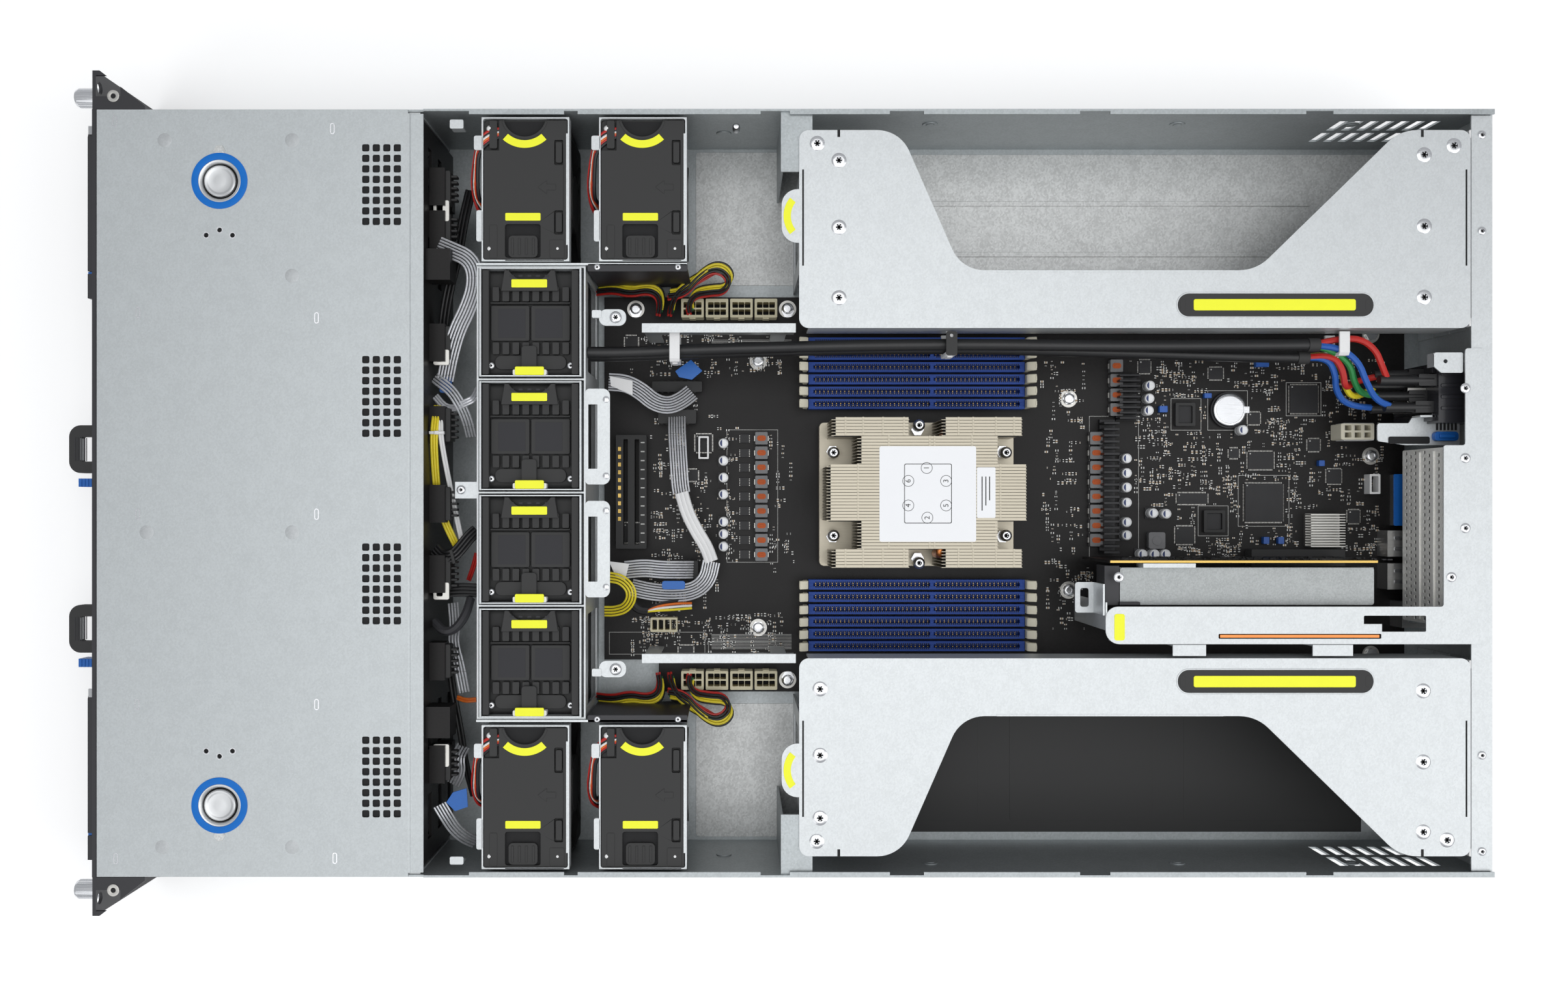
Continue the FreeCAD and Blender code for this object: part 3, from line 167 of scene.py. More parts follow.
class Finishes:
    """The finishes of the server."""

    zinc = Finish(
        "zinc_sheet", (0.60, 0.625, 0.635), "galvanised", 0.55, 0.42, Surface.ZINC, 2600, 0.05, 0.06)
    cover = Finish(
        "cover_sheet", (0.50, 0.53, 0.54), "galvanised", 0.5, 0.44, Surface.ZINC, 2600, 0.05, 0.06)
    zinc_floor = Finish(
        "zinc_floor", (0.58, 0.59, 0.585), "galvanised", 0.5, 0.45, Surface.ZINC, 2200, 0.14, 0.1)
    # Painted light: paler and less metallic than the zinc, so that the upright slot covers show as lit from
    # above.
    perforated = Finish(
        "perforated_sheet_painted_light", (0.90, 0.89, 0.85), "galvanised", 0.15, 0.4, Surface.ZINC, 2600, 0.05, 0.06)
    panel = Finish(
        "grained_panel", (0.40, 0.42, 0.42), "galvanised", 0.4, 0.5, Surface.ZINC, 3000, 0.1, 0.12)
    zinc_wall = Finish(
        "zinc_wall", (0.42, 0.45, 0.46), "galvanised", 0.65, 0.45, Surface.ZINC, 2200, 0.08, 0.06)
    steel_edge = Finish(
        "cut_edge", (0.62, 0.60, 0.55), "galvanised", 0.7, 0.4, Surface.BRUSHED, 1500, 0.1, 0.08)
    black_steel = Finish(
        "black_steel", (0.022, 0.023, 0.025), "black_steel", 0.1, 0.5, Surface.MOULDED, 3000, 0.2, 0.25)
    bright = Finish(
        "bright_screw", (0.72, 0.73, 0.75), "bright_screws", 0.95, 0.25, Surface.BRUSHED, 1800, 0.08, 0.05)
    # Painted shade: a near-black finish set into holes, slots, recesses and gaps where shade falls.
    painted_shade = Finish(
        "painted_shade_black", (0.010, 0.010, 0.011), "component_black", 0.0, 0.8, Surface.MOULDED, 2000, 0.2,
        0.05)
    button = Finish(
        "button_steel", (0.20, 0.19, 0.155), "button_steel", 0.9, 0.34, Surface.BRUSHED, 1600, 0.08, 0.05)
    drive = Finish(
        "drive_metal", (0.40, 0.41, 0.42), "drive_metal", 0.7, 0.45, Surface.BRUSHED, 1400, 0.1, 0.1)
    lever = Finish(
        "lever_plastic", (0.018, 0.018, 0.020), "lever_plastic", 0.0, 0.45, Surface.MOULDED, 3500, 0.2,
        0.2)
    supply = Finish(
        "supply_sheet", (0.50, 0.51, 0.52), "supply_metal", 0.7, 0.42, Surface.ZINC, 2400, 0.06, 0.06)
    ring_blue = Finish(
        "ring_blue", (0.004, 0.150, 0.55), "latch_blue", 0.0, 0.5, Surface.MOULDED, 3000, 0.08, 0.1, 0.25)
    tab_blue = Finish(
        "tab_blue", (0.006, 0.12, 0.46), "latch_blue", 0.0, 0.4, Surface.SMOOTH, 2000, 0.1, 0.05)
    board = Finish(
        "board_black", (0.011, 0.010, 0.010), "circuit_board", 0.0, 0.42, Surface.BOARD, 700, 0.35, 0.08,
        0.22)
    fan = Finish(
        "fan_plastic", (0.022, 0.022, 0.024), "fan_plastic", 0.0, 0.5, Surface.MOULDED, 2600, 0.16, 0.25)
    wheel = Finish(
        "wheel_plastic", (0.020, 0.020, 0.022), "wheel_plastic", 0.0, 0.36, Surface.SMOOTH, 900, 0.12,
        0.05)
    yellow = Finish(
        "touch_yellow", (0.93, 0.95, 0.02), "fan_plastic", 0.0, 0.5, Surface.SMOOTH, 2000, 0.03, 0.02)
    fins = Finish(
        "fin_nickel", (0.47, 0.43, 0.345), "fin_metal", 0.6, 0.38, Surface.BRUSHED, 1200, 0.08, 0.06)
    copper = Finish(
        "copper", (0.70, 0.25, 0.08), "fin_metal", 0.9, 0.3, Surface.BRUSHED, 1500, 0.12, 0.06)
    paper = Finish(
        "white_label", (0.90, 0.91, 0.93), "connector_plastic", 0.0, 0.55, Surface.SMOOTH, 1500, 0.015,
        0.02)
    ink = Finish(
        "label_ink", (0.02, 0.02, 0.02), "component_black", 0.0, 0.6, Surface.SMOOTH, 1500, 0.1, 0.02)
    socket_blue = Finish(
        "socket_blue", (0.003, 0.030, 0.125), "socket_blue", 0.0, 0.45, Surface.MOULDED, 2500, 0.12, 0.12,
        0.3)
    cream = Finish(
        "latch_cream", (0.92, 0.89, 0.78), "latch_cream", 0.0, 0.45, Surface.MOULDED, 2500, 0.05, 0.08)
    header = Finish(
        "header_cream", (0.72, 0.66, 0.46), "connector_plastic", 0.0, 0.5, Surface.MOULDED, 2500, 0.08,
        0.08)
    package = Finish(
        "chip_package", (0.020, 0.020, 0.022), "component_black", 0.0, 0.45, Surface.MOULDED, 3000, 0.15,
        0.12, 0.3)
    tin = Finish(
        "tin_metal", (0.56, 0.55, 0.52), "port_metal", 0.85, 0.35, Surface.BRUSHED, 2000, 0.12, 0.1)
    grey_choke = Finish(
        "grey_ferrite", (0.16, 0.16, 0.165), "component_black", 0.2, 0.5, Surface.MOULDED, 2500, 0.12, 0.2)
    gold = Finish(
        "gold_contact", (0.62, 0.42, 0.12), "port_metal", 0.9, 0.3, Surface.BRUSHED, 2000, 0.08, 0.05)
    port = Finish(
        "port_shell", (0.50, 0.50, 0.49), "port_metal", 0.85, 0.32, Surface.BRUSHED, 1600, 0.1, 0.06)
    handle = Finish(
        "handle_plastic", (0.018, 0.018, 0.020), "handle_plastic", 0.0, 0.5, Surface.MOULDED, 3000, 0.18,
        0.2)
    inlet = Finish(
        "inlet_plastic", (0.012, 0.012, 0.013), "inlet_plastic", 0.0, 0.28, Surface.SMOOTH, 1800, 0.12,
        0.04)
    jacket = Finish(
        "lead_jacket", (0.013, 0.013, 0.014), "lead_rubber", 0.0, 0.42, Surface.SMOOTH, 700, 0.15, 0.08)
    clip_white = Finish(
        "clip_white", (0.80, 0.80, 0.80), "connector_plastic", 0.0, 0.4, Surface.MOULDED, 2000, 0.04, 0.06)
    film = Finish(
        "film_black", (0.028, 0.028, 0.028), "film_black", 0.0, 0.55, Surface.MOULDED, 1800, 0.2, 0.2)
    wire_red = cord("wire_red", (0.50, 0.02, 0.015))
    wire_orange = cord("wire_orange", (0.72, 0.16, 0.02))
    wire_yellow = cord("wire_yellow", (0.80, 0.66, 0.03))
    wire_green = cord("wire_green", (0.02, 0.24, 0.06))
    wire_blue = cord("wire_blue", (0.015, 0.10, 0.42))
    wire_silver = Finish(
        "wire_silver", (0.66, 0.67, 0.70), "lead_rubber", 0.45, 0.3, Surface.BRUSHED, 900, 0.2, 0.2)
    weld_spot = Finish(
        "weld_spot", (0.47, 0.49, 0.50), "galvanised", 0.5, 0.45, Surface.ZINC, 2600, 0.05, 0.05)
    silk = Finish(
        "board_marks", (0.55, 0.55, 0.53), "circuit_board", 0.0, 0.6, Surface.SMOOTH, 1500, 0.06, 0.02)
    solder = Finish(
        "solder_ends", (0.66, 0.66, 0.64), "port_metal", 0.3, 0.4, Surface.SMOOTH, 2000, 0.1, 0.05)
    silk_blue = Finish(
        "can_mark", (0.03, 0.05, 0.16), "component_black", 0.0, 0.5, Surface.SMOOTH, 1500, 0.06, 0.02)
    copper_dull = Finish(
        "choke_core", (0.42, 0.085, 0.02), "component_black", 0.2, 0.5, Surface.BRUSHED, 1800, 0.12, 0.1,
        0.25)
    tin_pale = Finish(
        "can_top", (0.80, 0.81, 0.82), "port_metal", 0.15, 0.4, Surface.BRUSHED, 1800, 0.08, 0.05)
    anodised = Finish(
        "anodised_black", (0.020, 0.020, 0.022), "component_black", 0.4, 0.42, Surface.BRUSHED, 1800, 0.15,
        0.12)
    ceramic = Finish(
        "tan_ceramic", (0.30, 0.21, 0.12), "component_black", 0.0, 0.5, Surface.MOULDED, 2500, 0.1, 0.1)
    braid = Finish(
        "braided_sleeve", (0.045, 0.045, 0.05), "lead_rubber", 0.1, 0.5, Surface.WOVEN, 1400, 0.4, 0.4)


class Mould:
    """Collects solids in one mesh, in millimetres, and turns them into a piece."""

    def __init__(self) -> None:
        """Start with an empty mesh."""
        self.mesh = bmesh.new()

    def block(self, x0: float, x1: float, y0: float, y1: float, z0: float, z1: float) -> None:
        """Add a box between two corners.

        Args:
            x0: one end along X.
            x1: the other end along X.
            y0: one end along Y.
            y1: the other end along Y.
            z0: one end along Z.
            z1: the other end along Z.
        """
        centre = Vector(((x0 + x1) / 2, (y0 + y1) / 2, (z0 + z1) / 2))
        size = Vector((abs(x1 - x0), abs(y1 - y0), abs(z1 - z0)))
        matrix = Matrix.Translation(centre) @ Matrix.Diagonal((*size, 1.0))
        bmesh.ops.create_cube(self.mesh, size=1.0, matrix=matrix)

    def turned(self, centre: Point, size: Point, angle: float, axis: str = "Z") -> None:
        """Add a box turned by an angle in degrees about one of its own axes.

        Args:
            centre: the box's middle.
            size: its three lengths before it is turned.
            angle: how far it is turned.
            axis: the axis that it is turned about.
        """
        matrix = (
            Matrix.Translation(Vector(centre)) @ Matrix.Rotation(math.radians(angle), 4, axis)
            @ Matrix.Diagonal((*size, 1.0)))
        bmesh.ops.create_cube(self.mesh, size=1.0, matrix=matrix)

    def rod(
            self, centre: Point, radius: float, length: float, axis: str = "Z", sides: int = 24,
            tip: float | None = None) -> None:
        """Add a cylinder or a cone that starts at centre and runs along an axis.

        Args:
            centre: the middle of its first end.
            radius: the radius of its first end.
            length: how far it reaches.
            axis: the axis that it runs along.
            sides: the number of its sides.
            tip: the radius of its other end, where that is a different one.
        """
        tip = radius if tip is None else tip
        turn = {
            "X": Matrix.Rotation(math.pi / 2, 4, "Y"),
            "Y": Matrix.Rotation(-math.pi / 2, 4, "X"),
            "Z": Matrix.Identity(4)}[axis]
        matrix = (
            Matrix.Translation(Vector(centre)) @ turn @ Matrix.Translation(Vector((0, 0, length / 2))))
        bmesh.ops.create_cone(
            self.mesh, cap_ends=True, segments=sides, radius1=radius, radius2=tip, depth=length,
            matrix=matrix)

    @staticmethod
    def place(point: Flat, level: float, axis: str) -> Vector:
        """A point of a flat outline, set at a level along an axis."""
        u, v = point
        return Vector({"X": (level, u, v), "Y": (u, level, v), "Z": (u, v, level)}[axis])

    def prism(self, outline: list[Flat], low: float, high: float, axis: str = "Z") -> None:
        """Add an outline drawn out along an axis.

        Args:
            outline: points in the two other axes, in the order X, Y, Z.
            low: where the prism starts.
            high: where it ends.
            axis: the axis that it runs along.
        """
        bottom = [self.mesh.verts.new(self.place(p, low, axis)) for p in outline]
        top = [self.mesh.verts.new(self.place(p, high, axis)) for p in outline]
        count = len(outline)
        faces = [self.mesh.faces.new(bottom), self.mesh.faces.new(top)]
        for i in range(count):
            j = (i + 1) % count
            faces.append(self.mesh.faces.new((bottom[i], bottom[j], top[j], top[i])))
        bmesh.ops.recalc_face_normals(self.mesh, faces=faces)

    def tube(self, points: list[Point], radius: float, sides: int = 8) -> None:
        """Add a round wire that follows points.

        Args:
            points: the route of its middle.
            radius: its radius.
            sides: the number of its sides.
        """
        path = [Vector(p) for p in points]
        rings = []
        normal = None
        for i, point in enumerate(path):
            ahead = path[min(i + 1, len(path) - 1)]
            behind = path[max(i - 1, 0)]
            along = (ahead - behind).normalized()
            if normal is None:
                helper = Vector((0, 0, 1)) if abs(along.z) < 0.9 else Vector((1, 0, 0))
                normal = along.cross(helper).normalized()
            else:
                normal = (normal - along * normal.dot(along)).normalized()
            across = along.cross(normal)
            ring = [normal * x + across * y for x, y in disc(0.0, 0.0, 1.0, sides)]
            rings.append([self.mesh.verts.new(point + corner * radius) for corner in ring])
        for a, b in zip(rings, rings[1:]):
            for k in range(sides):
                m = (k + 1) % sides
                self.mesh.faces.new((a[k], a[m], b[m], b[k]))
        self.mesh.faces.new(rings[0][::-1])
        self.mesh.faces.new(rings[-1])

    def plate(
            self, outline: list[Flat], holes: list[list[Flat]], low: float, high: float,
            axis: str = "Z") -> None:
        """Add a flat plate with holes.

        Args:
            outline: the outer edge, in the two axes other than the plate's own.
            holes: an outline for each hole.
            low: the plate's lower face.
            high: its upper face.
            axis: the axis that the plate is thick along.
        """
        points, rims, owner = [], [], []
        for number, ring in enumerate([outline] + holes):
            first = len(points)
            points += [Vector(corner) for corner in ring]
            owner += [number] * len(ring)
            rims += [(first + i, first + (i + 1) % len(ring)) for i in range(len(ring))]
        flat, _, faces, origin, *_ = delaunay_2d_cdt(points, rims, [], 4, 1e-5)
        rings = [{owner[i] for i in source} for source in origin]
        faces = [face for face in faces if not set.intersection(*[rings[i] for i in face]) - {0}]
        layers = [
            [self.mesh.verts.new(self.place(point, level, axis)) for point in flat]
            for level in (low, high)]
        made = [self.mesh.faces.new([layer[i] for i in face]) for layer in layers for face in faces]
        uses: dict[tuple[int, int], int] = {}
        for face in faces:
            for a, b in zip(face, face[1:] + face[:1]):
                uses[min(a, b), max(a, b)] = uses.get((min(a, b), max(a, b)), 0) + 1
        for (a, b), count in uses.items():
            if count == 1:
                made.append(self.mesh.faces.new((layers[0][a], layers[0][b], layers[1][b], layers[1][a])))
        bmesh.ops.recalc_face_normals(self.mesh, faces=made)

    def lathe(
            self, centre: Point, profile: list[Flat], sides: int = 32, loop: bool = False,
            axis: str = "Z") -> None:
        """Add a profile turned about an axis.

        Args:
            centre: where the profile's height is nought.
            profile: points as radius and height, from the foot to the tip.
            sides: the number of steps round the axis.
            loop: whether the profile closes on itself, as a ring's does.
            axis: the axis that the heights run along; "-X" points to the front.
        """
        turn = {
            "X": Matrix.Rotation(math.pi / 2, 4, "Y"),
            "-X": Matrix.Rotation(-math.pi / 2, 4, "Y"),
            "Z": Matrix.Identity(4)}[axis]
        start = Vector(centre)
        rings = []
        for radius, height in profile:
            steps = sides if radius > 0 else 1
            ring = [Vector((x, y, height)) for x, y in disc(0.0, 0.0, radius, steps)]
            rings.append([self.mesh.verts.new(start + turn @ corner) for corner in ring])
        pairs = list(zip(rings, rings[1:]))
        if loop:
            pairs.append((rings[-1], rings[0]))
        faces = []
        for low, high in pairs:
            for k in range(sides):
                m = (k + 1) % sides
                quad = (low[k % len(low)], low[m % len(low)], high[m % len(high)], high[k % len(high)])
                corners = list(dict.fromkeys(quad))
                if len(corners) > 2:
                    faces.append(self.mesh.faces.new(corners))
        bmesh.ops.recalc_face_normals(self.mesh, faces=faces)

    def text(self, word: str, x: float, y: float, z: float, size: float, turn: float) -> None:
        """Add flat printed digits, turned by an angle in degrees.

        Args:
            word: the digits.
            x: their middle along X.
            y: their middle along Y.
            z: the level of the face that they are printed on.
            size: their height.
            turn: how far they are turned.
        """
        curve = bpy.data.curves.new("digits", "FONT")
        curve.body = word
        curve.size = size
        curve.align_x = "CENTER"
        curve.align_y = "CENTER"
        curve.extrude = INK
        holder = bpy.data.objects.new("digits", curve)
        flat = bpy.data.meshes.new_from_object(holder)
        flat.transform(
            Matrix.Translation(Vector((x, y, z + INK))) @ Matrix.Rotation(math.radians(turn), 4, "Z"))
        self.mesh.from_mesh(flat)
        bpy.data.objects.remove(holder)
        bpy.data.curves.remove(curve)
        bpy.data.meshes.remove(flat)

    def piece(
            self, name: str, finish: Finish, body: str = "chassis", bevel: float = 0.0,
            smooth: bool = False) -> bpy.types.Object:
        """Turn what was collected into an object that rides on a body.

        Args:
            name: the piece's name.
            finish: the finish that it is made in.
            body: the body that it moves with.
            bevel: how far its sharp edges are broken, in millimetres.
            smooth: whether its curved faces shade smoothly.

        Returns:
            The object.
        """
        data = bpy.data.meshes.new(name)
        self.mesh.transform(Matrix.Scale(MILLIMETRE, 4))
        self.mesh.to_mesh(data)
        self.mesh.free()
        made = bpy.data.objects.new(name, data)
        bpy.context.scene.collection.objects.link(made)
        data.materials.append(finish.material())
        if bevel:
            broken = made.modifiers.new("edges", "BEVEL")
            broken.width = bevel * MILLIMETRE
            broken.segments = 2
            broken.limit_method = "ANGLE"
            broken.angle_limit = BEVEL_FROM
            broken.harden_normals = True
        if smooth or bevel:
            data.set_sharp_from_angle(angle=SHARP_FROM)
            data.polygons.foreach_set("use_smooth", [True] * len(data.polygons))
        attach(made, body)
        log.info("piece %s on %s", name, body)
        return made


def rounded(x0: float, x1: float, y0: float, y1: float, radius: float, steps: int = 5) -> list[Flat]:
    """The outline of a rectangle with round corners.

    Args:
        x0: one end along the first axis.
        x1: the other end along it.
        y0: one end along the second axis.
        y1: the other end along it.
        radius: the corners' radius.
        steps: the number of short edges in each corner.

    Returns:
        The outline's points, in order.
    """
    x0, x1, y0, y1 = min(x0, x1), max(x0, x1), min(y0, y1), max(y0, y1)
    ring = []
    for cx, cy, start in (
            (x1 - radius, y1 - radius, 0), (x0 + radius, y1 - radius, 90), (x0 + radius, y0 + radius, 180),
            (x1 - radius, y0 + radius, 270)):
        for i in range(steps + 1):
            angle = math.radians(start + 90 * i / steps)
            ring.append((cx + radius * math.cos(angle), cy + radius * math.sin(angle)))
    return ring


def centred(x: float, y: float, length: float, width: float, radius: float, steps: int = 5) -> list[Flat]:
    """The outline of a rectangle with round corners, given by its middle."""
    return rounded(x - length / 2, x + length / 2, y - width / 2, y + width / 2, radius, steps)


def square(x0: float, x1: float, y0: float, y1: float) -> list[Flat]:
    """The outline of a rectangle with sharp corners."""
    return [(x0, y0), (x1, y0), (x1, y1), (x0, y1)]


def disc(x: float, y: float, radius: float, sides: int = 24) -> list[Flat]:
    """The outline of a circle."""
    angles = [2 * math.pi * i / sides for i in range(sides)]
    return [(x + radius * math.cos(a), y + radius * math.sin(a)) for a in angles]


def filleted(points: list[tuple[float, float, float]], steps: int = 8) -> list[Flat]:
    """An outline whose corners are rounded, each by the radius given with it.

    Args:
        points: corners as x, y and radius.
        steps: the number of short edges in each corner.

    Returns:
        The rounded outline.
    """
    ring = []
    count = len(points)
    for i, (x, y, radius) in enumerate(points):
        here = Vector((x, y))
        before = (Vector(points[i - 1][:2]) - here).normalized()
        after = (Vector(points[(i + 1) % count][:2]) - here).normalized()
        if radius <= 0:
            ring.append((x, y))
            continue
        half = before.angle(after) / 2
        reach = radius / math.tan(half)
        start = here + before * reach
        end = here + after * reach
        centre = here + (before + after).normalized() * (radius / math.sin(half))
        first = math.atan2(start.y - centre.y, start.x - centre.x)
        last = math.atan2(end.y - centre.y, end.x - centre.x)
        sweep = (last - first + math.pi) % (2 * math.pi) - math.pi
        for k in range(steps + 1):
            angle = first + sweep * k / steps
            ring.append((centre.x + radius * math.cos(angle), centre.y + radius * math.sin(angle)))
    return ring


def dress(node: str, finish: Finish) -> None:
    """Give a node of the frame its finish.

    Args:
        node: the node's name.
        finish: the finish that it is shown in.
    """
    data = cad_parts[node].data
    data.materials.clear()
    data.materials.append(finish.material())
    log.info("node %s in %s", node, finish.name)


@dataclass
class Studio:
    """The floor, the lamps and the camera."""

    camera_x: float = -32.8
    camera_y: float = -8.4
    camera_z: float = 888.0
    lens: float = 32.23
    shift_x: float = 0.0307
    shift_y: float = 0.0098
    floor_reach: float = 6000.0
    lamps: list[tuple[Point, float, float]] = field(
        default_factory=lambda: [
            ((0.0, -100.0, 2300.0), 2000.0, 20.0), ((1500.0, -500.0, 1500.0), 1500.0, 10.0),
            ((-1300.0, -1500.0, 1500.0), 1500.0, 6.0)])

    def build(self) -> None:
        """Make the floor, the world, the lamps and the camera."""
        self.floor()
        self.world()
        for place, size, power in self.lamps:
            self.lamp(place, size, power)
        self.camera()
        bpy.context.scene.view_settings.view_transform = "Standard"

    def floor(self) -> None:
        """A pale floor that shows nearly white and keeps the server's shadow."""
        reach = self.floor_reach * MILLIMETRE
        data = bpy.data.meshes.new("floor")
        data.from_pydata(
            [(-reach, -reach, 0), (reach, -reach, 0), (reach, reach, 0), (-reach, reach, 0)], [],
            [(0, 1, 2, 3)])
        made = bpy.data.objects.new("floor", data)
        made.location.z = -0.0004
        bpy.context.scene.collection.objects.link(made)
        skin = bpy.data.materials.new("floor_white")
        skin.use_nodes = True
        tree = skin.node_tree
        shader = tree.nodes["Principled BSDF"]
        shader.inputs["Base Color"].default_value = (0.86, 0.86, 0.86, 1)
        shader.inputs["Roughness"].default_value = 0.9
        glow = add_node(tree, "Emission", {"Color": (1, 1, 1, 1)})
        path = add_node(tree, "LightPath")
        rays = {0: path.outputs["Is Camera Ray"], 1: path.outputs["Is Glossy Ray"]}
        seen = add_node(tree, "Math", links=rays)
        seen.operation = "MAXIMUM"
        share = add_node(tree, "Math", {1: 0.3}, {0: seen.outputs[0]})
        share.operation = "MULTIPLY"
        tree.links.new(share.outputs[0], glow.inputs["Strength"])
        both = add_node(tree, "AddShader", links={0: shader.outputs[0], 1: glow.outputs[0]})
        tree.links.new(both.outputs[0], tree.nodes["Material Output"].inputs["Surface"])
        data.materials.append(skin)

    def world(self) -> None:
        """An even pale sky."""
        sky = bpy.data.worlds.new("sky")
        bpy.context.scene.world = sky
        sky.use_nodes = True
        back = sky.node_tree.nodes["Background"]
        back.inputs["Color"].default_value = (0.95, 0.97, 1.0, 1)
        back.inputs["Strength"].default_value = 0.5

    def lamp(self, place: Point, size: float, power: float) -> None:
        """Add a soft square lamp that points at the middle of the server.

        Args:
            place: where it hangs.
            size: the length of its side.
            power: its power in watts.
        """
        light = bpy.data.lights.new("lamp", "AREA")
        light.size = size * MILLIMETRE
        light.energy = power
        made = bpy.data.objects.new("lamp", light)
        spot = Vector(place) * MILLIMETRE
        made.location = spot
        made.rotation_mode = "QUATERNION"
        made.rotation_quaternion = (-spot).to_track_quat("-Z", "Y")
        bpy.context.scene.collection.objects.link(made)

    def camera(self) -> None:
        """The camera straight above, as the photograph has it."""
        lens = bpy.data.cameras.new("camera")
        lens.sensor_width = 36.0
        lens.lens = self.lens
        lens.shift_x = self.shift_x
        lens.shift_y = self.shift_y
        lens.clip_start = 0.01
        made = bpy.data.objects.new("camera", lens)
        made.location = Vector((self.camera_x, self.camera_y, self.camera_z)) * MILLIMETRE
        bpy.context.scene.collection.objects.link(made)
        bpy.context.scene.camera = made


def arc(x: float, y: float, radius: float, start: float, end: float, steps: int = 12) -> list[Flat]:
    """Points on an arc from one angle in degrees to another."""
    angles = [math.radians(start + (end - start) * i / steps) for i in range(steps + 1)]
    return [(x + radius * math.cos(a), y + radius * math.sin(a)) for a in angles]


def shifted(outline: list[Flat], x: float, y: float) -> list[Flat]:
    """The outline moved by x and y."""
    return [(px + x, py + y) for px, py in outline]


@dataclass
class Screws:
    """A group of pan-head screws, each with a star-shaped recess filled with near-black painted shade."""

    name: str
    body: str = "chassis"
    heads: Mould = field(default_factory=Mould)
    recesses: Mould = field(default_factory=Mould)

    def add(self, x: float, y: float, z: float, radius: float = 3.2, height: float = 1.6) -> None:
        """Add a screw whose head rests on the level z.

        Args:
            x: its middle along X.
            y: its middle along Y.
            z: the level that its head rests on.
            radius: the head's radius.
            height: the head's height.
        """
        self.heads.lathe((x, y, z), [
            (0, 0), (radius, 0), (radius, height * 0.45), (radius * 0.86, height * 0.82),
            (radius * 0.62, height), (radius * 0.44, height), (radius * 0.4, height * 0.35),
            (0, height * 0.3)], 24)
        # Painted shade: near-black bars that fill the star-shaped recess.
        for turn in (0, 60, 120):
            self.recesses.turned(
                (x, y, z + height * 0.4), (radius * 0.78, radius * 0.2, height * 0.2), turn)

    def done(self) -> None:
        """Make the heads and the recesses' painted shade."""
        self.heads.piece(f"{self.name}_heads", Finishes.bright, self.body, smooth=True)
        self.recesses.piece(f"{self.name}_recesses", Finishes.painted_shade, self.body)


@dataclass
class FanModule:
    """A lift-out fan module, drawn from its front edge and its middle."""

    kind: ClassVar[str]
    number: int
    front: float
    middle: float
    wheel_z: float = 41.1

    @property
    def body(self) -> str:
        """The body that the module rides on."""
        return f"{self.kind}_module_{self.number}"

    def at(self, u: float, v: float, z: float) -> Point:
        """A point of the module in the frame's axes."""
        return (self.front + u, self.middle + v, z)

    def spot(self, outline: list[Flat]) -> list[Flat]:
        """An outline of the module in the frame's axes."""
        return shifted(outline, self.front, self.middle)

    def slab(
            self, mould: Mould, u0: float, u1: float, v0: float, v1: float, z0: float, z1: float) -> None:
        """Add a box given in the module's own axes."""
        mould.block(self.front + u0, self.front + u1, self.middle + v0, self.middle + v1, z0, z1)


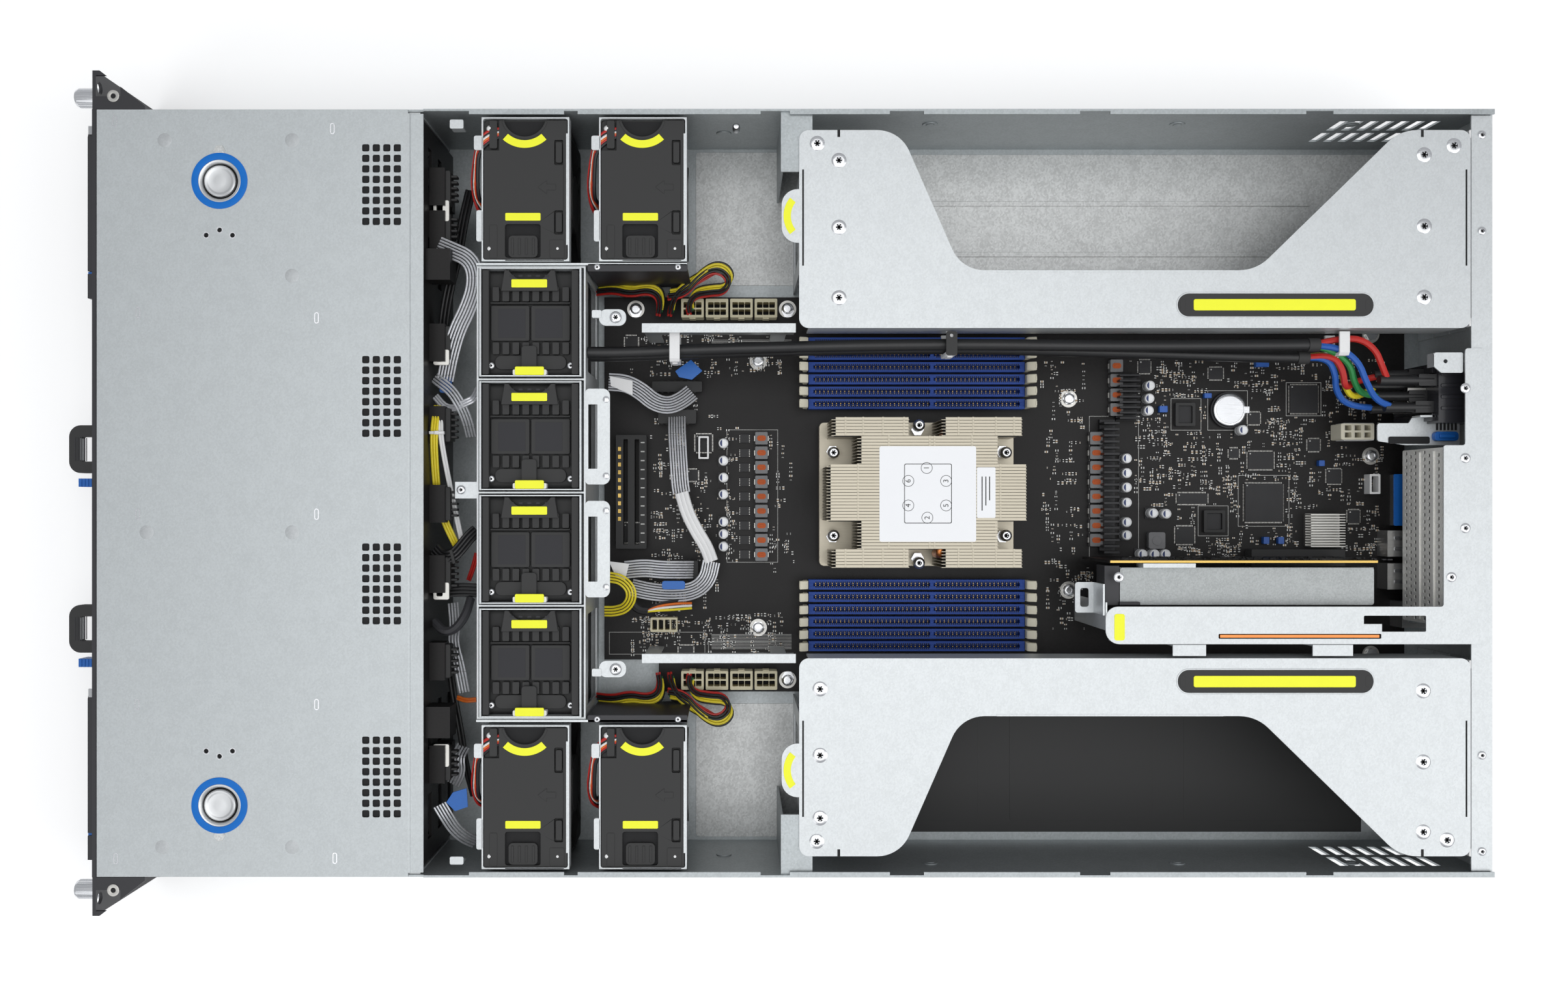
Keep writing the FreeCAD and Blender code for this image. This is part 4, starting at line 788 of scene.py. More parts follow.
@dataclass
class SideFan(FanModule):
    """A large module with its stepped black lid and yellow touch marks."""

    kind: ClassVar[str] = "side"
    depth: float = 50.3
    half: float = 41.3
    lid_low: float = 80.7
    lid_top: float = 83.6
    bore: float = 38.5

    def build(self) -> None:
        """Make the module's pieces."""
        self.frame()
        self.band()
        self.lid()
        self.marks()
        self.pins()
        self.wires()

    def frame(self) -> None:
        """The moulded frame with its bore, motor and struts."""
        mould = Mould()
        outline = rounded(self.middle - 40.2, self.middle + 40.2, 1.5, self.lid_low, 3)
        mould.plate(
            outline, [disc(self.middle, self.wheel_z, self.bore, 48)], self.front + 1.1, self.front + 47.7,
            "X")
        mould.rod(self.at(39.2, 0, self.wheel_z), 17.0, 10.0, "X", 40)
        for angle in (45, 135):
            mould.turned(self.at(48.3, 0, self.wheel_z), (1.4, 3.2, 2 * self.bore + 3), angle, "X")
        made = mould.piece(f"side_frame_{self.number}", Finishes.fan, self.body, 0.3)
        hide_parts(f"side_fan_{self.number}")

    def band(self) -> None:
        """The thin bright sheet round the top, with its tabs."""
        mould = Mould()
        outline = [
            (0, -self.half), (self.depth, -self.half), (self.depth, self.half), (24.6, self.half),
            (14.2, self.half), (0, self.half)]
        inner = rounded(0.9, self.depth - 0.9, -self.half + 0.9, self.half - 0.9, 1.5)
        mould.plate(self.spot(outline), [self.spot(inner)], 75.0, 84.0)
        self.slab(mould, 48.4, 49.6, -32, 32, 79, 84)
        self.slab(mould, 13.4, 47.3, -41.2, -40.3, 79, 84)
        for v0, v1, reach in ((22.4, 30.7, 4.4), (-30.0, -12.0, 3.0)):
            mould.prism(self.spot(rounded(-reach, 0.6, v0, v1, 1.2)), 82.8, 84.0)
        mould.piece(f"side_band_{self.number}", Finishes.zinc, self.body, 0.15)

    def lid(self) -> None:
        """The lid: a floor and a stepped top with notch, pocket and clip slots."""
        notch = arc(24.7, 42.4, 12.2, 346.7, 193.3, 18)
        outline = [(1.2, -40.0), (49.0, -40.0), (49.0, 39.6)] + notch + [
            (9.9, 39.6), (9.9, 22.4), (1.2, 22.4)]
        mould = Mould()
        mould.prism(self.spot(rounded(1.2, 49.0, -40.0, 40.0, 2)), self.lid_low, 81.2)
        pocket = rounded(13.4, 33.7, -39.2, -19.9, 1.5)
        holes = [pocket] + [rounded(41.7, 46.7, v0, v1, 0.8) for v0, v1 in ((14.0, 28.3), (-25.8, -12.1))]
        mould.plate(self.spot(outline), [self.spot(hole) for hole in holes], 81.2, self.lid_top)
        mould.piece(f"side_lid_{self.number}", Finishes.fan, self.body, 0.35)
        # Painted shade: near-black sheets on the floor of the thumb notch and the pocket.
        shade = Mould()
        shade.prism(self.spot(arc(24.7, 42.4, 12.3, 346, 194, 18)), 81.2, 81.3)
        shade.prism(self.spot(pocket), 81.2, 81.25)
        shade.piece(f"side_shade_{self.number}", Finishes.painted_shade, self.body)
        raised = Mould()
        raised.prism(self.spot(rounded(15.3, 32.0, -39.0, -26.4, 2.5)), 81.2, 83.2)
        for u0, u1, v0, v1 in (
                (4.5, 8.9, -39.5, -20.5), (4.5, 8.9, 23.4, 39.4), (39.0, 47.3, -39.4, -29.0),
                (42.5, 46.0, 15.2, 27.0), (42.5, 46.0, -24.6, -13.3)):
            raised.prism(self.spot(rounded(u0, u1, v0, v1, 0.9)), 81.0, 83.9)
        for k in range(4):
            self.slab(raised, 17.0 + 4 * k, 18.2 + 4 * k, -37.5, -28.0, 83.0, 83.6)
        arrow = [
            (32.2, 1.2), (37.4, 5.1), (37.4, 2.9), (42.6, 2.9), (42.6, -0.5), (37.4, -0.5), (37.4, -2.7)]
        raised.prism(self.spot(arrow), self.lid_top - 0.1, self.lid_top + 0.3)
        rim = arc(24.7, 42.4, 13.6, 344, 196, 18) + arc(24.7, 42.4, 12.2, 196, 344, 18)
        raised.prism(self.spot(rim), self.lid_top - 0.1, self.lid_top + 0.35)
        raised.piece(f"side_lid_ribs_{self.number}", Finishes.fan, self.body, 0.25)

    def marks(self) -> None:
        """The yellow bar and the yellow arc beside the thumb notch."""
        mould = Mould()
        top = self.lid_top
        mould.prism(self.spot(rounded(13.6, 33.8, -18.0, -13.6, 0.6)), top - 0.1, top + 0.3)
        bow = arc(24.7, 42.4, 18.7, 228, 312, 20) + arc(24.7, 42.4, 14.3, 312, 228, 20)
        mould.prism(self.spot(bow), top - 0.1, top + 0.25)
        mould.piece(f"side_marks_{self.number}", Finishes.yellow, self.body, 0.1)

    def pins(self) -> None:
        """White rubber pins that hold the fan in its band; their white also stands in for bright highlights
        there, as painted highlight.
        """
        mould = Mould()
        for u, v in ((4.5, 35.0), (4.5, -34.0), (43.5, -34.0)):
            mould.lathe(
                self.at(u, v, 81.0), [(0, 0), (1.9, 0), (1.9, 1.6), (1.2, 2.6), (0.6, 3.0), (0, 3.0)], 16)
        mould.piece(f"side_pins_{self.number}", Finishes.clip_white, self.body, smooth=True)

    def wires(self) -> None:
        """Wires that leave the lid, loop out over the front edge and dive beside it."""
        colours = (
            Finishes.wire_red, Finishes.jacket, Finishes.clip_white, Finishes.wire_orange,
            Finishes.wire_red, Finishes.jacket)
        for i, finish in enumerate(colours):
            mould = Mould()
            s = 1.25 * i
            path = [
                self.at(14.0, 35.0 - s * 0.5, 81.8), self.at(5.0, 34.5 - s, 82.4),
                self.at(-2.0, 29.0 - s * 1.1, 81.6), self.at(-5.2 + s * 0.3, 18.0 - s, 78.0),
                self.at(-7.4 + s * 0.55, 4.0 - s, 73.0), self.at(-6.0 + s * 0.6, -7.0 + s * 0.4, 66.0),
                self.at(-2.6 + s * 0.1, -11.0 + s, 58.0)]
            mould.tube(smoothed(path), 1.15, 8)
            mould.piece(f"side_wire_{self.number}_{i}", finish, self.body, smooth=True)


def smoothed(points: list[Point], rounds: int = 2) -> list[Point]:
    """The same route with its corners cut, so that it bends softly.

    Args:
        points: the route.
        rounds: how often its corners are cut.

    Returns:
        The softer route.
    """
    path = [Vector(p) for p in points]
    for _ in range(rounds):
        cut = [path[0]]
        for a, b in zip(path, path[1:]):
            cut += [a.lerp(b, 0.25), a.lerp(b, 0.75)]
        path = cut + [path[-1]]
    return [tuple(p) for p in path]


@dataclass
class CentreFan(FanModule):
    """A deep module of the middle row with its wing grip and pull tab."""

    kind: ClassVar[str] = "centre"
    base: float = 76.6
    half: float = 31.3

    def build(self) -> None:
        """Make the module's pieces."""
        self.frame()
        self.top()
        self.rims()
        self.marks()

    def frame(self) -> None:
        """The moulded frame with its bore, motor and struts."""
        mould = Mould()
        outline = rounded(self.middle - 30.3, self.middle + 30.3, 2.6, self.base, 3)
        mould.plate(
            outline, [disc(self.middle, self.wheel_z, 28.6, 40)], self.front + 2, self.front + 56.5, "X")
        mould.rod(self.at(42.0, 0, self.wheel_z), 13.0, 16.0, "X", 32)
        for angle in (45, 135):
            mould.turned(self.at(57.2, 0, self.wheel_z), (1.5, 3.2, 59), angle, "X")
        made = mould.piece(f"centre_frame_{self.number}", Finishes.fan, self.body, 0.3)
        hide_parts(f"centre_fan_{self.number}")

    def top(self) -> None:
        """Rails, wing grip, rib bands, tongue and rounded foot on top of the frame."""
        base = self.base
        mould = Mould()
        for u0, u1 in ((2.3, 6.0), (53.5, 57.5)):
            mould.prism(self.spot(rounded(u0, u1, -30.0, 30.0, 0.8)), base, 82.6)
        scoop = arc(29.4, 37.8, 14.5, 327, 213, 14)
        wing = [(13.0, 18.0), (45.8, 18.0), (43.8, 30.0)] + scoop + [(15.0, 30.0)]
        mould.prism(self.spot(wing), base, 82.4)
        mould.prism(self.spot(rounded(6.4, 52.6, 10.9, 11.7, 0.3)), base, 80.6)
        for k in range(8):
            u = 7.6 + 5.75 * k
            mould.prism(self.spot(rounded(u, u + 4.0, 12.2, 20.6, 0.7)), base, 80.2)
            mould.prism(self.spot(rounded(u, u + 4.0, -18.2, -11.2, 0.7)), base, 80.0)
        mould.prism(self.spot(rounded(6.8, 28.9, -10.4, 9.9, 1.0)), base, 79.4)
        mould.prism(self.spot(rounded(29.9, 52.2, -10.4, 9.9, 1.0)), base, 79.4)
        mould.prism(self.spot(rounded(24.6, 33.3, -27.0, -13.4, 1.8)), base, 81.8)
        mould.prism(self.spot(rounded(9.0, 50.0, -26.8, -18.8, 3.6)), base, 79.0)
        mould.piece(f"centre_top_{self.number}", Finishes.fan, self.body, 0.3)
        grooves = Mould()
        for k in range(5):
            self.slab(grooves, 18.2 + 5 * k, 20.4 + 5 * k, 26.0, 27.0, 82.3, 82.6)
        self.slab(grooves, 11.0, 26.5, -8.6, 8.0, 79.3, 79.55)
        self.slab(grooves, 32.3, 47.8, -8.6, 8.0, 79.3, 79.55)
        grooves.piece(f"centre_grooves_{self.number}", Finishes.wheel, self.body)

    def rims(self) -> None:
        """Double bright rims of the carrier and the two screws that hold it."""
        mould = Mould()
        for u in (0.8, 58.2):
            self.slab(mould, u, u + 1.0, -self.half, self.half, 46.0, 84.0)
        for v in (30.5, -31.2):
            self.slab(mould, 1.8, 58.2, v, v + 0.7, 60.0, 83.4)
        mould.piece(f"centre_rims_{self.number}", Finishes.zinc, self.body, 0.12)
        screws = Screws(f"centre_screws_{self.number}", self.body)
        for u in (6.9, 52.7):
            screws.add(self.front + u, self.middle - 24.7, 79.0, 2.1, 1.6)
        screws.done()

    def marks(self) -> None:
        """The yellow bar on the grip and the yellow pull tab with its pale backing."""
        mould = Mould()
        mould.prism(self.spot(rounded(19.0, 39.5, 19.9, 24.6, 0.6)), 82.3, 82.7)
        mould.prism(self.spot(rounded(21.2, 37.8, -30.4, -25.6, 0.8)), 83.0, 83.9)
        mould.piece(f"centre_marks_{self.number}", Finishes.yellow, self.body, 0.15)
        back = Mould()
        back.prism(self.spot(rounded(19.8, 39.2, -30.4, -27.2, 0.8)), self.base, 83.0)
        back.piece(f"centre_tab_{self.number}", Finishes.clip_white, self.body, 0.15)


@dataclass
class FrontCover:
    """The lid over the drive bays with its vents, embossings and release buttons."""

    front: float = -397.6
    fold: float = -219.8
    lip: float = -211.3
    reach: float = 219.0
    top: float = 87.1
    thickness: float = 1.0
    vent_x: float = -235.0
    vent_rows: tuple[float, ...] = (176.1, 55.2, -51.8, -162.0)
    button_x: float = -327.4
    button_y: float = 178.2

    def build(self) -> None:
        """Make the sheet, its embossings and both buttons."""
        self.sheet()
        self.embossings()
        for side, name in ((1, "left"), (-1, "right")):
            self.cup(side)
            self.button(side, name)

    def sheet(self) -> None:
        """The top sheet with vents, small holes and a step down to the rear lip."""
        holes = []
        for middle in self.vent_rows:
            for column in range(4):
                for row in range(8):
                    x = self.vent_x + 6.0 * (column - 1.5)
                    y = middle + 6.0 * (row - 3.5)
                    holes.append(centred(x, y, 4.1, 4.1, 0.9, 3))
        for side in (1, -1):
            y = side * self.button_y
            holes.append(disc(self.button_x, y, 12.2, 47))
            for dx, dy in ((-7.57, -31.03), (0.11, -28.06), (7.43, -31.09)):
                holes.append(disc(self.button_x + dx, y + side * dy, 1.4, 13))
        outline = square(self.front, self.fold, -self.reach, self.reach)
        mould = Mould()
        mould.plate(outline, holes, self.top - self.thickness, self.top)
        made = mould.piece("cover_sheet", Finishes.cover, "cover", 0.18)
        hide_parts("front_cover")
        low = self.top - self.thickness
        step = Mould()
        step.prism([
            (self.fold - 0.2, self.top), (self.fold + 0.5, self.top - 0.1), (self.fold + 1.5, low),
            (self.lip, low), (self.lip, low - 1.0), (self.fold + 1.0, low - 1.0), (self.fold - 0.2, low)],
            -self.reach + 2.2, self.reach - 2.2, "Y")
        step.piece("cover_lip", Finishes.cover, "cover", 0.2)
        # Painted shade: near-black sheets under the vents and under the small holes beside each button.
        liner = Mould()
        for middle in self.vent_rows:
            liner.block(
                self.vent_x - 12.5, self.vent_x + 12.5, middle - 25, middle + 25, low - 0.5, low - 0.3)
        for side in (1, -1):
            liner.block(
                self.button_x - 10, self.button_x + 10, side * (self.button_y - 34),
                side * (self.button_y - 26), low - 0.5, low - 0.3)
        liner.piece("cover_shade", Finishes.painted_shade, "cover")

    def embossings(self) -> None:
        """Lanced marks, spot-weld discs and hexagonal studs."""
        edges = Mould()
        for x, y in (
                (-387.1, 212.3), (-373.9, 103.2), (-374.0, -12.0), (-374.4, -120.6), (-386.6, -208.5),
                (-263.0, 208.0), (-272.0, 100.0), (-272.0, -12.0), (-272.0, -120.6), (-261.6, -208.3)):
            ring = centred(x, y, 2.6, 6.4, 1.3)
            edges.plate(ring, [centred(x, y, 1.6, 5.4, 0.8)], self.top - 0.05, self.top + 0.12)
        for side in (1, -1):
            for dx, dy in ((-7.6, -31.0), (0.0, -28.0), (7.4, -31.0)):
                x, y = self.button_x + dx, side * (self.button_y + dy)
                edges.plate(disc(x, y, 1.9, 20), [disc(x, y, 1.4, 20)], self.top - 0.05, self.top + 0.12)
        edges.piece("cover_lances", Finishes.bright, "cover")
        discs = Mould()
        for x, y in (
                (-358.7, 201.4), (-286.0, 201.4), (-286.0, 124.0), (-369.0, -22.4), (-286.0, -22.4),
                (-360.0, -202.0), (-286.0, -202.0)):
            discs.lathe(
                (x, y, self.top - 0.1), [(0, 0), (4.0, 0), (4.0, 0.12), (3.6, 0.2), (0, 0.16)], 28)
        discs.piece("cover_discs", Finishes.weld_spot, "cover", smooth=True)
        studs = Mould()
        for side in (1, -1):
            studs.lathe(
                (self.button_x, side * (self.button_y + 17.2), self.top - 0.1),
                [(0, 0), (3.6, 0), (3.4, 0.3), (0, 0.3)], 6)
        studs.piece("cover_studs", Finishes.zinc_floor, "cover")

    def cup(self, side: int) -> None:
        """The blue ring, the bright liner and the well round a button, whose near-black floor is painted
        shade.

        Args:
            side: 1 for the left side and -1 for the right side.
        """
        y = side * self.button_y
        tag = "left" if side > 0 else "right"
        blue = Mould()
        blue.lathe(
            (self.button_x, y, self.top - 0.05),
            [(12.2, 0), (16.0, 0), (16.0, 0.35), (15.8, 0.42), (12.4, 0.42), (12.2, 0.35)], 72, loop=True)
        blue.piece(f"button_ring_{tag}", Finishes.ring_blue, "cover", smooth=True)
        liner = Mould()
        liner.lathe(
            (self.button_x, y, self.top - 4.0),
            [(9.9, 0), (12.2, 0), (12.2, 4.1), (11.9, 4.3), (11.2, 4.2), (10.4, 3.6), (9.9, 2.4)], 64,
            loop=True)
        liner.piece(f"button_liner_{tag}", Finishes.button, "cover", smooth=True)
        # Painted shade: a near-black disc at the bottom of the well.
        well = Mould()
        well.rod((self.button_x, y, self.top - 4.9), 10.2, 0.4, "Z", 40)
        well.piece(f"button_well_{tag}", Finishes.painted_shade, "cover")

    def button(self, side: int, name: str) -> None:
        """A domed steel push button with a dished top.

        Args:
            side: 1 for the left side and -1 for the right side.
            name: the side's name.
        """
        mould = Mould()
        z = 84.4
        mould.lathe((self.button_x, side * self.button_y, z), [
            (0, 0), (9.0, 0), (9.1, 1.4), (8.9, 2.3), (8.3, 2.8), (7.6, 2.8), (7.0, 2.4), (6.4, 2.25),
            (3.0, 2.4), (0, 2.45)], 64)
        made = mould.piece(f"push_button_{name}", Finishes.button, f"button_{name}", smooth=True)
        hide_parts(f"cover_button_{name}")


@dataclass
class CageTrim:
    """Screws, yellow marks, a collar and small notches on a card cage's top plate."""

    side: int
    name: str
    screws: tuple[Flat, ...]
    top: float = CAGE_TOP

    def build(self) -> None:
        """Make the trim of one cage."""
        body = f"cage_{self.name}"
        screws = Screws(f"cage_screws_{self.name}", body)
        for x, y in self.screws:
            screws.add(x, y, self.top - 0.3, 4.3, 0.9)
        screws.done()
        self.surround(body)
        self.notches(body)
        bar = Mould()
        y0, y1 = sorted((self.side * 104.4, self.side * 110.9))
        bar.prism(rounded(228.7, 321.3, y0, y1, 1.2), self.top - 0.1, self.top + 0.35)
        bar.piece(f"handle_mark_{self.name}", Finishes.yellow, f"handle_{self.name}", 0.15)
        bow = Mould()
        middle = self.side * 158.4
        outer = arc(11.0, middle, 16.6, 141, 219, 16)
        bow.prism(outer + arc(11.0, middle, 12.4, 219, 141, 16), self.top - 0.05, self.top + 0.25)
        bow.piece(f"nose_mark_{self.name}", Finishes.yellow, body, 0.1)

    def surround(self, body: str) -> None:
        """A sloping bright collar round the handle's recess.

        Args:
            body: the body that the collar rides on.
        """
        y0, y1 = sorted((self.side * 100.2, self.side * 114.9))
        mould = Mould()
        outer = rounded(218.8, 332.3, y0, y1, 7.2, 8)
        inner = rounded(219.7, 331.4, y0 + 0.9, y1 - 0.9, 6.3, 8)
        mould.plate(outer, [inner], self.top - 0.4, self.top + 0.3)
        mould.piece(f"handle_collar_{self.name}", Finishes.zinc, body, 0.3)
        grip = Mould()
        for k in range(2):
            x = 222.6 + 106.0 * k
            grip.prism(rounded(x - 1.6, x + 1.6, y0 + 4, y1 - 4, 1.2), self.top - 0.4, self.top + 0.1)
        grip.piece(f"handle_ends_{self.name}", Finishes.handle, f"handle_{self.name}", 0.2)

    def notches(self, body: str) -> None:
        """Slots and rim notches in the plate, filled with near-black painted shade, and the folded edge of
        the window.

        Args:
            body: the body that the pieces ride on.
        """
        # Painted shade: near-black blocks in the slots and the rim notches.
        mould = Mould()
        edge = self.side * 207.5
        for x in (26.0, 359.4):
            mould.block(
                x - 0.8, x + 0.8, edge - self.side * 4.0, edge + self.side * 0.1, self.top - 0.5,
                self.top + 0.06)
        for x in (5.6, 384.6):
            mould.block(
                x - 0.5, x + 0.5, self.side * 130, self.side * 185, self.top - 0.4, self.top + 0.05)
        mould.piece(f"cage_notches_{self.name}", Finishes.painted_shade, body)
        fold = Mould()
        y0, y1 = sorted((self.side * 126.2, self.side * 127.6))
        fold.prism(rounded(116.0, 246.0, y0, y1, 0.5), self.top - 9, self.top + 0.12)
        fold.piece(f"cage_fold_{self.name}", Finishes.zinc, body, 0.25)


@dataclass
class Heatsink:
    """The processor's heatsink: folded fins, copper ends, screws and a plain label."""

    base: float = 15.6
    top: float = 64.0
    pitch: float = 1.846
    count: int = 48
    sheet: float = 0.34
    screws: tuple[Flat, ...] = (
        (78.9, 42.0), (26.8, 25.3), (131.9, 25.3), (26.8, -25.3), (131.9, -25.3), (78.9, -42.0))

    def build(self) -> None:
        """Make the sink's pieces."""
        self.base_plate()
        self.fins()
        self.combs()
        self.label()
        screws = Screws("sink_screws")
        for x, y in self.screws:
            screws.add(x, y, 31.0, 3.6, 3.4)
        screws.done()

    def base_plate(self) -> None:
        """The base, the foot on the processor and the screws' sleeves."""
        mould = Mould()
        mould.prism(rounded(18.5, 138.5, -44.3, 44.3, 3), self.base, self.base + 7)
        mould.block(40.5, 116.5, -28, 28, BOARD_TOP, self.base)
        for x, y in self.screws:
            mould.rod((x, y, self.base + 7), 3.0, 9.0)
        made = mould.piece("sink_base", Finishes.fins, bevel=0.4)
        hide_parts("heatsink")

    def spans(self, y: float) -> list[Flat]:
        """Where the fins at a distance from the middle start and end.

        Args:
            y: the fin's distance from the middle.

        Returns:
            The two ends of each part of the fin.
        """
        off = abs(y)
        if off < 17.0:
            return [(20.4, 138.0)]
        if off < 33.5:
            return [(38.5, 121.3)]
        return [(23.4, 69.0), (88.0, 135.4)]

    def fins(self) -> None:
        """Upright fins with a folded flange on top, so that little gap shows between."""
        mould = Mould()
        tops = Mould()
        for i in range(self.count):
            y = self.pitch * (i - (self.count - 1) / 2)
            for x0, x1 in self.spans(y):
                mould.block(
                    x0, x1, y - self.sheet / 2, y + self.sheet / 2, self.base + 6.8, self.top - 0.3)
                inset = 2.4
                tops.block(
                    x0 + inset, x1 - 0.4, y - self.sheet / 2, y + self.pitch * 0.80, self.top - 0.55,
                    self.top - 0.1)
                for x in (x0 + 18, x0 + 42, x1 - 38, x1 - 16):
                    if x0 < x < x1 - 3:
                        tops.block(
                            x, x + 1.1, y + 0.1, y + self.pitch * 0.9, self.top - 0.2, self.top + 0.1)
        mould.piece("sink_fins", Finishes.fins)
        tops.piece("sink_fin_tops", Finishes.fins, bevel=0.08)

    def combs(self) -> None:
        """Painted shade in the gaps under the fins' ends, and the copper ends of the heat pipes."""
        # Painted shade: near-black blocks between the fins, below their folded tops.
        dark = Mould()
        for x0, x1, y0, y1 in (
                (20.4, 138.0, -17, 17), (38.5, 121.3, -33.5, 33.5), (23.4, 69.0, 33, 44),
                (88.0, 135.4, 33, 44), (23.4, 69.0, -44, -33), (88.0, 135.4, -44, -33)):
            dark.block(x0 + 1.5, x1 - 1.5, y0 + 0.6, y1 - 0.6, self.top - 6, self.top - 2.2)
        dark.piece("sink_shade", Finishes.painted_shade)
        pipes = Mould()
        for x, y in ((44.0, -34.4), (88.0, -34.4), (59.5, 34.5), (92.5, 34.5), (43.5, 34.5)):
            side = 1 if y > 0 else -1
            pipes.tube(smoothed([
                (x, y - side * 6, self.top - 7), (x, y, self.top - 5), (x, y + side * 1.4, self.top - 10),
                (x, y + side * 1.4, self.top - 24)]), 2.6, 14)
        pipes.piece("heat_pipes", Finishes.copper, smooth=True)

    def label(self) -> None:
        """A white label with the screws' order as plain numbers, and a small blank one."""
        mould = Mould()
        mould.prism(rounded(51.5, 108.2, -28.3, 27.8, 1.2), self.top - 0.1, self.top + 0.14)
        mould.prism(rounded(108.7, 119.6, -14.3, 15.4, 0.8), self.top - 0.1, self.top + 0.1)
        mould.piece("sink_label", Finishes.paper)
        ink = Mould()
        z = self.top + 0.14
        inner = rounded(66.4, 93.6, -17.1, 17.1, 0.8)
        ink.plate(rounded(66.0, 94.0, -17.5, 17.5, 1.0), [inner], z, z + 0.03)
        for digit, px, py in (
                ("1", 79.2, 15.0), ("6", 68.4, 7.4), ("3", 90.6, 7.4), ("4", 68.4, -7.0),
                ("5", 90.6, -7.0), ("2", 79.6, -14.2)):
            ring = disc(px, py, 3.4, 28)
            ink.plate(ring, [disc(px, py, 3.1, 28)], z, z + 0.03)
            ink.text(digit, px, py, z, 4.4, 90)
        for k in range(3):
            ink.block(111.4 + 2.2 * k, 112.0 + 2.2 * k, -10 + 3 * k, 10, z - 0.03, z)
        ink.piece("sink_numbers", Finishes.ink)


@dataclass
class Memory:
    """Twelve memory sockets with contact rows, and their latches."""

    first: float = 55.9
    pitch: float = 7.62
    rows: int = 6
    start: float = 12.2
    end: float = 145.9
    low: float = BOARD_TOP
    top: float = 19.6

    def places(self) -> list[float]:
        """The middle of every socket."""
        upper = [self.first + self.pitch * i for i in range(self.rows)]
        return upper + [-y for y in upper]

    def build(self) -> None:
        """Make the sockets, their contacts and the latches."""
        sockets, contacts, pins = Mould(), Mould(), Mould()
        for y in self.places():
            walls = ((y - 3.1, y - 0.95), (y + 0.95, y + 3.1))
            for y0, y1 in walls:
                sockets.block(self.start, self.end, y0, y1, self.low, self.top)
            sockets.block(self.start, self.end, y - 1.0, y + 1.0, self.low, self.low + 2.5)
            for x0, x1 in ((self.start, self.start + 3), (self.end - 3, self.end), (87.4, 89.6)):
                sockets.block(x0, x1, y - 1.0, y + 1.0, self.low + 2.4, self.top)
            # Painted shade: near-black cells along the contact rows' openings.
            for k in range(98):
                x = self.start + 4.2 + 1.29 * k
                if 86.6 < x < 90.2:
                    continue
                for side in (1, -1):
                    contacts.block(
                        x, x + 0.72, y + side * 1.0, y + side * 1.9, self.top - 0.2, self.top + 0.05)
            for k in range(49):
                x = self.start + 4.4 + 2.58 * k
                pins.block(x, x + 0.5, y - 0.9, y - 0.35, self.top - 5.6, self.top - 4.6)
                pins.block(x, x + 0.5, y + 0.35, y + 0.9, self.top - 5.6, self.top - 4.6)
        made = sockets.piece("memory_blocks", Finishes.socket_blue, bevel=0.15)
        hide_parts("memory_sockets")
        contacts.piece("memory_cells", Finishes.painted_shade)
        pins.piece("memory_pins", Finishes.gold)
        self.latches()

    def latches(self) -> None:
        """Cream latches with a hooked head, one at each end of every socket."""
        for name, x, direction in (("front", 11.7, -1), ("rear", 146.4, 1)):
            mould = Mould()
            foot = self.low + 0.2
            profile = [
                (0, foot), (0, foot + 13.6), (direction * 1.2, foot + 15.2),
                (direction * 5.3, foot + 16.8), (direction * 5.6, foot + 13.8),
                (direction * 3.2, foot + 10), (direction * 2.9, foot + 2)]
            for y in self.places():
                outline = [(x + u, z) for u, z in profile]
                mould.prism(outline, y - 2.6, y + 2.6, "Y")
                mould.block(
                    x + direction * 4.6, x + direction * 5.5, y - 1.5, y + 1.5, foot + 15.8, foot + 16.9)
            made = mould.piece(f"latch_row_{name}", Finishes.cream, f"latches_{name}", 0.4)
            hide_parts(f"memory_latches_{name}")


@dataclass
class BoardField:
    """A region of the board strewn with small parts in rows, as a machine sets them."""

    x0: float
    x1: float
    y0: float
    y1: float
    count: int
    keep_off: tuple[tuple[float, float, float, float], ...] = ()

    def places(self, chance: random.Random) -> list[tuple[float, float, bool]]:
        """Places and directions of the small parts, clear of the larger ones.

        Args:
            chance: the seeded source of numbers.

        Returns:
            The middle of every part, and whether it lies along X.
        """
        found = []
        while len(found) < self.count:
            x = round(chance.uniform(self.x0, self.x1), 1)
            y = round(chance.uniform(self.y0, self.y1), 1)
            along = chance.random() < 0.5
            step = chance.choice((1.7, 2.1, 2.6))
            for k in range(chance.choice((1, 2, 3, 5))):
                px, py = (x, y + k * step) if along else (x + k * step, y)
                if any(a - 1 < px < b + 1 and c - 1 < py < d + 1 for a, b, c, d in self.keep_off):
                    continue
                if px < self.x1 and py < self.y1:
                    found.append((px, py, along))
        return found


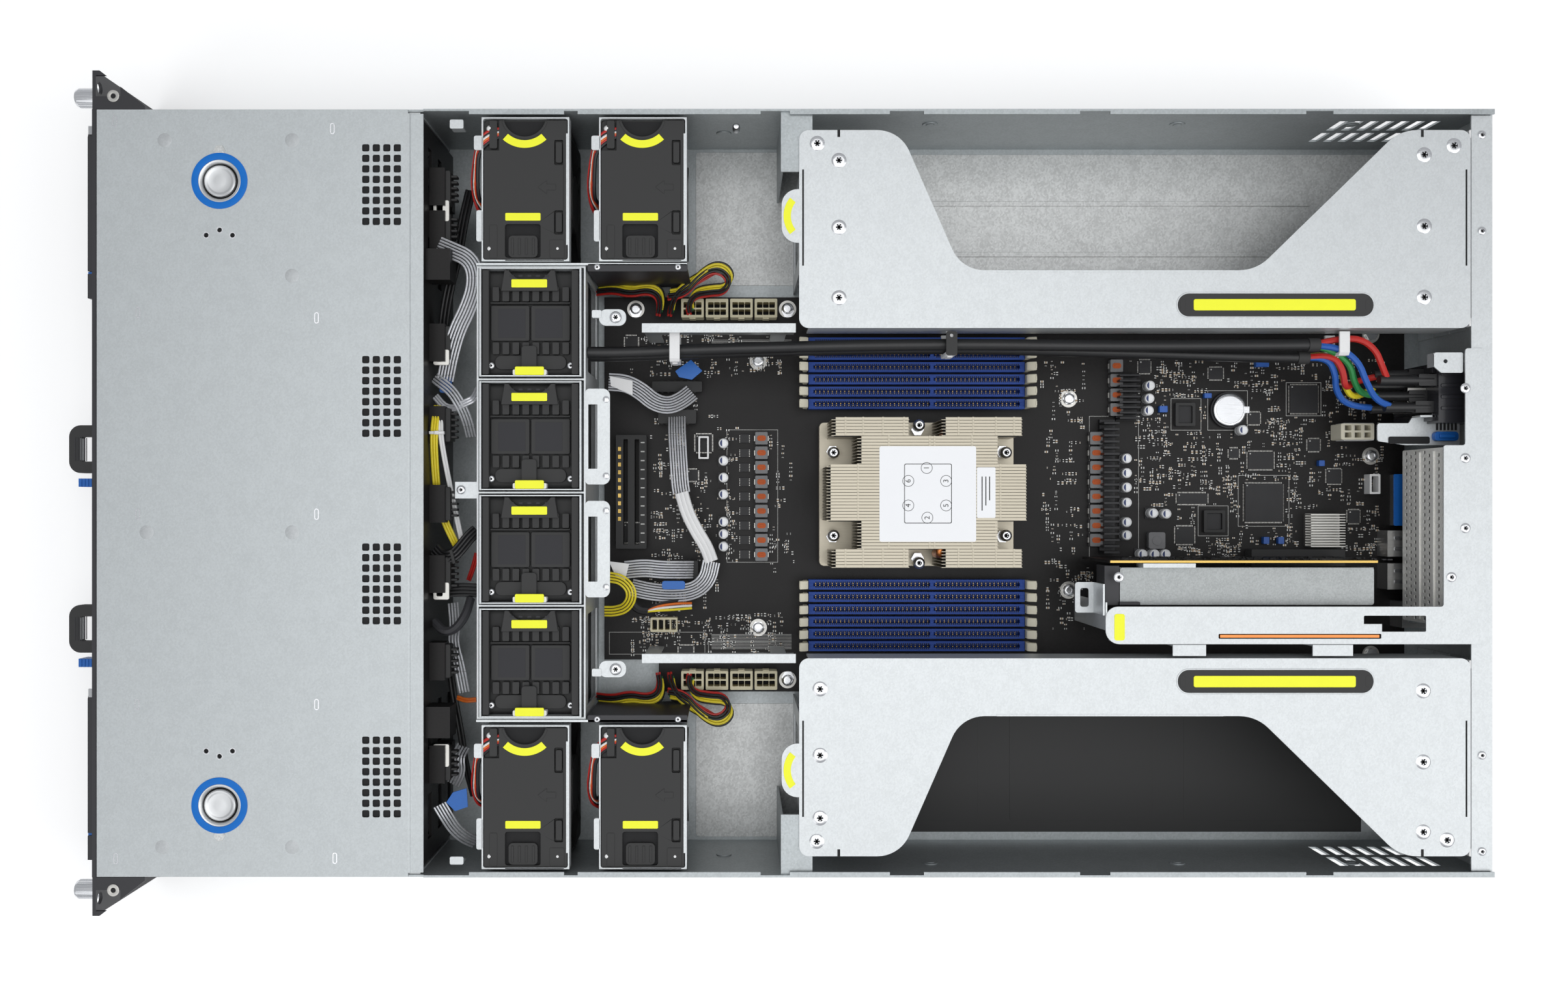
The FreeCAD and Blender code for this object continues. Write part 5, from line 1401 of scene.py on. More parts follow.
@dataclass
class MainBoard:
    """What stands on the main board: chokes, capacitors, chips, plugs and small parts."""

    level: float = BOARD_TOP
    seed: int = 7

    def build(self) -> None:
        """Populate the board."""
        self.copper_marks()
        self.chokes()
        self.cans()
        self.chips()
        self.sinks()
        self.coin()
        self.headers()
        self.small_parts()
        self.ports()

    def copper_marks(self) -> None:
        """Bare rings round the screws, silk lines and rows of pads."""
        z = self.level
        rings = Mould()
        for x, y in (
                (175.1, 59.8), (175.1, -59.8), (-18.8, 83.2), (-18.8, -83.2), (-0.5, 115.8),
                (-0.5, -115.8), (364.0, 100.0), (364.0, -100.0), (-95.3, 115.8), (364.0, 24.0)):
            rings.plate(disc(x, y, 5.4, 32), [disc(x, y, 3.6, 24)], z, z + 0.08)
        rings.piece("pad_rings", Finishes.tin)
        lines = Mould()
        line = 0.25
        for k, (x0, x1, y0, y1) in enumerate((
                (-38.5, -6.5, -42.5, 40.5), (188, 219, -41, 49), (281, 313, -20, 12), (311, 333, 49, 70),
                (239, 258, 40, 60), (256, 275, -26, -7), (262, 287, 40, 65), (-112, -52, -100, -86),
                (-50, -8, 92, 104), (-50, -8, -104, -92))):
            inner = square(x0 + line, x1 - line, y0 + line, y1 - line)
            lines.plate(square(x0, x1, y0, y1), [inner], z, z + 0.05 + 0.002 * k)
        for side in (1, -1):
            for k in range(11):
                y = side * (96.5 - 0.9 * k)
                lines.block(-48, 2, y - 0.12, y + 0.12, z, z + 0.04)
        lines.piece("silk_lines", Finishes.silk)

    def chokes(self) -> None:
        """Two rows of chokes: dark cubes with a copper-coloured middle, and their drivers."""
        z = self.level
        body, cores, drivers, legs = Mould(), Mould(), Mould(), Mould()
        left = [(-16.9, 34.9 - 9.05 * i) for i in range(9)]
        right = [(191.2, 34.9 - 9.05 * i) for i in range(8)] + [
            (203.8, y) for y in (79.9, 70.9, 61.8, 52.7)]
        for x, y in left + right:
            body.prism(centred(x, y, 8.0, 8.0, 0.8), z, z + 5.6)
            cores.prism(centred(x, y, 5.4, 3.4, 1.5), z + 5.4, z + 5.8)
            cores.prism(centred(x, y, 3.0, 1.4, 0.6), z + 5.8, z + 6.0)
            for side in (1, -1):
                legs.block(x + side * 4.0, x + side * 4.5, y - 1.6, y + 1.6, z, z + 2.4)
        for x, y in left:
            drivers.block(x - 13.3, x - 7.7, y - 2.7, y + 2.7, z, z + 1.0)
            for k in range(5):
                legs.block(x - 13.7, x - 13.3, y - 2.3 + k, y - 1.9 + k, z, z + 0.4)
                legs.block(x - 7.7, x - 7.2, y - 2.3 + k, y - 1.9 + k, z, z + 0.4)
        made = body.piece("chokes", Finishes.grey_choke, bevel=0.3)
        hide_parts("board_components")
        cores.piece("choke_cores", Finishes.copper_dull, bevel=0.25)
        drivers.piece("power_drivers", Finishes.package, bevel=0.15)
        legs.piece("power_legs", Finishes.tin)

    def cans(self) -> None:
        """Round capacitors with a pale top and a dark polarity mark."""
        z = self.level
        cans, marks, feet = Mould(), Mould(), Mould()
        places = [(-40.5, y) for y in (31.7, 20.9, 10.4, 0.0, -17.0, -24.6, -32.4)]
        places += [(209.6, y) for y in (22.3, 13.2, 4.3, -5.1, -17.3, -25.4)]
        places += [
            (224.0, 67.5), (223.6, 59.5), (223.2, 52.0), (226.0, -11.7), (234.1, -12.1), (219.3, -37.2),
            (226.8, -37.2), (233.7, -37.2), (281.7, 39.9)]
        for x, y in places:
            cans.lathe((x, y, z), [
                (0, 0.4), (3.1, 0.4), (3.1, 1.6), (2.85, 2.0), (3.1, 2.4), (3.1, 7.2), (2.8, 7.8),
                (2.3, 8.0), (2.1, 7.85), (0, 7.85)], 24)
            marks.prism(arc(x, y, 2.2, 110, 250, 10), z + 7.82, z + 7.9)
            feet.prism([
                (x - 3.4, y - 3.4), (x + 2.2, y - 3.4), (x + 3.4, y - 2.2), (x + 3.4, y + 2.2),
                (x + 2.2, y + 3.4), (x - 3.4, y + 3.4)], z, z + 0.7)
        cans.piece("cans", Finishes.tin_pale, smooth=True)
        marks.piece("can_marks", Finishes.silk_blue)
        feet.piece("can_feet", Finishes.package)

    def chips(self) -> None:
        """Packages with a corner dot and legs round their edges, two sockets and a coil."""
        z = self.level
        pitch = 0.9
        lids, legs, dots = Mould(), Mould(), Mould()
        for x, y, length, width, high in (
                (321.8, 59.5, 17.4, 17.4, 1.6), (296.7, -5.2, 23.9, 23.9, 2.2),
                (295.0, 21.2, 16.0, 10.9, 1.4), (247.6, -25.5, 11.6, 10.9, 1.4),
                (328.1, 30.8, 7.5, 7.5, 1.2), (290.8, 47.5, 7.3, 7.3, 1.2), (278.3, 25.7, 6.1, 6.1, 1.2),
                (340.7, 11.2, 9.0, 9.0, 1.4), (353.0, -13.9, 7.3, 8.1, 1.4), (252.2, -2.6, 18.9, 6.7, 1.4),
                (222.4, 79.8, 7.3, 8.0, 1.3), (267.0, 75.5, 8.7, 7.3, 1.2), (-52.9, 32.0, 10.3, 11.0, 1.2),
                (-98.0, 95.0, 8, 8, 1.2), (-64.0, -98.0, 9, 7, 1.2), (-97.0, -24.0, 12, 12, 1.4),
                (-60.0, 12.0, 7, 7, 1.2), (186.0, -62.0, 8, 8, 1.2)):
            x0, x1, y0, y1 = x - length / 2, x + length / 2, y - width / 2, y + width / 2
            lids.prism(rounded(x0, x1, y0, y1, 0.5), z + 0.15, z + high)
            dots.prism(disc(x0 + 1.2, y1 - 1.2, 0.45, 12), z + high, z + high + 0.03)
            for k in range(int(width / pitch)):
                v = y0 + 0.5 + pitch * k
                legs.block(x0 - 0.8, x0, v, v + 0.4, z, z + 0.35)
                legs.block(x1, x1 + 0.8, v, v + 0.4, z, z + 0.35)
            for k in range(int(length / pitch)):
                u = x0 + 0.5 + pitch * k
                legs.block(u, u + 0.4, y0 - 0.8, y0, z, z + 0.35)
                legs.block(u, u + 0.4, y1, y1 + 0.8, z, z + 0.35)
        lids.piece("chip_lids", Finishes.package, bevel=0.25)
        legs.piece("chip_legs", Finishes.tin)
        dots.piece("chip_dots", Finishes.silk)
        sockets, wells = Mould(), Mould()
        for x, y, length, width in ((247.2, 49.8, 12.3, 14.5), (265.3, -16.8, 13.1, 13.8)):
            inner = centred(x, y, length - 3.6, width - 3.6, 0.6)
            sockets.plate(centred(x, y, length, width, 0.8), [inner], z, z + 3.4)
            wells.prism(inner, z + 0.5, z + 1.8)
        sockets.piece("chip_sockets", Finishes.fan, bevel=0.25)
        wells.piece("socket_wells", Finishes.package, bevel=0.2)
        coil = Mould()
        coil.prism(rounded(223.8, 234.2, -33.9, -23.5, 1.4), z, z + 5.0)
        coil.prism(disc(229.0, -28.7, 3.0, 24), z + 5.0, z + 5.3)
        coil.piece("coil", Finishes.grey_choke, bevel=0.5)

    def sinks(self) -> None:
        """The tall comb heatsink behind the memory and a small one near the ports."""
        z = self.level
        comb = Mould()
        comb.block(193.7, 203.3, -36.5, 46.7, z, z + 3)
        comb.block(203.9, 216.8, 46.0, 75.3, z, z + 3)
        for k in range(22):
            y = -36.5 + 3.79 * k
            comb.block(193.7, 203.3, y, y + 1.5, z + 2.5, z + 14)
        for k in range(9):
            y = 46.4 + 3.3 * k
            comb.block(203.9, 216.8, y, y + 1.3, z + 2.5, z + 12)
        comb.piece("comb_sink", Finishes.anodised, bevel=0.15)
        small = Mould()
        small.block(322.1, 343.5, -32.6, -12.0, z, z + 2.5)
        for k in range(13):
            y = -32.6 + 1.64 * k
            small.block(322.1, 343.5, y, y + 0.7, z + 2, z + 11)
        small.piece("small_sink", Finishes.tin, bevel=0.1)

    def coin(self) -> None:
        """The coin cell in its holder."""
        z = self.level
        cell = Mould()
        cell.lathe(
            (274.5, 52.6, z + 1.2),
            [(0, 0), (9.6, 0), (10.0, 0.5), (10.0, 2.9), (9.6, 3.2), (8.6, 3.3), (8.4, 3.15), (0, 3.15)],
            48)
        cell.block(283.0, 286.5, 50.6, 54.6, z + 3.2, z + 4.6)
        cell.piece("coin_cell", Finishes.bright, smooth=True)
        holder = Mould()
        holder.plate(disc(274.5, 52.6, 11.4, 40), [disc(274.5, 52.6, 10.2, 40)], z, z + 2.6)
        holder.piece("coin_holder", Finishes.package, bevel=0.2)

    def headers(self) -> None:
        """Cream fan headers, the card slot, white plugs, the edge socket and blue bits."""
        z = self.level
        shells, pins = Mould(), Mould()
        for side in (1, -1):
            for i in range(4):
                x = -66.5 + 15.1 * i
                outer = rounded(x, x + 13.9, side * 109.0, side * 120.6, 0.6, 3)
                wells = [
                    rounded(
                        x + 1.4 + 3.8 * c, x + 4.9 + 3.8 * c, side * (110.6 + 4.4 * r),
                        side * (114.1 + 4.4 * r), 0.4, 2) for c in range(3) for r in range(2)]
                shells.plate(outer, wells, z, z + 12)
                shells.block(x + 5.0, x + 8.9, side * 108.3, side * 109.2, z + 3, z + 11)
                for column in range(3):
                    for row in range(2):
                        px = x + 3.15 + 3.8 * column
                        py = side * (112.35 + 4.4 * row)
                        pins.block(px - 0.5, px + 0.5, py - 0.5, py + 0.5, z + 1, z + 9)
        made = shells.piece("fan_headers", Finishes.header, bevel=0.25)
        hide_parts("board_connectors")
        slot, contacts = Mould(), Mould()
        outer = rounded(285.5, 343.3, -44.6, -34.0, 0.7, 3)
        slot.plate(outer, [rounded(287.4, 341.4, -40.1, -38.5, 0.3, 2)], z, z + 11)
        slot.piece("card_slot", Finishes.fan, bevel=0.3)
        for k in range(33):
            for side in (1, -1):
                y = -39.3 + side * 0.8
                contacts.block(288.5 + 1.6 * k, 289.3 + 1.6 * k, y - 0.15, y + 0.15, z + 7, z + 10.6)
        contacts.piece("slot_contacts", Finishes.gold)
        plug = Mould()
        plug.plate(rounded(341.8, 361.1, 33.2, 44.0, 0.8, 3), [
            rounded(
                343.2 + 6.1 * (k % 3), 347.6 + 6.1 * (k % 3), 34.4 + 4.8 * (k // 3), 38.0 + 4.8 * (k // 3),
                0.4, 2) for k in range(6)], z, z + 11)
        plug.plate(
            rounded(359.8, 366.4, 0.2, 12.5, 0.5, 3), [rounded(361.0, 365.2, 1.4, 11.3, 0.4, 2)], z, z + 8)
        plug.plate(
            rounded(-56.0, -49.6, 22.0, 36.0, 0.5, 3), [rounded(-55.0, -50.6, 23.0, 35.0, 0.4, 2)], z,
            z + 8)
        plug.piece("white_plugs", Finishes.clip_white, bevel=0.25)
        edge, gold = Mould(), Mould()
        edge.plate(
            rounded(-107.0, -88.0, -33.7, 36.7, 0.8, 3),
            [rounded(-102.4, -99.6, -31.0, 34.0, 0.4, 2), rounded(-95.4, -92.6, -31.0, 34.0, 0.4, 2)], z,
            z + 10)
        edge.piece("edge_socket", Finishes.fan, bevel=0.3)
        for k in range(10):
            y = 28.0 - 4.8 * k
            gold.block(-105.6, -103.8, y - 1.2, y + 1.2, z + 10, z + 10.15)
        gold.piece("edge_contacts", Finishes.gold)
        ticks = Mould()
        for k in range(12):
            y = 32.0 - 5.6 * k
            ticks.block(-91.6, -89.2, y - 0.35, y + 0.35, z + 10, z + 10.1)
        ticks.piece("edge_ticks", Finishes.silk)
        blue = Mould()
        for x, y, length, width in (
                (261.1, 61.5, 4.5, 3.0), (233.4, 53.1, 5.0, 4.0), (297.4, -28.7, 3.6, 4.4),
                (306.6, -28.7, 3.6, 4.4), (331.9, 19.4, 3.6, 3.6), (295.0, 81.4, 8.0, 4.0)):
            blue.prism(centred(x, y, length, width, 0.5), z, z + 4.0)
        blue.piece("blue_bits", Finishes.wire_blue, bevel=0.2)

    def small_parts(self) -> None:
        """Hundreds of tiny parts: dark bodies, tan bodies and tinned ends."""
        chance = random.Random(self.seed)
        large = (
            (311, 333, 49, 70), (283, 310, -19, 8), (286, 304, 14, 28), (240, 255, -32, -19),
            (322, 334, 26, 36), (285, 297, 42, 53), (273, 283, 21, 30), (335, 347, 6, 17),
            (348, 358, -19, -8), (241, 263, -7, 2), (217, 228, 74, 85), (261, 273, 70, 81),
            (238, 256, 40, 60), (256, 275, -26, -7), (262, 288, 40, 65), (320, 345, -35, -10),
            (284, 345, -46, -33), (340, 367, 31, 46), (186, 216, -38, 80), (218, 240, -42, -8),
            (220, 228, 48, 72), (370, 400, -60, 20), (278, 286, 36, 44))
        left = ((-46, -7, -44, 42), (-112, -98, -22, 58), (-60, -48, 20, 40), (-84, -54, 60, 74))
        fields = (
            BoardField(212, 372, -40, 84, 1150, large), BoardField(158, 190, -84, 84, 260, large),
            BoardField(-98, -4, 74, 104, 260, left), BoardField(-98, -4, -104, -74, 300, left),
            BoardField(-86, -44, -74, 74, 330, left), BoardField(-12, 4, -50, 50, 60, ()),
            BoardField(-46, -10, -44, 42, 90, ((-31, -11, -42, 40),)))
        z = self.level
        ends, tan, dark = Mould(), Mould(), Mould()
        for part in fields:
            for x, y, along in part.places(chance):
                length, width = chance.choice(((1.6, 0.8), (2.0, 1.2), (1.0, 0.5)))
                dx, dy = (length / 2, width / 2) if along else (width / 2, length / 2)
                high = chance.choice((0.5, 0.7, 0.9))
                body = tan if chance.random() < 0.45 else dark
                ends.block(x - dx, x + dx, y - dy, y + dy, z, z + high * 0.94)
                if along:
                    body.block(x - dx * 0.5, x + dx * 0.5, y - dy * 1.02, y + dy * 1.02, z, z + high)
                else:
                    body.block(x - dx * 1.02, x + dx * 1.02, y - dy * 0.5, y + dy * 0.5, z, z + high)
        ends.piece("small_ends", Finishes.solder)
        tan.piece("small_tan", Finishes.ceramic)
        dark.piece("small_dark", Finishes.package)

    def ports(self) -> None:
        """The blue display port and the spring fingers on the port shells."""
        z = self.level
        blue = Mould()
        blue.prism(rounded(372.4, 379.0, -19.4, 12.4, 1.0), z + 12, z + 12.8)
        blue.piece("display_port", Finishes.tab_blue, bevel=0.2)
        fingers = Mould()
        for y0, y1 in ((-38.2, -22.6), (-58.4, -42.8)):
            for k in range(2):
                y = y0 + 3.4 + 6.6 * k
                fingers.prism(rounded(372.0, 384.0, y, y + 2.4, 0.9), z + 14, z + 14.35)
        for k in range(2):
            fingers.prism(rounded(380.0, 392.0, -79.0 + 7 * k, -76.4 + 7 * k, 0.9), z + 16, z + 16.35)
        fingers.piece("port_fingers", Finishes.bright, bevel=0.1)


@dataclass
class Run:
    """A wire, a flat ribbon or a bundle along a route."""

    name: str
    finish: Finish
    points: list[Point]
    radius: float = 0.9
    strands: int = 1
    spread: float = 1.3

    def build(self) -> None:
        """Lay the strands side by side along the route."""
        mould = Mould()
        path = [Vector(p) for p in smoothed(self.points)]
        for strand in range(self.strands):
            shift = (strand - (self.strands - 1) / 2) * self.spread
            moved = []
            for i, point in enumerate(path):
                along = path[min(i + 1, len(path) - 1)] - path[max(i - 1, 0)]
                across = Vector((-along.y, along.x, 0))
                across = across.normalized() if across.length > 0.01 else Vector((0, 1, 0))
                moved.append(tuple(point + across * shift))
            mould.tube(moved, self.radius, 8)
        mould.piece(self.name, self.finish, smooth=True)


@dataclass
class FrontLooms:
    """The looms, ribbons and plugs between the drive bays and the fans."""

    def build(self) -> None:
        """Lay the looms and set the plugs."""
        runs = [
            Run("ribbon_a", Finishes.wire_silver, [
                (-206.1, 144.9, 70), (-197.2, 140.9, 72), (-188.4, 136.9, 74), (-184.1, 129.7, 74),
                (-184.5, 119.2, 72), (-189.1, 107.4, 70), (-195.6, 95.5, 68), (-200.2, 81.2, 66),
                (-203.8, 67, 62)], 0.66, 6, 1.75),
            Run("ribbon_b", Finishes.wire_silver, [
                (-210.0, 68.2, 62), (-206.5, 65.6, 64), (-199.6, 60.5, 66), (-194.7, 53.2, 66),
                (-191.0, 44.0, 62), (-190.0, 34.0, 54)], 0.66, 4, 1.75),
            Run("ribbon_c", Finishes.wire_silver, [
                (-210.0, 57.4, 60), (-204.5, 51.1, 62), (-199.2, 49.9, 62), (-191.1, 53.2, 66),
                (-186.1, 55.4, 66), (-184.5, 62.0, 60)], 0.8, 3, 1.5),
            Run("loom_yellow", Finishes.wire_yellow, [
                (-207.5, 51.4, 66), (-207.9, 43.8, 70), (-208.3, 35.3, 72), (-208.7, 25.7, 70),
                (-208.8, 12.5, 66), (-208, -5.7, 62), (-203.3, -19.2, 60), (-197.6, -31.5, 58)], 0.8, 3,
                1.5),
            Run("loom_white", Finishes.clip_white, [
                (-205.3, 51.4, 66), (-204.6, 35.3, 72), (-203.1, 20.9, 68), (-200, 1.6, 64),
                (-197.2, -15.5, 60), (-195.1, -26.6, 58)], 0.8, 2, 1.5),
            Run("loom_black", Finishes.jacket, [
                (-209.9, -32.6, 64), (-205.1, -37.4, 66), (-198, -36.7, 68), (-193.5, -31.3, 66),
                (-189, -25.2, 64), (-185.2, -21.6, 62)], 1.0, 4, 1.9),
            Run(
                "flat_black", Finishes.jacket,
                [(-210.2, -56.1, 58), (-204.5, -57.2, 60), (-194.7, -56.6, 60), (-185.5, -57.2, 60)], 1.1,
                4, 2.0),
            Run("braid_black", Finishes.braid, [
                (-210.7, -75.5, 60), (-204.1, -81.3, 64), (-197.2, -79.9, 66), (-190.9, -71.4, 66),
                (-189.2, -62.1, 60)], 2.7, 1),
            Run("silver_low", Finishes.wire_silver, [
                (-201.6, -65.2, 50), (-199.6, -79.7, 54), (-200, -88, 58), (-195.9, -101.3, 60),
                (-193.3, -117.4, 58)], 0.66, 4, 1.75),
            Run(
                "red_low", Finishes.wire_red,
                [(-187.4, -35.4, 50), (-189.2, -42.9, 50), (-192.7, -51.7, 48)], 0.8, 2, 1.5),
            Run(
                "orange_low", Finishes.wire_orange,
                [(-199.1, -121.6, 50), (-193.8, -123.2, 52), (-187.4, -122.6, 52)], 0.8, 2, 1.5),
            Run("black_sweep", Finishes.jacket, [
                (-191.1, 180.9, 50), (-195, 163.1, 52), (-198.3, 140.5, 54), (-203.5, 120.8, 54),
                (-207.1, 101.3, 52), (-208.5, 81.7, 50)], 1.1, 3, 2.1),
            Run("silver_corner", Finishes.wire_silver, [
                (-205.5, -181.4, 70), (-201.6, -189.1, 68), (-198, -197.7, 62), (-193, -204, 56),
                (-188, -207.9, 50)], 0.66, 5, 1.75),
            Run(
                "silver_up", Finishes.wire_silver,
                [(-201.6, -173.2, 50), (-197.1, -165, 54), (-197.9, -156.1, 56), (-195.4, -150.6, 50)],
                0.66, 5, 1.75),
            Run("lower_sweep", Finishes.jacket, [
                (-190.0, -181.0, 46), (-194.0, -163.0, 50), (-197.0, -142.0, 50), (-201.0, -122.0, 50),
                (-204.0, -103.0, 48)], 1.1, 2, 2.1)]
        for run in runs:
            run.build()
        self.ties()
        self.plugs()

    def ties(self) -> None:
        """Cable ties and the blue pull tabs."""
        ties = Mould()
        ties.turned((-206.6, 35.3, 71.8), (2.6, 2.2, 4.4), 0)
        ties.turned((-206.6, 35.3, 71.8), (8.8, 1.8, 3.4), 0)
        ties.piece("white_tie", Finishes.clip_white, bevel=0.4)
        black = Mould()
        black.turned((-198.2, -36.9, 67.8), (2.0, 8.4, 3.4), 15)
        black.piece("black_tie", Finishes.fan, bevel=0.4)
        tabs = Mould()
        tabs.prism(
            [(-197.2, -173.7), (-189.3, -171.3), (-188.5, -182.2), (-196, -184.8), (-201.2, -179.6)], 71.6,
            72.2)
        for y in (148.0, 64.0, -45.0):
            tabs.prism(rounded(-207.4, -200.0, y - 4.6, y + 4.6, 1.4), 60.6, 61.2)
        tabs.piece("blue_tabs", Finishes.tab_blue, bevel=0.15)

    def plugs(self) -> None:
        """Plugs on the backplane's sockets, latch shells and bright clips."""
        black = Mould()
        for y in (179.0, 154.0, 88.0, 40.0, -6.0, -47.0, -98.0, -158.0):
            black.prism(rounded(-210.8, -199.6, y - 9.8, y + 9.8, 1.2), 58.0, 68.0)
            for k in range(5):
                black.block(-199.8, -196.0, y - 7.6 + 3.4 * k, y - 6.2 + 3.4 * k, 60.0, 66.0)
        for y in (132.0, -132.0):
            black.prism(rounded(-210.8, -201.0, y - 8.0, y + 8.0, 1.4), 61.0, 76.0)
        black.piece("loom_plugs", Finishes.fan, bevel=0.4)
        shells = Mould()
        for y0, y1 in ((159.0, 171.2), (-159.6, -146.4), (75.0, 84.0), (-62.0, -52.0)):
            shells.plate(
                rounded(-209.4, -200.2, y0, y1, 1.0, 3), [rounded(-207.6, -204.0, y0 + 2, y1 - 2, 0.8, 3)],
                66.0, 68.6)
        shells.piece("latch_shells", Finishes.tin, bevel=0.2)
        clips = Mould()
        for y0, y1 in ((208.9, 214.2), (-212.9, -208.2)):
            clips.prism(rounded(-196.8, -188.8, y0, y1, 1.0), 82.8, 84.0)
            clips.block(-196.4, -189.2, y0 + 0.4, y0 + 1.4, 74.0, 83.0)
        clips.piece("wall_clips", Finishes.zinc, bevel=0.3)


@dataclass
class BoardLooms:
    """Ribbons and coloured bundles that join the fans to the main board."""

    def build(self) -> None:
        """Lay the ribbons, the bundles and their plugs."""
        self.ribbons()
        self.bundles(1)
        self.bundles(-1)
        self.fittings()

    def ribbons(self) -> None:
        """The silver and yellow ribbons on the front part of the board."""
        runs = [
            Run("board_ribbon_a", Finishes.wire_silver, [
                (-109.6, 67.7, 40), (-99.5, 67.1, 40), (-90.9, 62.9, 38), (-82.3, 55.6, 34),
                (-73.7, 54, 30), (-66.2, 57.5, 26), (-60, 62.9, 22)], 0.6, 7, 1.6),
            Run("board_ribbon_b", Finishes.wire_silver, [
                (-69.3, 48.3, 20), (-68.8, 37.5, 30), (-67.8, 22.1, 34), (-66.9, 7, 34), (-65.9, 0.7, 34)],
                0.6, 7, 1.6),
            Run("board_sleeve", Finishes.clip_white, [
                (-65.9, 0.9, 34), (-62.7, -10.7, 34), (-57.1, -22.1, 32), (-50.8, -32.3, 30),
                (-47.7, -41.2, 30)], 1.6, 3, 2.6),
            Run("board_ribbon_c", Finishes.wire_silver, [
                (-47.7, -41.2, 30), (-50.2, -52.6, 30), (-58.4, -59.6, 30), (-72.4, -60.8, 30),
                (-85.1, -59.6, 30), (-96.5, -57, 30)], 0.6, 7, 1.6),
            Run("board_ribbon_d", Finishes.wire_silver, [
                (-100, -46.1, 34), (-88.5, -44.7, 36), (-77.1, -45.9, 38), (-65.9, -46.1, 34),
                (-59.2, -46.4, 26)], 0.6, 7, 1.6),
            Run("yellow_loop", Finishes.wire_yellow, [
                (-109.6, -50.2, 40), (-101.9, -51.3, 42), (-96.2, -57, 42), (-95.8, -63.4, 40),
                (-99.8, -69.3, 36), (-106.5, -71.5, 32), (-113, -71.6, 30)], 0.66, 4, 1.75),
            Run(
                "loop_sleeve", Finishes.jacket,
                [(-97.9, -63.9, 32), (-92.8, -70.6, 32), (-86.4, -71.3, 32)], 2.6, 1)]
        for k, finish in enumerate(
                (Finishes.wire_yellow, Finishes.clip_white, Finishes.wire_orange, Finishes.jacket)):
            runs.append(Run(f"fan_out_{k}", finish, [
                (-87.0, -71.6 + 0.4 * k, 32), (-80.0, -71.0 + 1.4 * k, 32), (-70.0, -70.6 + 1.9 * k, 31),
                (-60.0, -70.0 + 1.6 * k, 26)], 0.75, 1))
        for run in runs:
            run.build()

    def bundles(self, side: int) -> None:
        """The coloured bundles from the side fans to the headers.

        Args:
            side: 1 for the bundles at +Y and -1 for those at -Y.
        """
        colours = (
            Finishes.wire_red, Finishes.jacket, Finishes.wire_green, Finishes.wire_yellow, Finishes.jacket)
        tag = "left" if side > 0 else "right"
        routes = (
            [
                (-117.8, 126.7, 20), (-107.2, 127.3, 24), (-96.8, 124.5, 26), (-86.5, 126.3, 28),
                (-80.1, 123.8, 28), (-78.6, 118, 24), (-79.7, 112.6, 22)],
            [
                (-44.7, 138.4, 30), (-53.3, 133, 32), (-62.2, 128, 32), (-68.6, 123.2, 30),
                (-71.6, 117.4, 26), (-72.6, 112.6, 22)],
            [
                (-73.4, 122.6, 28), (-63, 123.8, 31), (-55.6, 132.3, 34), (-46.8, 138.1, 34),
                (-39.5, 136.7, 34), (-35.8, 131.1, 32), (-39.5, 125.1, 30), (-48.3, 124.8, 29),
                (-57.7, 123.4, 27), (-61.2, 117.6, 24), (-60.4, 113.3, 22)])
        for k, route in enumerate(routes):
            for c, finish in enumerate(colours):
                shift = (c - 2) * 1.6
                path = [
                    (x + shift * 0.35, side * (y + shift * 0.8), z + (c % 2) * 1.4) for x, y, z in route]
                Run(f"bundle_{tag}_{k}_{c}", finish, path, 0.8, 2, 1.7).build()

    def fittings(self) -> None:
        """Labels, plugs and blue tabs on the ribbons, and the board's screws."""
        labels = Mould()
        for corners, z in (
                (((-108.8, 71.1), (-95, 68.2), (-95, 59.4), (-108.1, 65.1)), 42),
                (((-109.9, -40.8), (-97.5, -42.3), (-100, -52.4), (-105.7, -49.9)), 36)):
            labels.prism(list(corners), z, z + 0.6)
        labels.piece("ribbon_labels", Finishes.clip_white, bevel=0.1)
        tabs = Mould()
        tabs.prism([(-69.4, 74), (-59.9, 80.9), (-53, 74.2), (-59.3, 68.8), (-67, 70.4)], 41.6, 42.2)
        tabs.prism(rounded(-77.5, -63.5, -57.7, -52.6, 1.6), 38.6, 39.2)
        tabs.piece("ribbon_tabs", Finishes.tab_blue, bevel=0.15)
        plugs = Mould()
        for x0, x1, y0, y1, z in (
                (-84.8, -53.7, 63.3, 70.0, 20.0), (-81.0, -57.3, 43.6, 52.3, 21.0),
                (-64.0, -56.0, -52.0, -41.0, 24.0)):
            plugs.prism(rounded(x0, x1, y0, y1, 1.0), 11.0, z)
            for k in range(int((x1 - x0) / 4)):
                plugs.block(x0 + 1.5 + 4 * k, x0 + 3.1 + 4 * k, y0 - 0.5, y1 + 0.5, z - 5, z - 1)
        plugs.piece("ribbon_plugs", Finishes.fan, bevel=0.3)
        beige = Mould()
        beige.plate(
            rounded(-85.7, -69.0, -85.2, -76.2, 0.8, 3),
            [rounded(-84.5 + 3.9 * k, -81.6 + 3.9 * k, -83.8, -77.6, 0.4, 2) for k in range(4)], BOARD_TOP,
            20.0)
        beige.piece("cream_plugs", Finishes.header, bevel=0.3)
        screws = Screws("board_pans")
        for x, y in (
                (-95.3, 115.8), (-18.8, 83.2), (-18.8, -83.2), (175.1, 59.8), (175.1, -59.8),
                (-0.5, 115.8), (-0.5, -115.8), (364.0, 24.0)):
            screws.add(x, y, 10.8, 3.8, 2.4)
        screws.done()


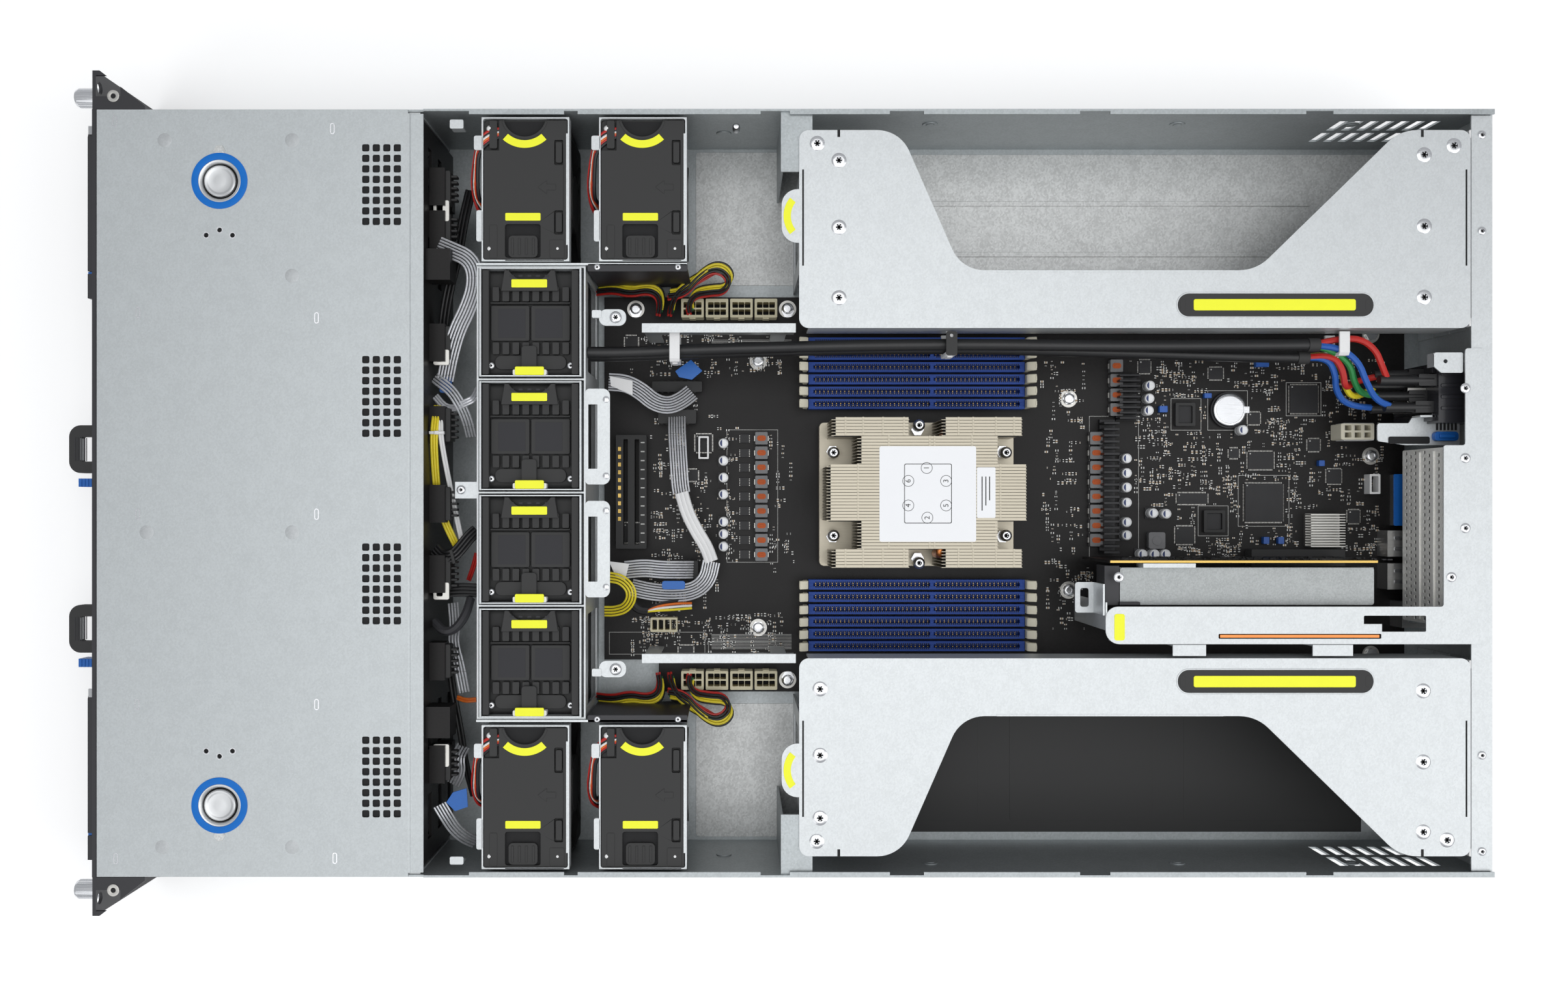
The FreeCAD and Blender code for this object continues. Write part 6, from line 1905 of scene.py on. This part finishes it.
@dataclass
class MainsLeads:
    """Two black leads along the board whose coloured conductors show at the inlet."""

    radius: float = 3.4

    def build(self) -> None:
        """Lay the sheaths, the conductors, the sleeves and the clips."""
        self.sheaths()
        self.conductors()
        self.clips()

    def sheaths(self) -> None:
        """The black sheaths from the fan cage to where the conductors come out."""
        mould = Mould()
        mould.tube(smoothed([
            (-118.9, 82.0, 71.0), (-97.0, 82.0, 71.0), (-50.0, 84.0, 71.0), (80.0, 87.0, 71.5),
            (190.0, 85.5, 72.5), (268.0, 86.0, 72.2), (303.0, 86.5, 71.0)], 3), self.radius, 14)
        mould.tube(smoothed([
            (-118.9, 81.0, 62.5), (-97.0, 81.0, 62.5), (-50.0, 83.0, 62.5), (80.0, 86.0, 63.0),
            (190.0, 83.0, 64.0), (262.0, 80.5, 64.0), (300.0, 80.0, 63.0)], 3), self.radius, 14)
        made = mould.piece("mains_sheaths", Finishes.jacket, smooth=True)
        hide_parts("mains_cables")

    def conductors(self) -> None:
        """Six thick wires, their black sleeves and crimped lugs at the inlet."""
        starts = ((303.0, 86.5, 71.0), (300.0, 80.0, 63.0))
        routes = (
            ("a_red", Finishes.wire_red, [
                starts[0], (316.0, 89.5, 73), (329.0, 90.0, 74), (338.0, 83.5, 74), (342.0, 75.0, 73),
                (347.0, 66.0, 70)]),
            ("a_blue", Finishes.wire_blue, [
                starts[0], (318.0, 84.0, 75), (328.0, 76.0, 75), (333.0, 65.0, 73), (340.0, 54.5, 70),
                (352.0, 50.6, 66)]),
            ("a_green", Finishes.wire_green, [
                starts[0], (316.0, 82.5, 71), (325.0, 75.0, 71), (328.0, 66.0, 68), (335.0, 58.6, 62),
                (349.0, 57.6, 58)]),
            ("b_yellow", Finishes.wire_yellow, [
                starts[1], (314.0, 81.5, 66), (322.5, 74.0, 65), (325.0, 64.0, 62), (333.0, 56.0, 56),
                (349.0, 64.0, 52)]),
            ("b_blue", Finishes.wire_blue, [
                starts[1], (313.0, 79.0, 68), (318.0, 70.0, 67), (320.0, 61.0, 62), (328.0, 52.4, 58),
                (349.0, 50.6, 54)]),
            ("b_red", Finishes.wire_red, [
                starts[1], (315.0, 80.5, 70), (321.0, 72.5, 70), (324.0, 61.0, 66), (332.0, 66.0, 60),
                (349.0, 70.0, 58)]))
        sleeves = Mould()
        for name, finish, route in routes:
            Run(f"conductor_{name}", finish, route, 1.9, 1).build()
            x, y, z = route[-1]
            sleeves.tube(smoothed([(x - 5.0, y, z), (x + 8.0, y, z), (373.0, y, z)]), 2.9, 12)
            sleeves.prism(rounded(364.0, 375.0, y - 3.4, y + 3.4, 0.8), z - 2.6, z + 2.6)
        sleeves.piece("heat_sleeves", Finishes.jacket, smooth=True)
        collars = Mould()
        for x, y, z in starts:
            collars.tube([(x - 3, y, z), (x + 3.5, y, z)], 3.9, 16)
        collars.piece("sheath_ends", Finishes.fan, smooth=True)

    def clips(self) -> None:
        """Saddle clips that hold the leads to the left card cage's side."""
        mould = Mould()
        for x, y in ((-68.2, 83.0), (91.6, 86.8), (318.6, 86.6)):
            mould.prism([
                (y - 6.9, 56.0), (y - 6.9, 76.6), (y - 5.0, 78.2), (93.6, 78.2), (93.6, 76.6),
                (y - 4.4, 76.6), (y - 4.9, 75.6), (y - 4.9, 58.0), (93.6, 58.0), (93.6, 56.0)], x - 3.0,
                x + 3.0, "X")
            mould.block(x - 1.6, x + 1.6, y - 7.7, y - 6.7, 62.0, 72.0)
        mould.piece("lead_clips", Finishes.clip_white, bevel=0.35)
        clamp = Mould()
        clamp.plate(rounded(88.4, 94.8, 79.6, 93.4, 1.4), [disc(91.6, 91.0, 1.1, 14)], 78.2, 79.6)
        clamp.piece("lead_clamp", Finishes.fan, bevel=0.3)


@dataclass
class LowCage:
    """What shows on and under the low cage: riser board, panel, slots, brackets, screws."""

    top: float = CAGE_TOP
    outer: float = -86.5
    seed: int = 11

    def build(self) -> None:
        """Make the details that ride on the low cage."""
        self.riser_board()
        self.slot_covers()
        self.top_plate()
        self.brackets()
        screws = Screws("riser_screws", "low_cage")
        for x, y in ((186.0, -48.0), (376.0, -48.0), (384.0, 60.0), (384.0, 20.0), (384.0, -20.0)):
            screws.add(x, y, self.top - 0.2, 2.9, 0.9)
        screws.done()

    def riser_board(self) -> None:
        """Gold contacts, small parts and the upper edge of the upright riser board."""
        gold, dark = Mould(), Mould()
        gold.block(181.4, 334.6, -39.9, -38.5, 84.1, 84.9)
        gold.piece("riser_edge", Finishes.gold, "low_cage", 0.1)
        chance = random.Random(self.seed)
        for _ in range(120):
            x, z = chance.uniform(194, 342), chance.uniform(34, 80)
            dark.block(x, x + chance.uniform(0.8, 3.2), -38.5, -37.8, z, z + chance.uniform(0.8, 2.4))
        dark.piece("riser_parts", Finishes.package, "low_cage", 0.1)

    def slot_covers(self) -> None:
        """Upright perforated covers with pressed ribs, hung under the rear arm, in a pale finish that
        paints the light from above; a near-black sheet behind them is painted shade.
        """
        sheet, ribs = Mould(), Mould()
        holes = []
        for row in range(9):
            for column in range(25):
                y = -74.0 + 4.1 * column + (2.05 if row % 2 else 0.0)
                z = 35.5 + 5.6 * row
                if y < 25.0 and row not in (3, 6):
                    holes.append(disc(y, z, 1.45, 6))
        sheet.plate(rounded(-76.5, 26.5, 31.0, 84.6, 1.2), holes, 374.2, 375.0, "X")
        # Painted shade: a near-black sheet behind the perforated covers.
        back = Mould()
        back.block(375.2, 375.8, -76.0, 26.0, 31.0, 84.0)
        back.piece("low_slot_shade", Finishes.painted_shade, "low_cage")
        # Painted light: the covers and their ribs are paler than the zinc, as if lit from above.
        sheet.piece("low_slot_covers", Finishes.perforated, "low_cage", 0.1)
        for z in (52.3, 69.1, 82.4):
            ribs.prism(rounded(-75.0, 25.0, z - 1.4, z + 1.4, 1.2), 373.3, 374.3, "X")
        ribs.piece("low_slot_ribs", Finishes.perforated, "low_cage", 0.3)

    def top_plate(self) -> None:
        """The plate with its arm, the lower panel, the skirts, slots, edge and label."""
        top = self.top
        outline = filleted([
            (178.5, -64.9, 7), (371.6, -64.9, 1.5), (371.6, 27.4, 1.5), (384.0, 27.4, 1.5),
            (384.0, 82.8, 1.5), (395.8, 82.8, 1.5), (395.8, -86.3, 1.5), (178.5, -86.3, 8)])
        slots = [rounded(243.0, 336.0, -83.2, -80.4, 0.6), rounded(326.0, 361.6, -79.2, -70.0, 0.8)]
        plate = Mould()
        plate.plate(outline, slots, top - 1.0, top)
        plate.block(325.8, 336.4, -79.4, -74.8, top - 0.9, top - 0.1)
        plate.block(186.5, 386.0, -86.4, -85.4, 62.0, top - 0.8)
        plate.block(178.6, 179.6, -78.5, -62.5, 11.0, top - 0.8)
        plate.block(200.0, 230.0, -42.6, -40.2, 71.9, 85.9)
        made = plate.piece("low_cage_plate", Finishes.zinc, "low_cage", 0.3)
        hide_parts("riser_cage")
        panel = Mould()
        panel.prism(rounded(189.0, 336.0, -64.6, -42.8, 1.6), 76.0, 77.0)
        panel.block(189.0, 336.0, -43.8, -42.8, 60.0, 76.5)
        panel.piece("riser_panel", Finishes.panel, "low_cage", 0.3)
        side = Mould()
        side.block(179.8, 188.6, -64.8, -41.6, 60.0, 78.0)
        side.block(188.0, 200.0, -64.6, -62.6, 77.0, 80.0)
        side.piece("riser_bracket", Finishes.black_steel, "low_cage", 0.4)
        board = Mould()
        board.block(181.0, 335.0, -40.0, -38.4, 22.0, 84.0)
        board.piece("riser_sheet", Finishes.board, "low_cage", 0.15)
        edge = Mould()
        edge.block(244.0, 335.0, -82.6, -81.0, top - 3.0, top - 0.4)
        edge.piece("riser_board_edge", Finishes.copper, "low_cage")
        label = Mould()
        label.prism(rounded(183.4, 189.4, -84.2, -69.0, 1.4), top - 0.02, top + 0.2)
        label.piece("riser_mark", Finishes.yellow, "low_cage", 0.1)

    def brackets(self) -> None:
        """Z-shaped brackets on the outer side and the hooked arm at the front."""
        mould = Mould()
        for x0, x1 in ((217.0, 236.0), (297.0, 320.0)):
            mould.prism([
                (self.outer - 0.2, 85.6), (self.outer - 6.6, 85.6), (self.outer - 6.6, 84.4),
                (self.outer - 1.2, 84.4), (self.outer - 1.2, 70.0), (self.outer - 0.2, 70.0)], x0, x1, "X")
        mould.plate(
            rounded(166.5, 178.3, -70.0, -52.0, 1.6), [rounded(169.5, 174.5, -66.5, -55.5, 1.4)], 62.0,
            63.4)
        mould.block(177.2, 178.3, -70.0, -52.0, 62.0, 84.9)
        mould.piece("riser_brackets", Finishes.zinc, "low_cage", 0.3)


@dataclass
class RearWall:
    """Slot covers, brackets, a header, a blue latch and the inlet's details at the rear."""

    top: float = 84.9

    def build(self) -> None:
        """Make the rear's details."""
        self.covers()
        self.sheets()
        self.inlet()
        screws = Screws("rear_screws")
        for x, y in ((394.0, 205.0), (394.0, 150.0), (394.0, -150.0), (394.0, -205.0)):
            screws.add(x, y, self.top, 2.4, 0.9)
        screws.done()

    def covers(self) -> None:
        """Bright perforated slot covers with pressed ribs, seen past the low cage."""
        ribs, holes = Mould(), Mould()
        for k in range(3):
            y = -62.0 + 34.0 * k
            for row in range(5):
                for column in range(3):
                    # Painted shade: near-black discs for the holes.
                    holes.prism(disc(y - 8 + 8 * column, 38.0 + 5.6 * row, 1.7, 6), 397.0, 397.75, "X")
            ribs.prism(rounded(y - 13.6, y + 13.6, 36.0, 66.4, 2.0), 396.7, 397.3, "X")
        ribs.piece("cover_ribs", Finishes.zinc, bevel=0.3)
        holes.piece("cover_holes", Finishes.painted_shade)
        clips = Mould()
        for y in (205.7, 98.0, -98.0, -205.7):
            clips.prism(rounded(386.9, 389.6, y - 2.4, y + 2.4, 0.8), 80.0, 84.6)
        clips.piece("rear_clips", Finishes.clip_white, bevel=0.3)

    def sheets(self) -> None:
        """The brackets above and below the mains inlet, a header and a blue latch."""
        mould = Mould()
        mould.plate(filleted(
            [(367.0, 80.6, 1.2), (383.6, 80.6, 1), (383.6, 69.0, 1), (371.0, 69.0, 2), (367.0, 72.5, 2)]),
            [disc(373.6, 75.6, 1.2, 16)], 83.2, 84.2)
        mould.block(367.0, 368.0, 72.5, 80.4, 76.0, 83.6)
        mould.prism(filleted([
            (345.5, 31.0, 1.5), (345.5, 41.5, 1.5), (364.0, 41.5, 1), (366.0, 45.0, 2), (394.0, 47.5, 1),
            (394.0, 28.6, 1), (362.0, 28.6, 1)]), 59.0, 60.2)
        mould.block(366.0, 394.0, 44.6, 45.6, 60.0, 70.0)
        mould.piece("inlet_brackets", Finishes.zinc, bevel=0.25)
        # Painted shade: near-black pieces in the bracket's openings and slots.
        dark = Mould()
        dark.prism(rounded(352.0, 376.0, 29.4, 33.6, 1.0), 60.2, 61.0)
        for k in range(6):
            dark.block(380.0 + 2.2 * k, 381.2 + 2.2 * k, 37.4, 42.0, 60.1, 60.6)
        dark.piece("bracket_openings", Finishes.painted_shade)
        shell = Mould()
        wells = [
            rounded(341.0 + 6.0 * c, 345.2 + 6.0 * c, 34.8 + 4.4 * r, 38.0 + 4.4 * r, 0.5, 2)
            for c in range(3) for r in range(2)]
        shell.plate(rounded(338.8, 359.2, 33.6, 43.4, 0.8), wells, 11.0, 26.0)
        shell.piece("fan_power_header", Finishes.cream, bevel=0.2)
        blue = Mould()
        blue.prism(rounded(377.5, 391.6, 31.0, 36.4, 2.0), 60.2, 64.0)
        blue.block(380.0, 389.0, 32.6, 34.8, 64.0, 65.4)
        blue.piece("blue_latch", Finishes.tab_blue, bevel=0.3)

    def inlet(self) -> None:
        """Tabs, ribs and a slotted end on the inlet's block."""
        mould = Mould()
        for y in (44.6, 72.4):
            mould.block(372.8, 374.9, y - 2.2, y + 2.2, 24.0, 70.0)
        for k in range(4):
            y = 48.5 + 6.6 * k
            mould.prism(rounded(376.0, 397.0, y, y + 2.0, 0.8), 74.0, 74.7)
        mould.piece("inlet_ribs", Finishes.inlet, bevel=0.3)
        tabs = Mould()
        for y in (50.0, 54.5, 61.0, 69.0):
            for z in (40.0, 58.0):
                tabs.block(364.0, 374.9, y - 1.6, y + 1.6, z, z + 0.9)
        tabs.piece("inlet_tabs", Finishes.tin, bevel=0.15)


@dataclass
class FanCage:
    """Screws, rivets, plates and side walls round the fans."""

    def build(self) -> None:
        """Make the plates, their screws and the dark side walls."""
        plates, walls, rivets = Mould(), Mould(), Mould()
        for x, y in ((-112.0, 32.0), (-112.0, -32.0)):
            for dy in (-22.0, 22.0):
                rivets.lathe(
                    (x + 4.5, y + dy, 80.0), [(0, 0), (2.0, 0), (1.8, 0.6), (0.9, 0.95), (0, 1.0)], 16)
        for side in (1, -1):
            plates.prism(rounded(-115.7, -110.2, side * 101.0, side * 105.5, 0.8), 76.0, 80.0)
            plates.plate(
                rounded(-111.6, -96.0, side * 96.5, side * 106.0, 4.2, 8),
                [disc(-101.0, side * 101.3, 1.9, 20)], 78.4, 79.6)
            walls.block(-118.0, -60.4, side * 128.0, side * 129.2, 20.0, 81.0)
            walls.prism(rounded(-118.0, -60.6, side * 127.4, side * 131.9, 0.8), 80.8, 82.0)
        screws = Screws("fan_cage_screws")
        for side in (1, -1):
            screws.add(-102.0, side * 101.3, 79.6, 3.4, 1.6)
            screws.add(-66.0, side * 129.8, 82.0, 1.9, 1.2)
            screws.add(-112.4, side * 129.8, 82.0, 1.9, 1.2)
        screws.add(-191.0, 2.0, 79.2, 2.6, 1.6)
        screws.done()
        plates.block(-194.6, -182.0, -3.0, 6.6, 78.2, 79.2)
        plates.piece("fan_cage_plates", Finishes.zinc, bevel=0.25)
        walls.piece("fan_cage_walls", Finishes.black_steel, bevel=0.25)
        rivets.piece("fan_cage_rivets", Finishes.bright, smooth=True)


@dataclass
class FrontBays:
    """The front's black plastic: lever details, grips, blue latches and thumbscrews."""

    front: float = -400.0

    def build(self) -> None:
        """Make the front's pieces."""
        self.thumbscrews()
        self.lever_marks()
        self.grips()

    def thumbscrews(self) -> None:
        """Knurled captive thumbscrews and the recessed screws in the ears."""
        mould, dark = Mould(), Mould()
        for side in (1, -1):
            y = side * 232.55
            mould.lathe((self.front - 0.2, y, 62.0), [
                (0, 0), (4.0, 0), (4.2, 3.0), (5.4, 3.8), (5.4, 18.6), (4.9, 19.8), (3.4, 20.6), (0, 20.7)],
                36, axis="-X")
            for k in range(24):
                angle = 2 * math.pi * k / 24
                mould.turned(
                    (self.front - 11.4, y + 5.35 * math.cos(angle), 62.0 + 5.35 * math.sin(angle)),
                    (14.4, 0.55, 0.55), math.degrees(angle), "X")
            # Painted shade: a near-black bar in each thumbscrew's slot.
            dark.turned((self.front - 20.6, y, 62.0), (1.2, 6.4, 1.3), 0, "X")
        made = mould.piece("thumbscrews", Finishes.bright, smooth=True)
        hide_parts("ear_screws")
        dark.piece("thumb_slots", Finishes.painted_shade)
        gusset, recess = Mould(), Mould()
        for side in (1, -1):
            place = (-388.0, side * 226.6, 87.0)
            ring = [(1.5, 0.05), (3.4, 0), (3.4, 0.4), (2.9, 0.48), (1.5, 0.3)]
            gusset.lathe(place, ring, 24, loop=True)
            # Painted shade: a near-black disc in each ear screw's recess.
            recess.lathe(place, [(0, 0), (1.6, 0), (1.6, 0.12), (0, 0.12)], 6)
        gusset.piece("gusset_rings", Finishes.tin, smooth=True)
        recess.piece("gusset_recesses", Finishes.painted_shade)

    def lever_marks(self) -> None:
        """A blue tick and a row of grip ridges on each lever."""
        for number in range(1, 7):
            left = number <= 3
            middle = 162.0 if left else -162.0
            level = 4.6 + 27.2 * ((number - 1) % 3) + 2.1
            ticks, ridges = Mould(), Mould()
            body = f"lever_{number}"
            ticks.block(-406.7, -404.2, middle - 35.4, middle - 34.2, level + 2.0, level + 16.6)
            ticks.piece(f"lever_tick_{number}", Finishes.tab_blue, body)
            for k in range(6):
                y = middle - 46.0 + 1.7 * k
                ridges.block(-406.9, -406.3, y, y + 0.8, level + 2.4, level + 16.0)
            ridges.piece(f"lever_ridges_{number}", Finishes.lever, body, 0.15)

    def grips(self) -> None:
        """Black sleeves and ribs on the loop grips, and ribs on each blue latch."""
        for side, middle, name in ((1, 54.0, "left"), (-1, -54.0, "right")):
            ribs, pads, sleeve = Mould(), Mould(), Mould()
            y = middle - 27.1
            sleeve.plate(
                filleted([
                    (-433.58, y - 14.4, 7), (-433.58, y + 14.4, 7), (-401.0, y + 14.4, 0.5),
                    (-401.0, y - 14.4, 0.5)]), [rounded(-427.3, -404.0, y - 7.4, y + 7.4, 1.5)], 37.95,
                44.25)
            sleeve.piece(f"grip_sleeve_{name}", Finishes.handle, f"supply_{name}", 0.2)
            for k in range(5):
                x = -430.4 + 1.05 * k
                ribs.block(x, x + 0.5, y - 7.0, y + 7.0, 44.1, 44.5)
                ribs.block(x, x + 0.5, y - 7.0, y + 7.0, 37.7, 38.1)
            ribs.piece(f"grip_ribs_{name}", Finishes.lever, f"supply_{name}", 0.1)
            latch = middle - 47.3
            for k in range(4):
                x = -425.4 + 2.0 * k
                pads.block(x, x + 0.9, latch - 2.5, latch + 2.4, 47.0, 47.5)
            pads.piece(f"latch_ribs_{name}", Finishes.tab_blue, f"squeeze_latch_{name}", 0.1)


@dataclass
class Chassis:
    """Rim edges, wall dimples, the floor of the open bays, the film's folds and a dowel."""

    def build(self) -> None:
        """Make the chassis details."""
        edges = Mould()
        for side in (1, -1):
            for x0, x1 in (
                    (-210.8, -185.2), (-184.8, -131.0), (-122.8, -19.0), (-1.8, 54.8), (74.7, 163.3),
                    (181.0, 292.3), (308.2, 399.6)):
                edges.block(x0, x1, side * 218.2, side * 219.15, 87.2, 87.45)
        edges.piece("rim_edges", Finishes.steel_edge)
        dimples = Mould()
        for side in (1, -1):
            for x in (81.7, 227.5, 330.0):
                dimples.prism(disc(x, 60.0, 4.6, 24), side * 217.4, side * 218.1, "Y")
                dimples.prism(disc(x, 60.0, 2.6, 20), side * 216.9, side * 217.5, "Y")
            dimples.prism(disc(-40.0, 40.0, 4.6, 24), side * 217.4, side * 218.1, "Y")
        dimples.piece("wall_dimples", Finishes.zinc_wall, bevel=0.3)
        floor = Mould()
        floor.prism(rounded(10.0, 384.0, 130.0, 214.6, 3.0), 1.2, 1.5)
        for k in range(2):
            floor.prism(rounded(60.0, 330.0, 150.0 + 32 * k, 153.0 + 32 * k, 1.4), 1.5, 2.3)
        for side in (1, -1):
            floor.prism(rounded(-58.0, 8.0, side * 132.0, side * 216.0, 2.0), 1.2, 1.5)
        floor.piece("bay_floor", Finishes.zinc_floor, bevel=0.3)
        film = Mould()
        for k in range(3):
            film.prism(rounded(30.0 + 110 * k, 120.0 + 110 * k, -206.0, -132.0, 2.0), 1.45, 1.6)
        film.piece("film_folds", Finishes.film, bevel=0.05)
        dowel = Mould()
        dowel.lathe((-32.6, 212.0, 70.0), [(0, 0), (2.2, 0), (2.2, 6.0), (1.4, 7.6), (0, 7.8)], 20)
        dowel.piece("dowel", Finishes.bright, smooth=True)


def dress_frame() -> None:
    """Give every node that stays in view its finish."""
    finishes = {
        Finishes.zinc_wall: ["chassis_tray"],
        Finishes.zinc: [
            "front_cover", "rear_panel", "card_cage_left", "card_cage_right", "riser_cage", "fan_cage",
            "bay_dividers"],
        Finishes.black_steel: ["front_frame", "rack_ears"],
        Finishes.bright: ["ear_screws", "board_screws"],
        Finishes.button: ["cover_button_left", "cover_button_right"],
        Finishes.drive: [f"drive_tray_{i}" for i in range(1, 7)],
        Finishes.lever: [f"tray_lever_{i}" for i in range(1, 7)],
        Finishes.supply: ["power_supply_left", "power_supply_right"],
        Finishes.tab_blue: ["supply_latch_left", "supply_latch_right"],
        Finishes.board: ["main_board", "backplane_board"],
        Finishes.fan: [f"{kind}_fan_{i}" for kind in ("side", "centre") for i in range(1, 5)],
        Finishes.wheel: [f"{kind}_rotor_{i}" for kind in ("side", "centre") for i in range(1, 5)],
        Finishes.fins: ["heatsink"],
        Finishes.socket_blue: ["memory_sockets"],
        Finishes.cream: ["memory_latches_front", "memory_latches_rear"],
        Finishes.header: ["board_connectors"],
        Finishes.package: ["board_components"],
        Finishes.port: ["rear_ports"],
        Finishes.handle: ["cage_handle_left", "cage_handle_right"],
        Finishes.inlet: ["power_inlet"],
        Finishes.jacket: ["mains_cables"],
        Finishes.film: ["insulating_film"]}
    for finish, nodes in finishes.items():
        for node in nodes:
            dress(node, finish)


def main() -> None:
    """Build the studio and the server's looks in order."""
    logging.basicConfig(level=logging.INFO, format="%(name)s: %(message)s")
    Studio().build()
    dress_frame()
    FrontCover().build()
    for number, (x, y) in enumerate(
            ((-178.5, 174.2), (-111.2, 174.2), (-178.5, -174.2), (-111.2, -174.2)), 1):
        SideFan(number, x, y).build()
    for number, (x, y) in enumerate(
            ((-180.6, 98.2), (-180.6, 33.0), (-180.6, -32.2), (-180.6, -97.4)), 1):
        CentreFan(number, x, y).build()
    Heatsink().build()
    Memory().build()
    MainBoard().build()
    FrontLooms().build()
    BoardLooms().build()
    MainsLeads().build()
    LowCage().build()
    RearWall().build()
    FanCage().build()
    FrontBays().build()
    Chassis().build()
    CageTrim(1, "left", (
        (13.7, 199.9), (26.1, 190.2), (26.1, 152.0), (26.1, 111.7), (360.5, 193.4), (377.5, 198.6),
        (360.5, 152.6), (360.5, 112.0))).build()
    CageTrim(-1, "right", (
        (15.3, -111.9), (15.3, -149.8), (15.3, -185.7), (13.4, -199.0), (359.9, -113.0), (359.9, -153.6),
        (359.9, -193.6), (373.5, -198.2))).build()


if __name__ == "__main__":
    main()
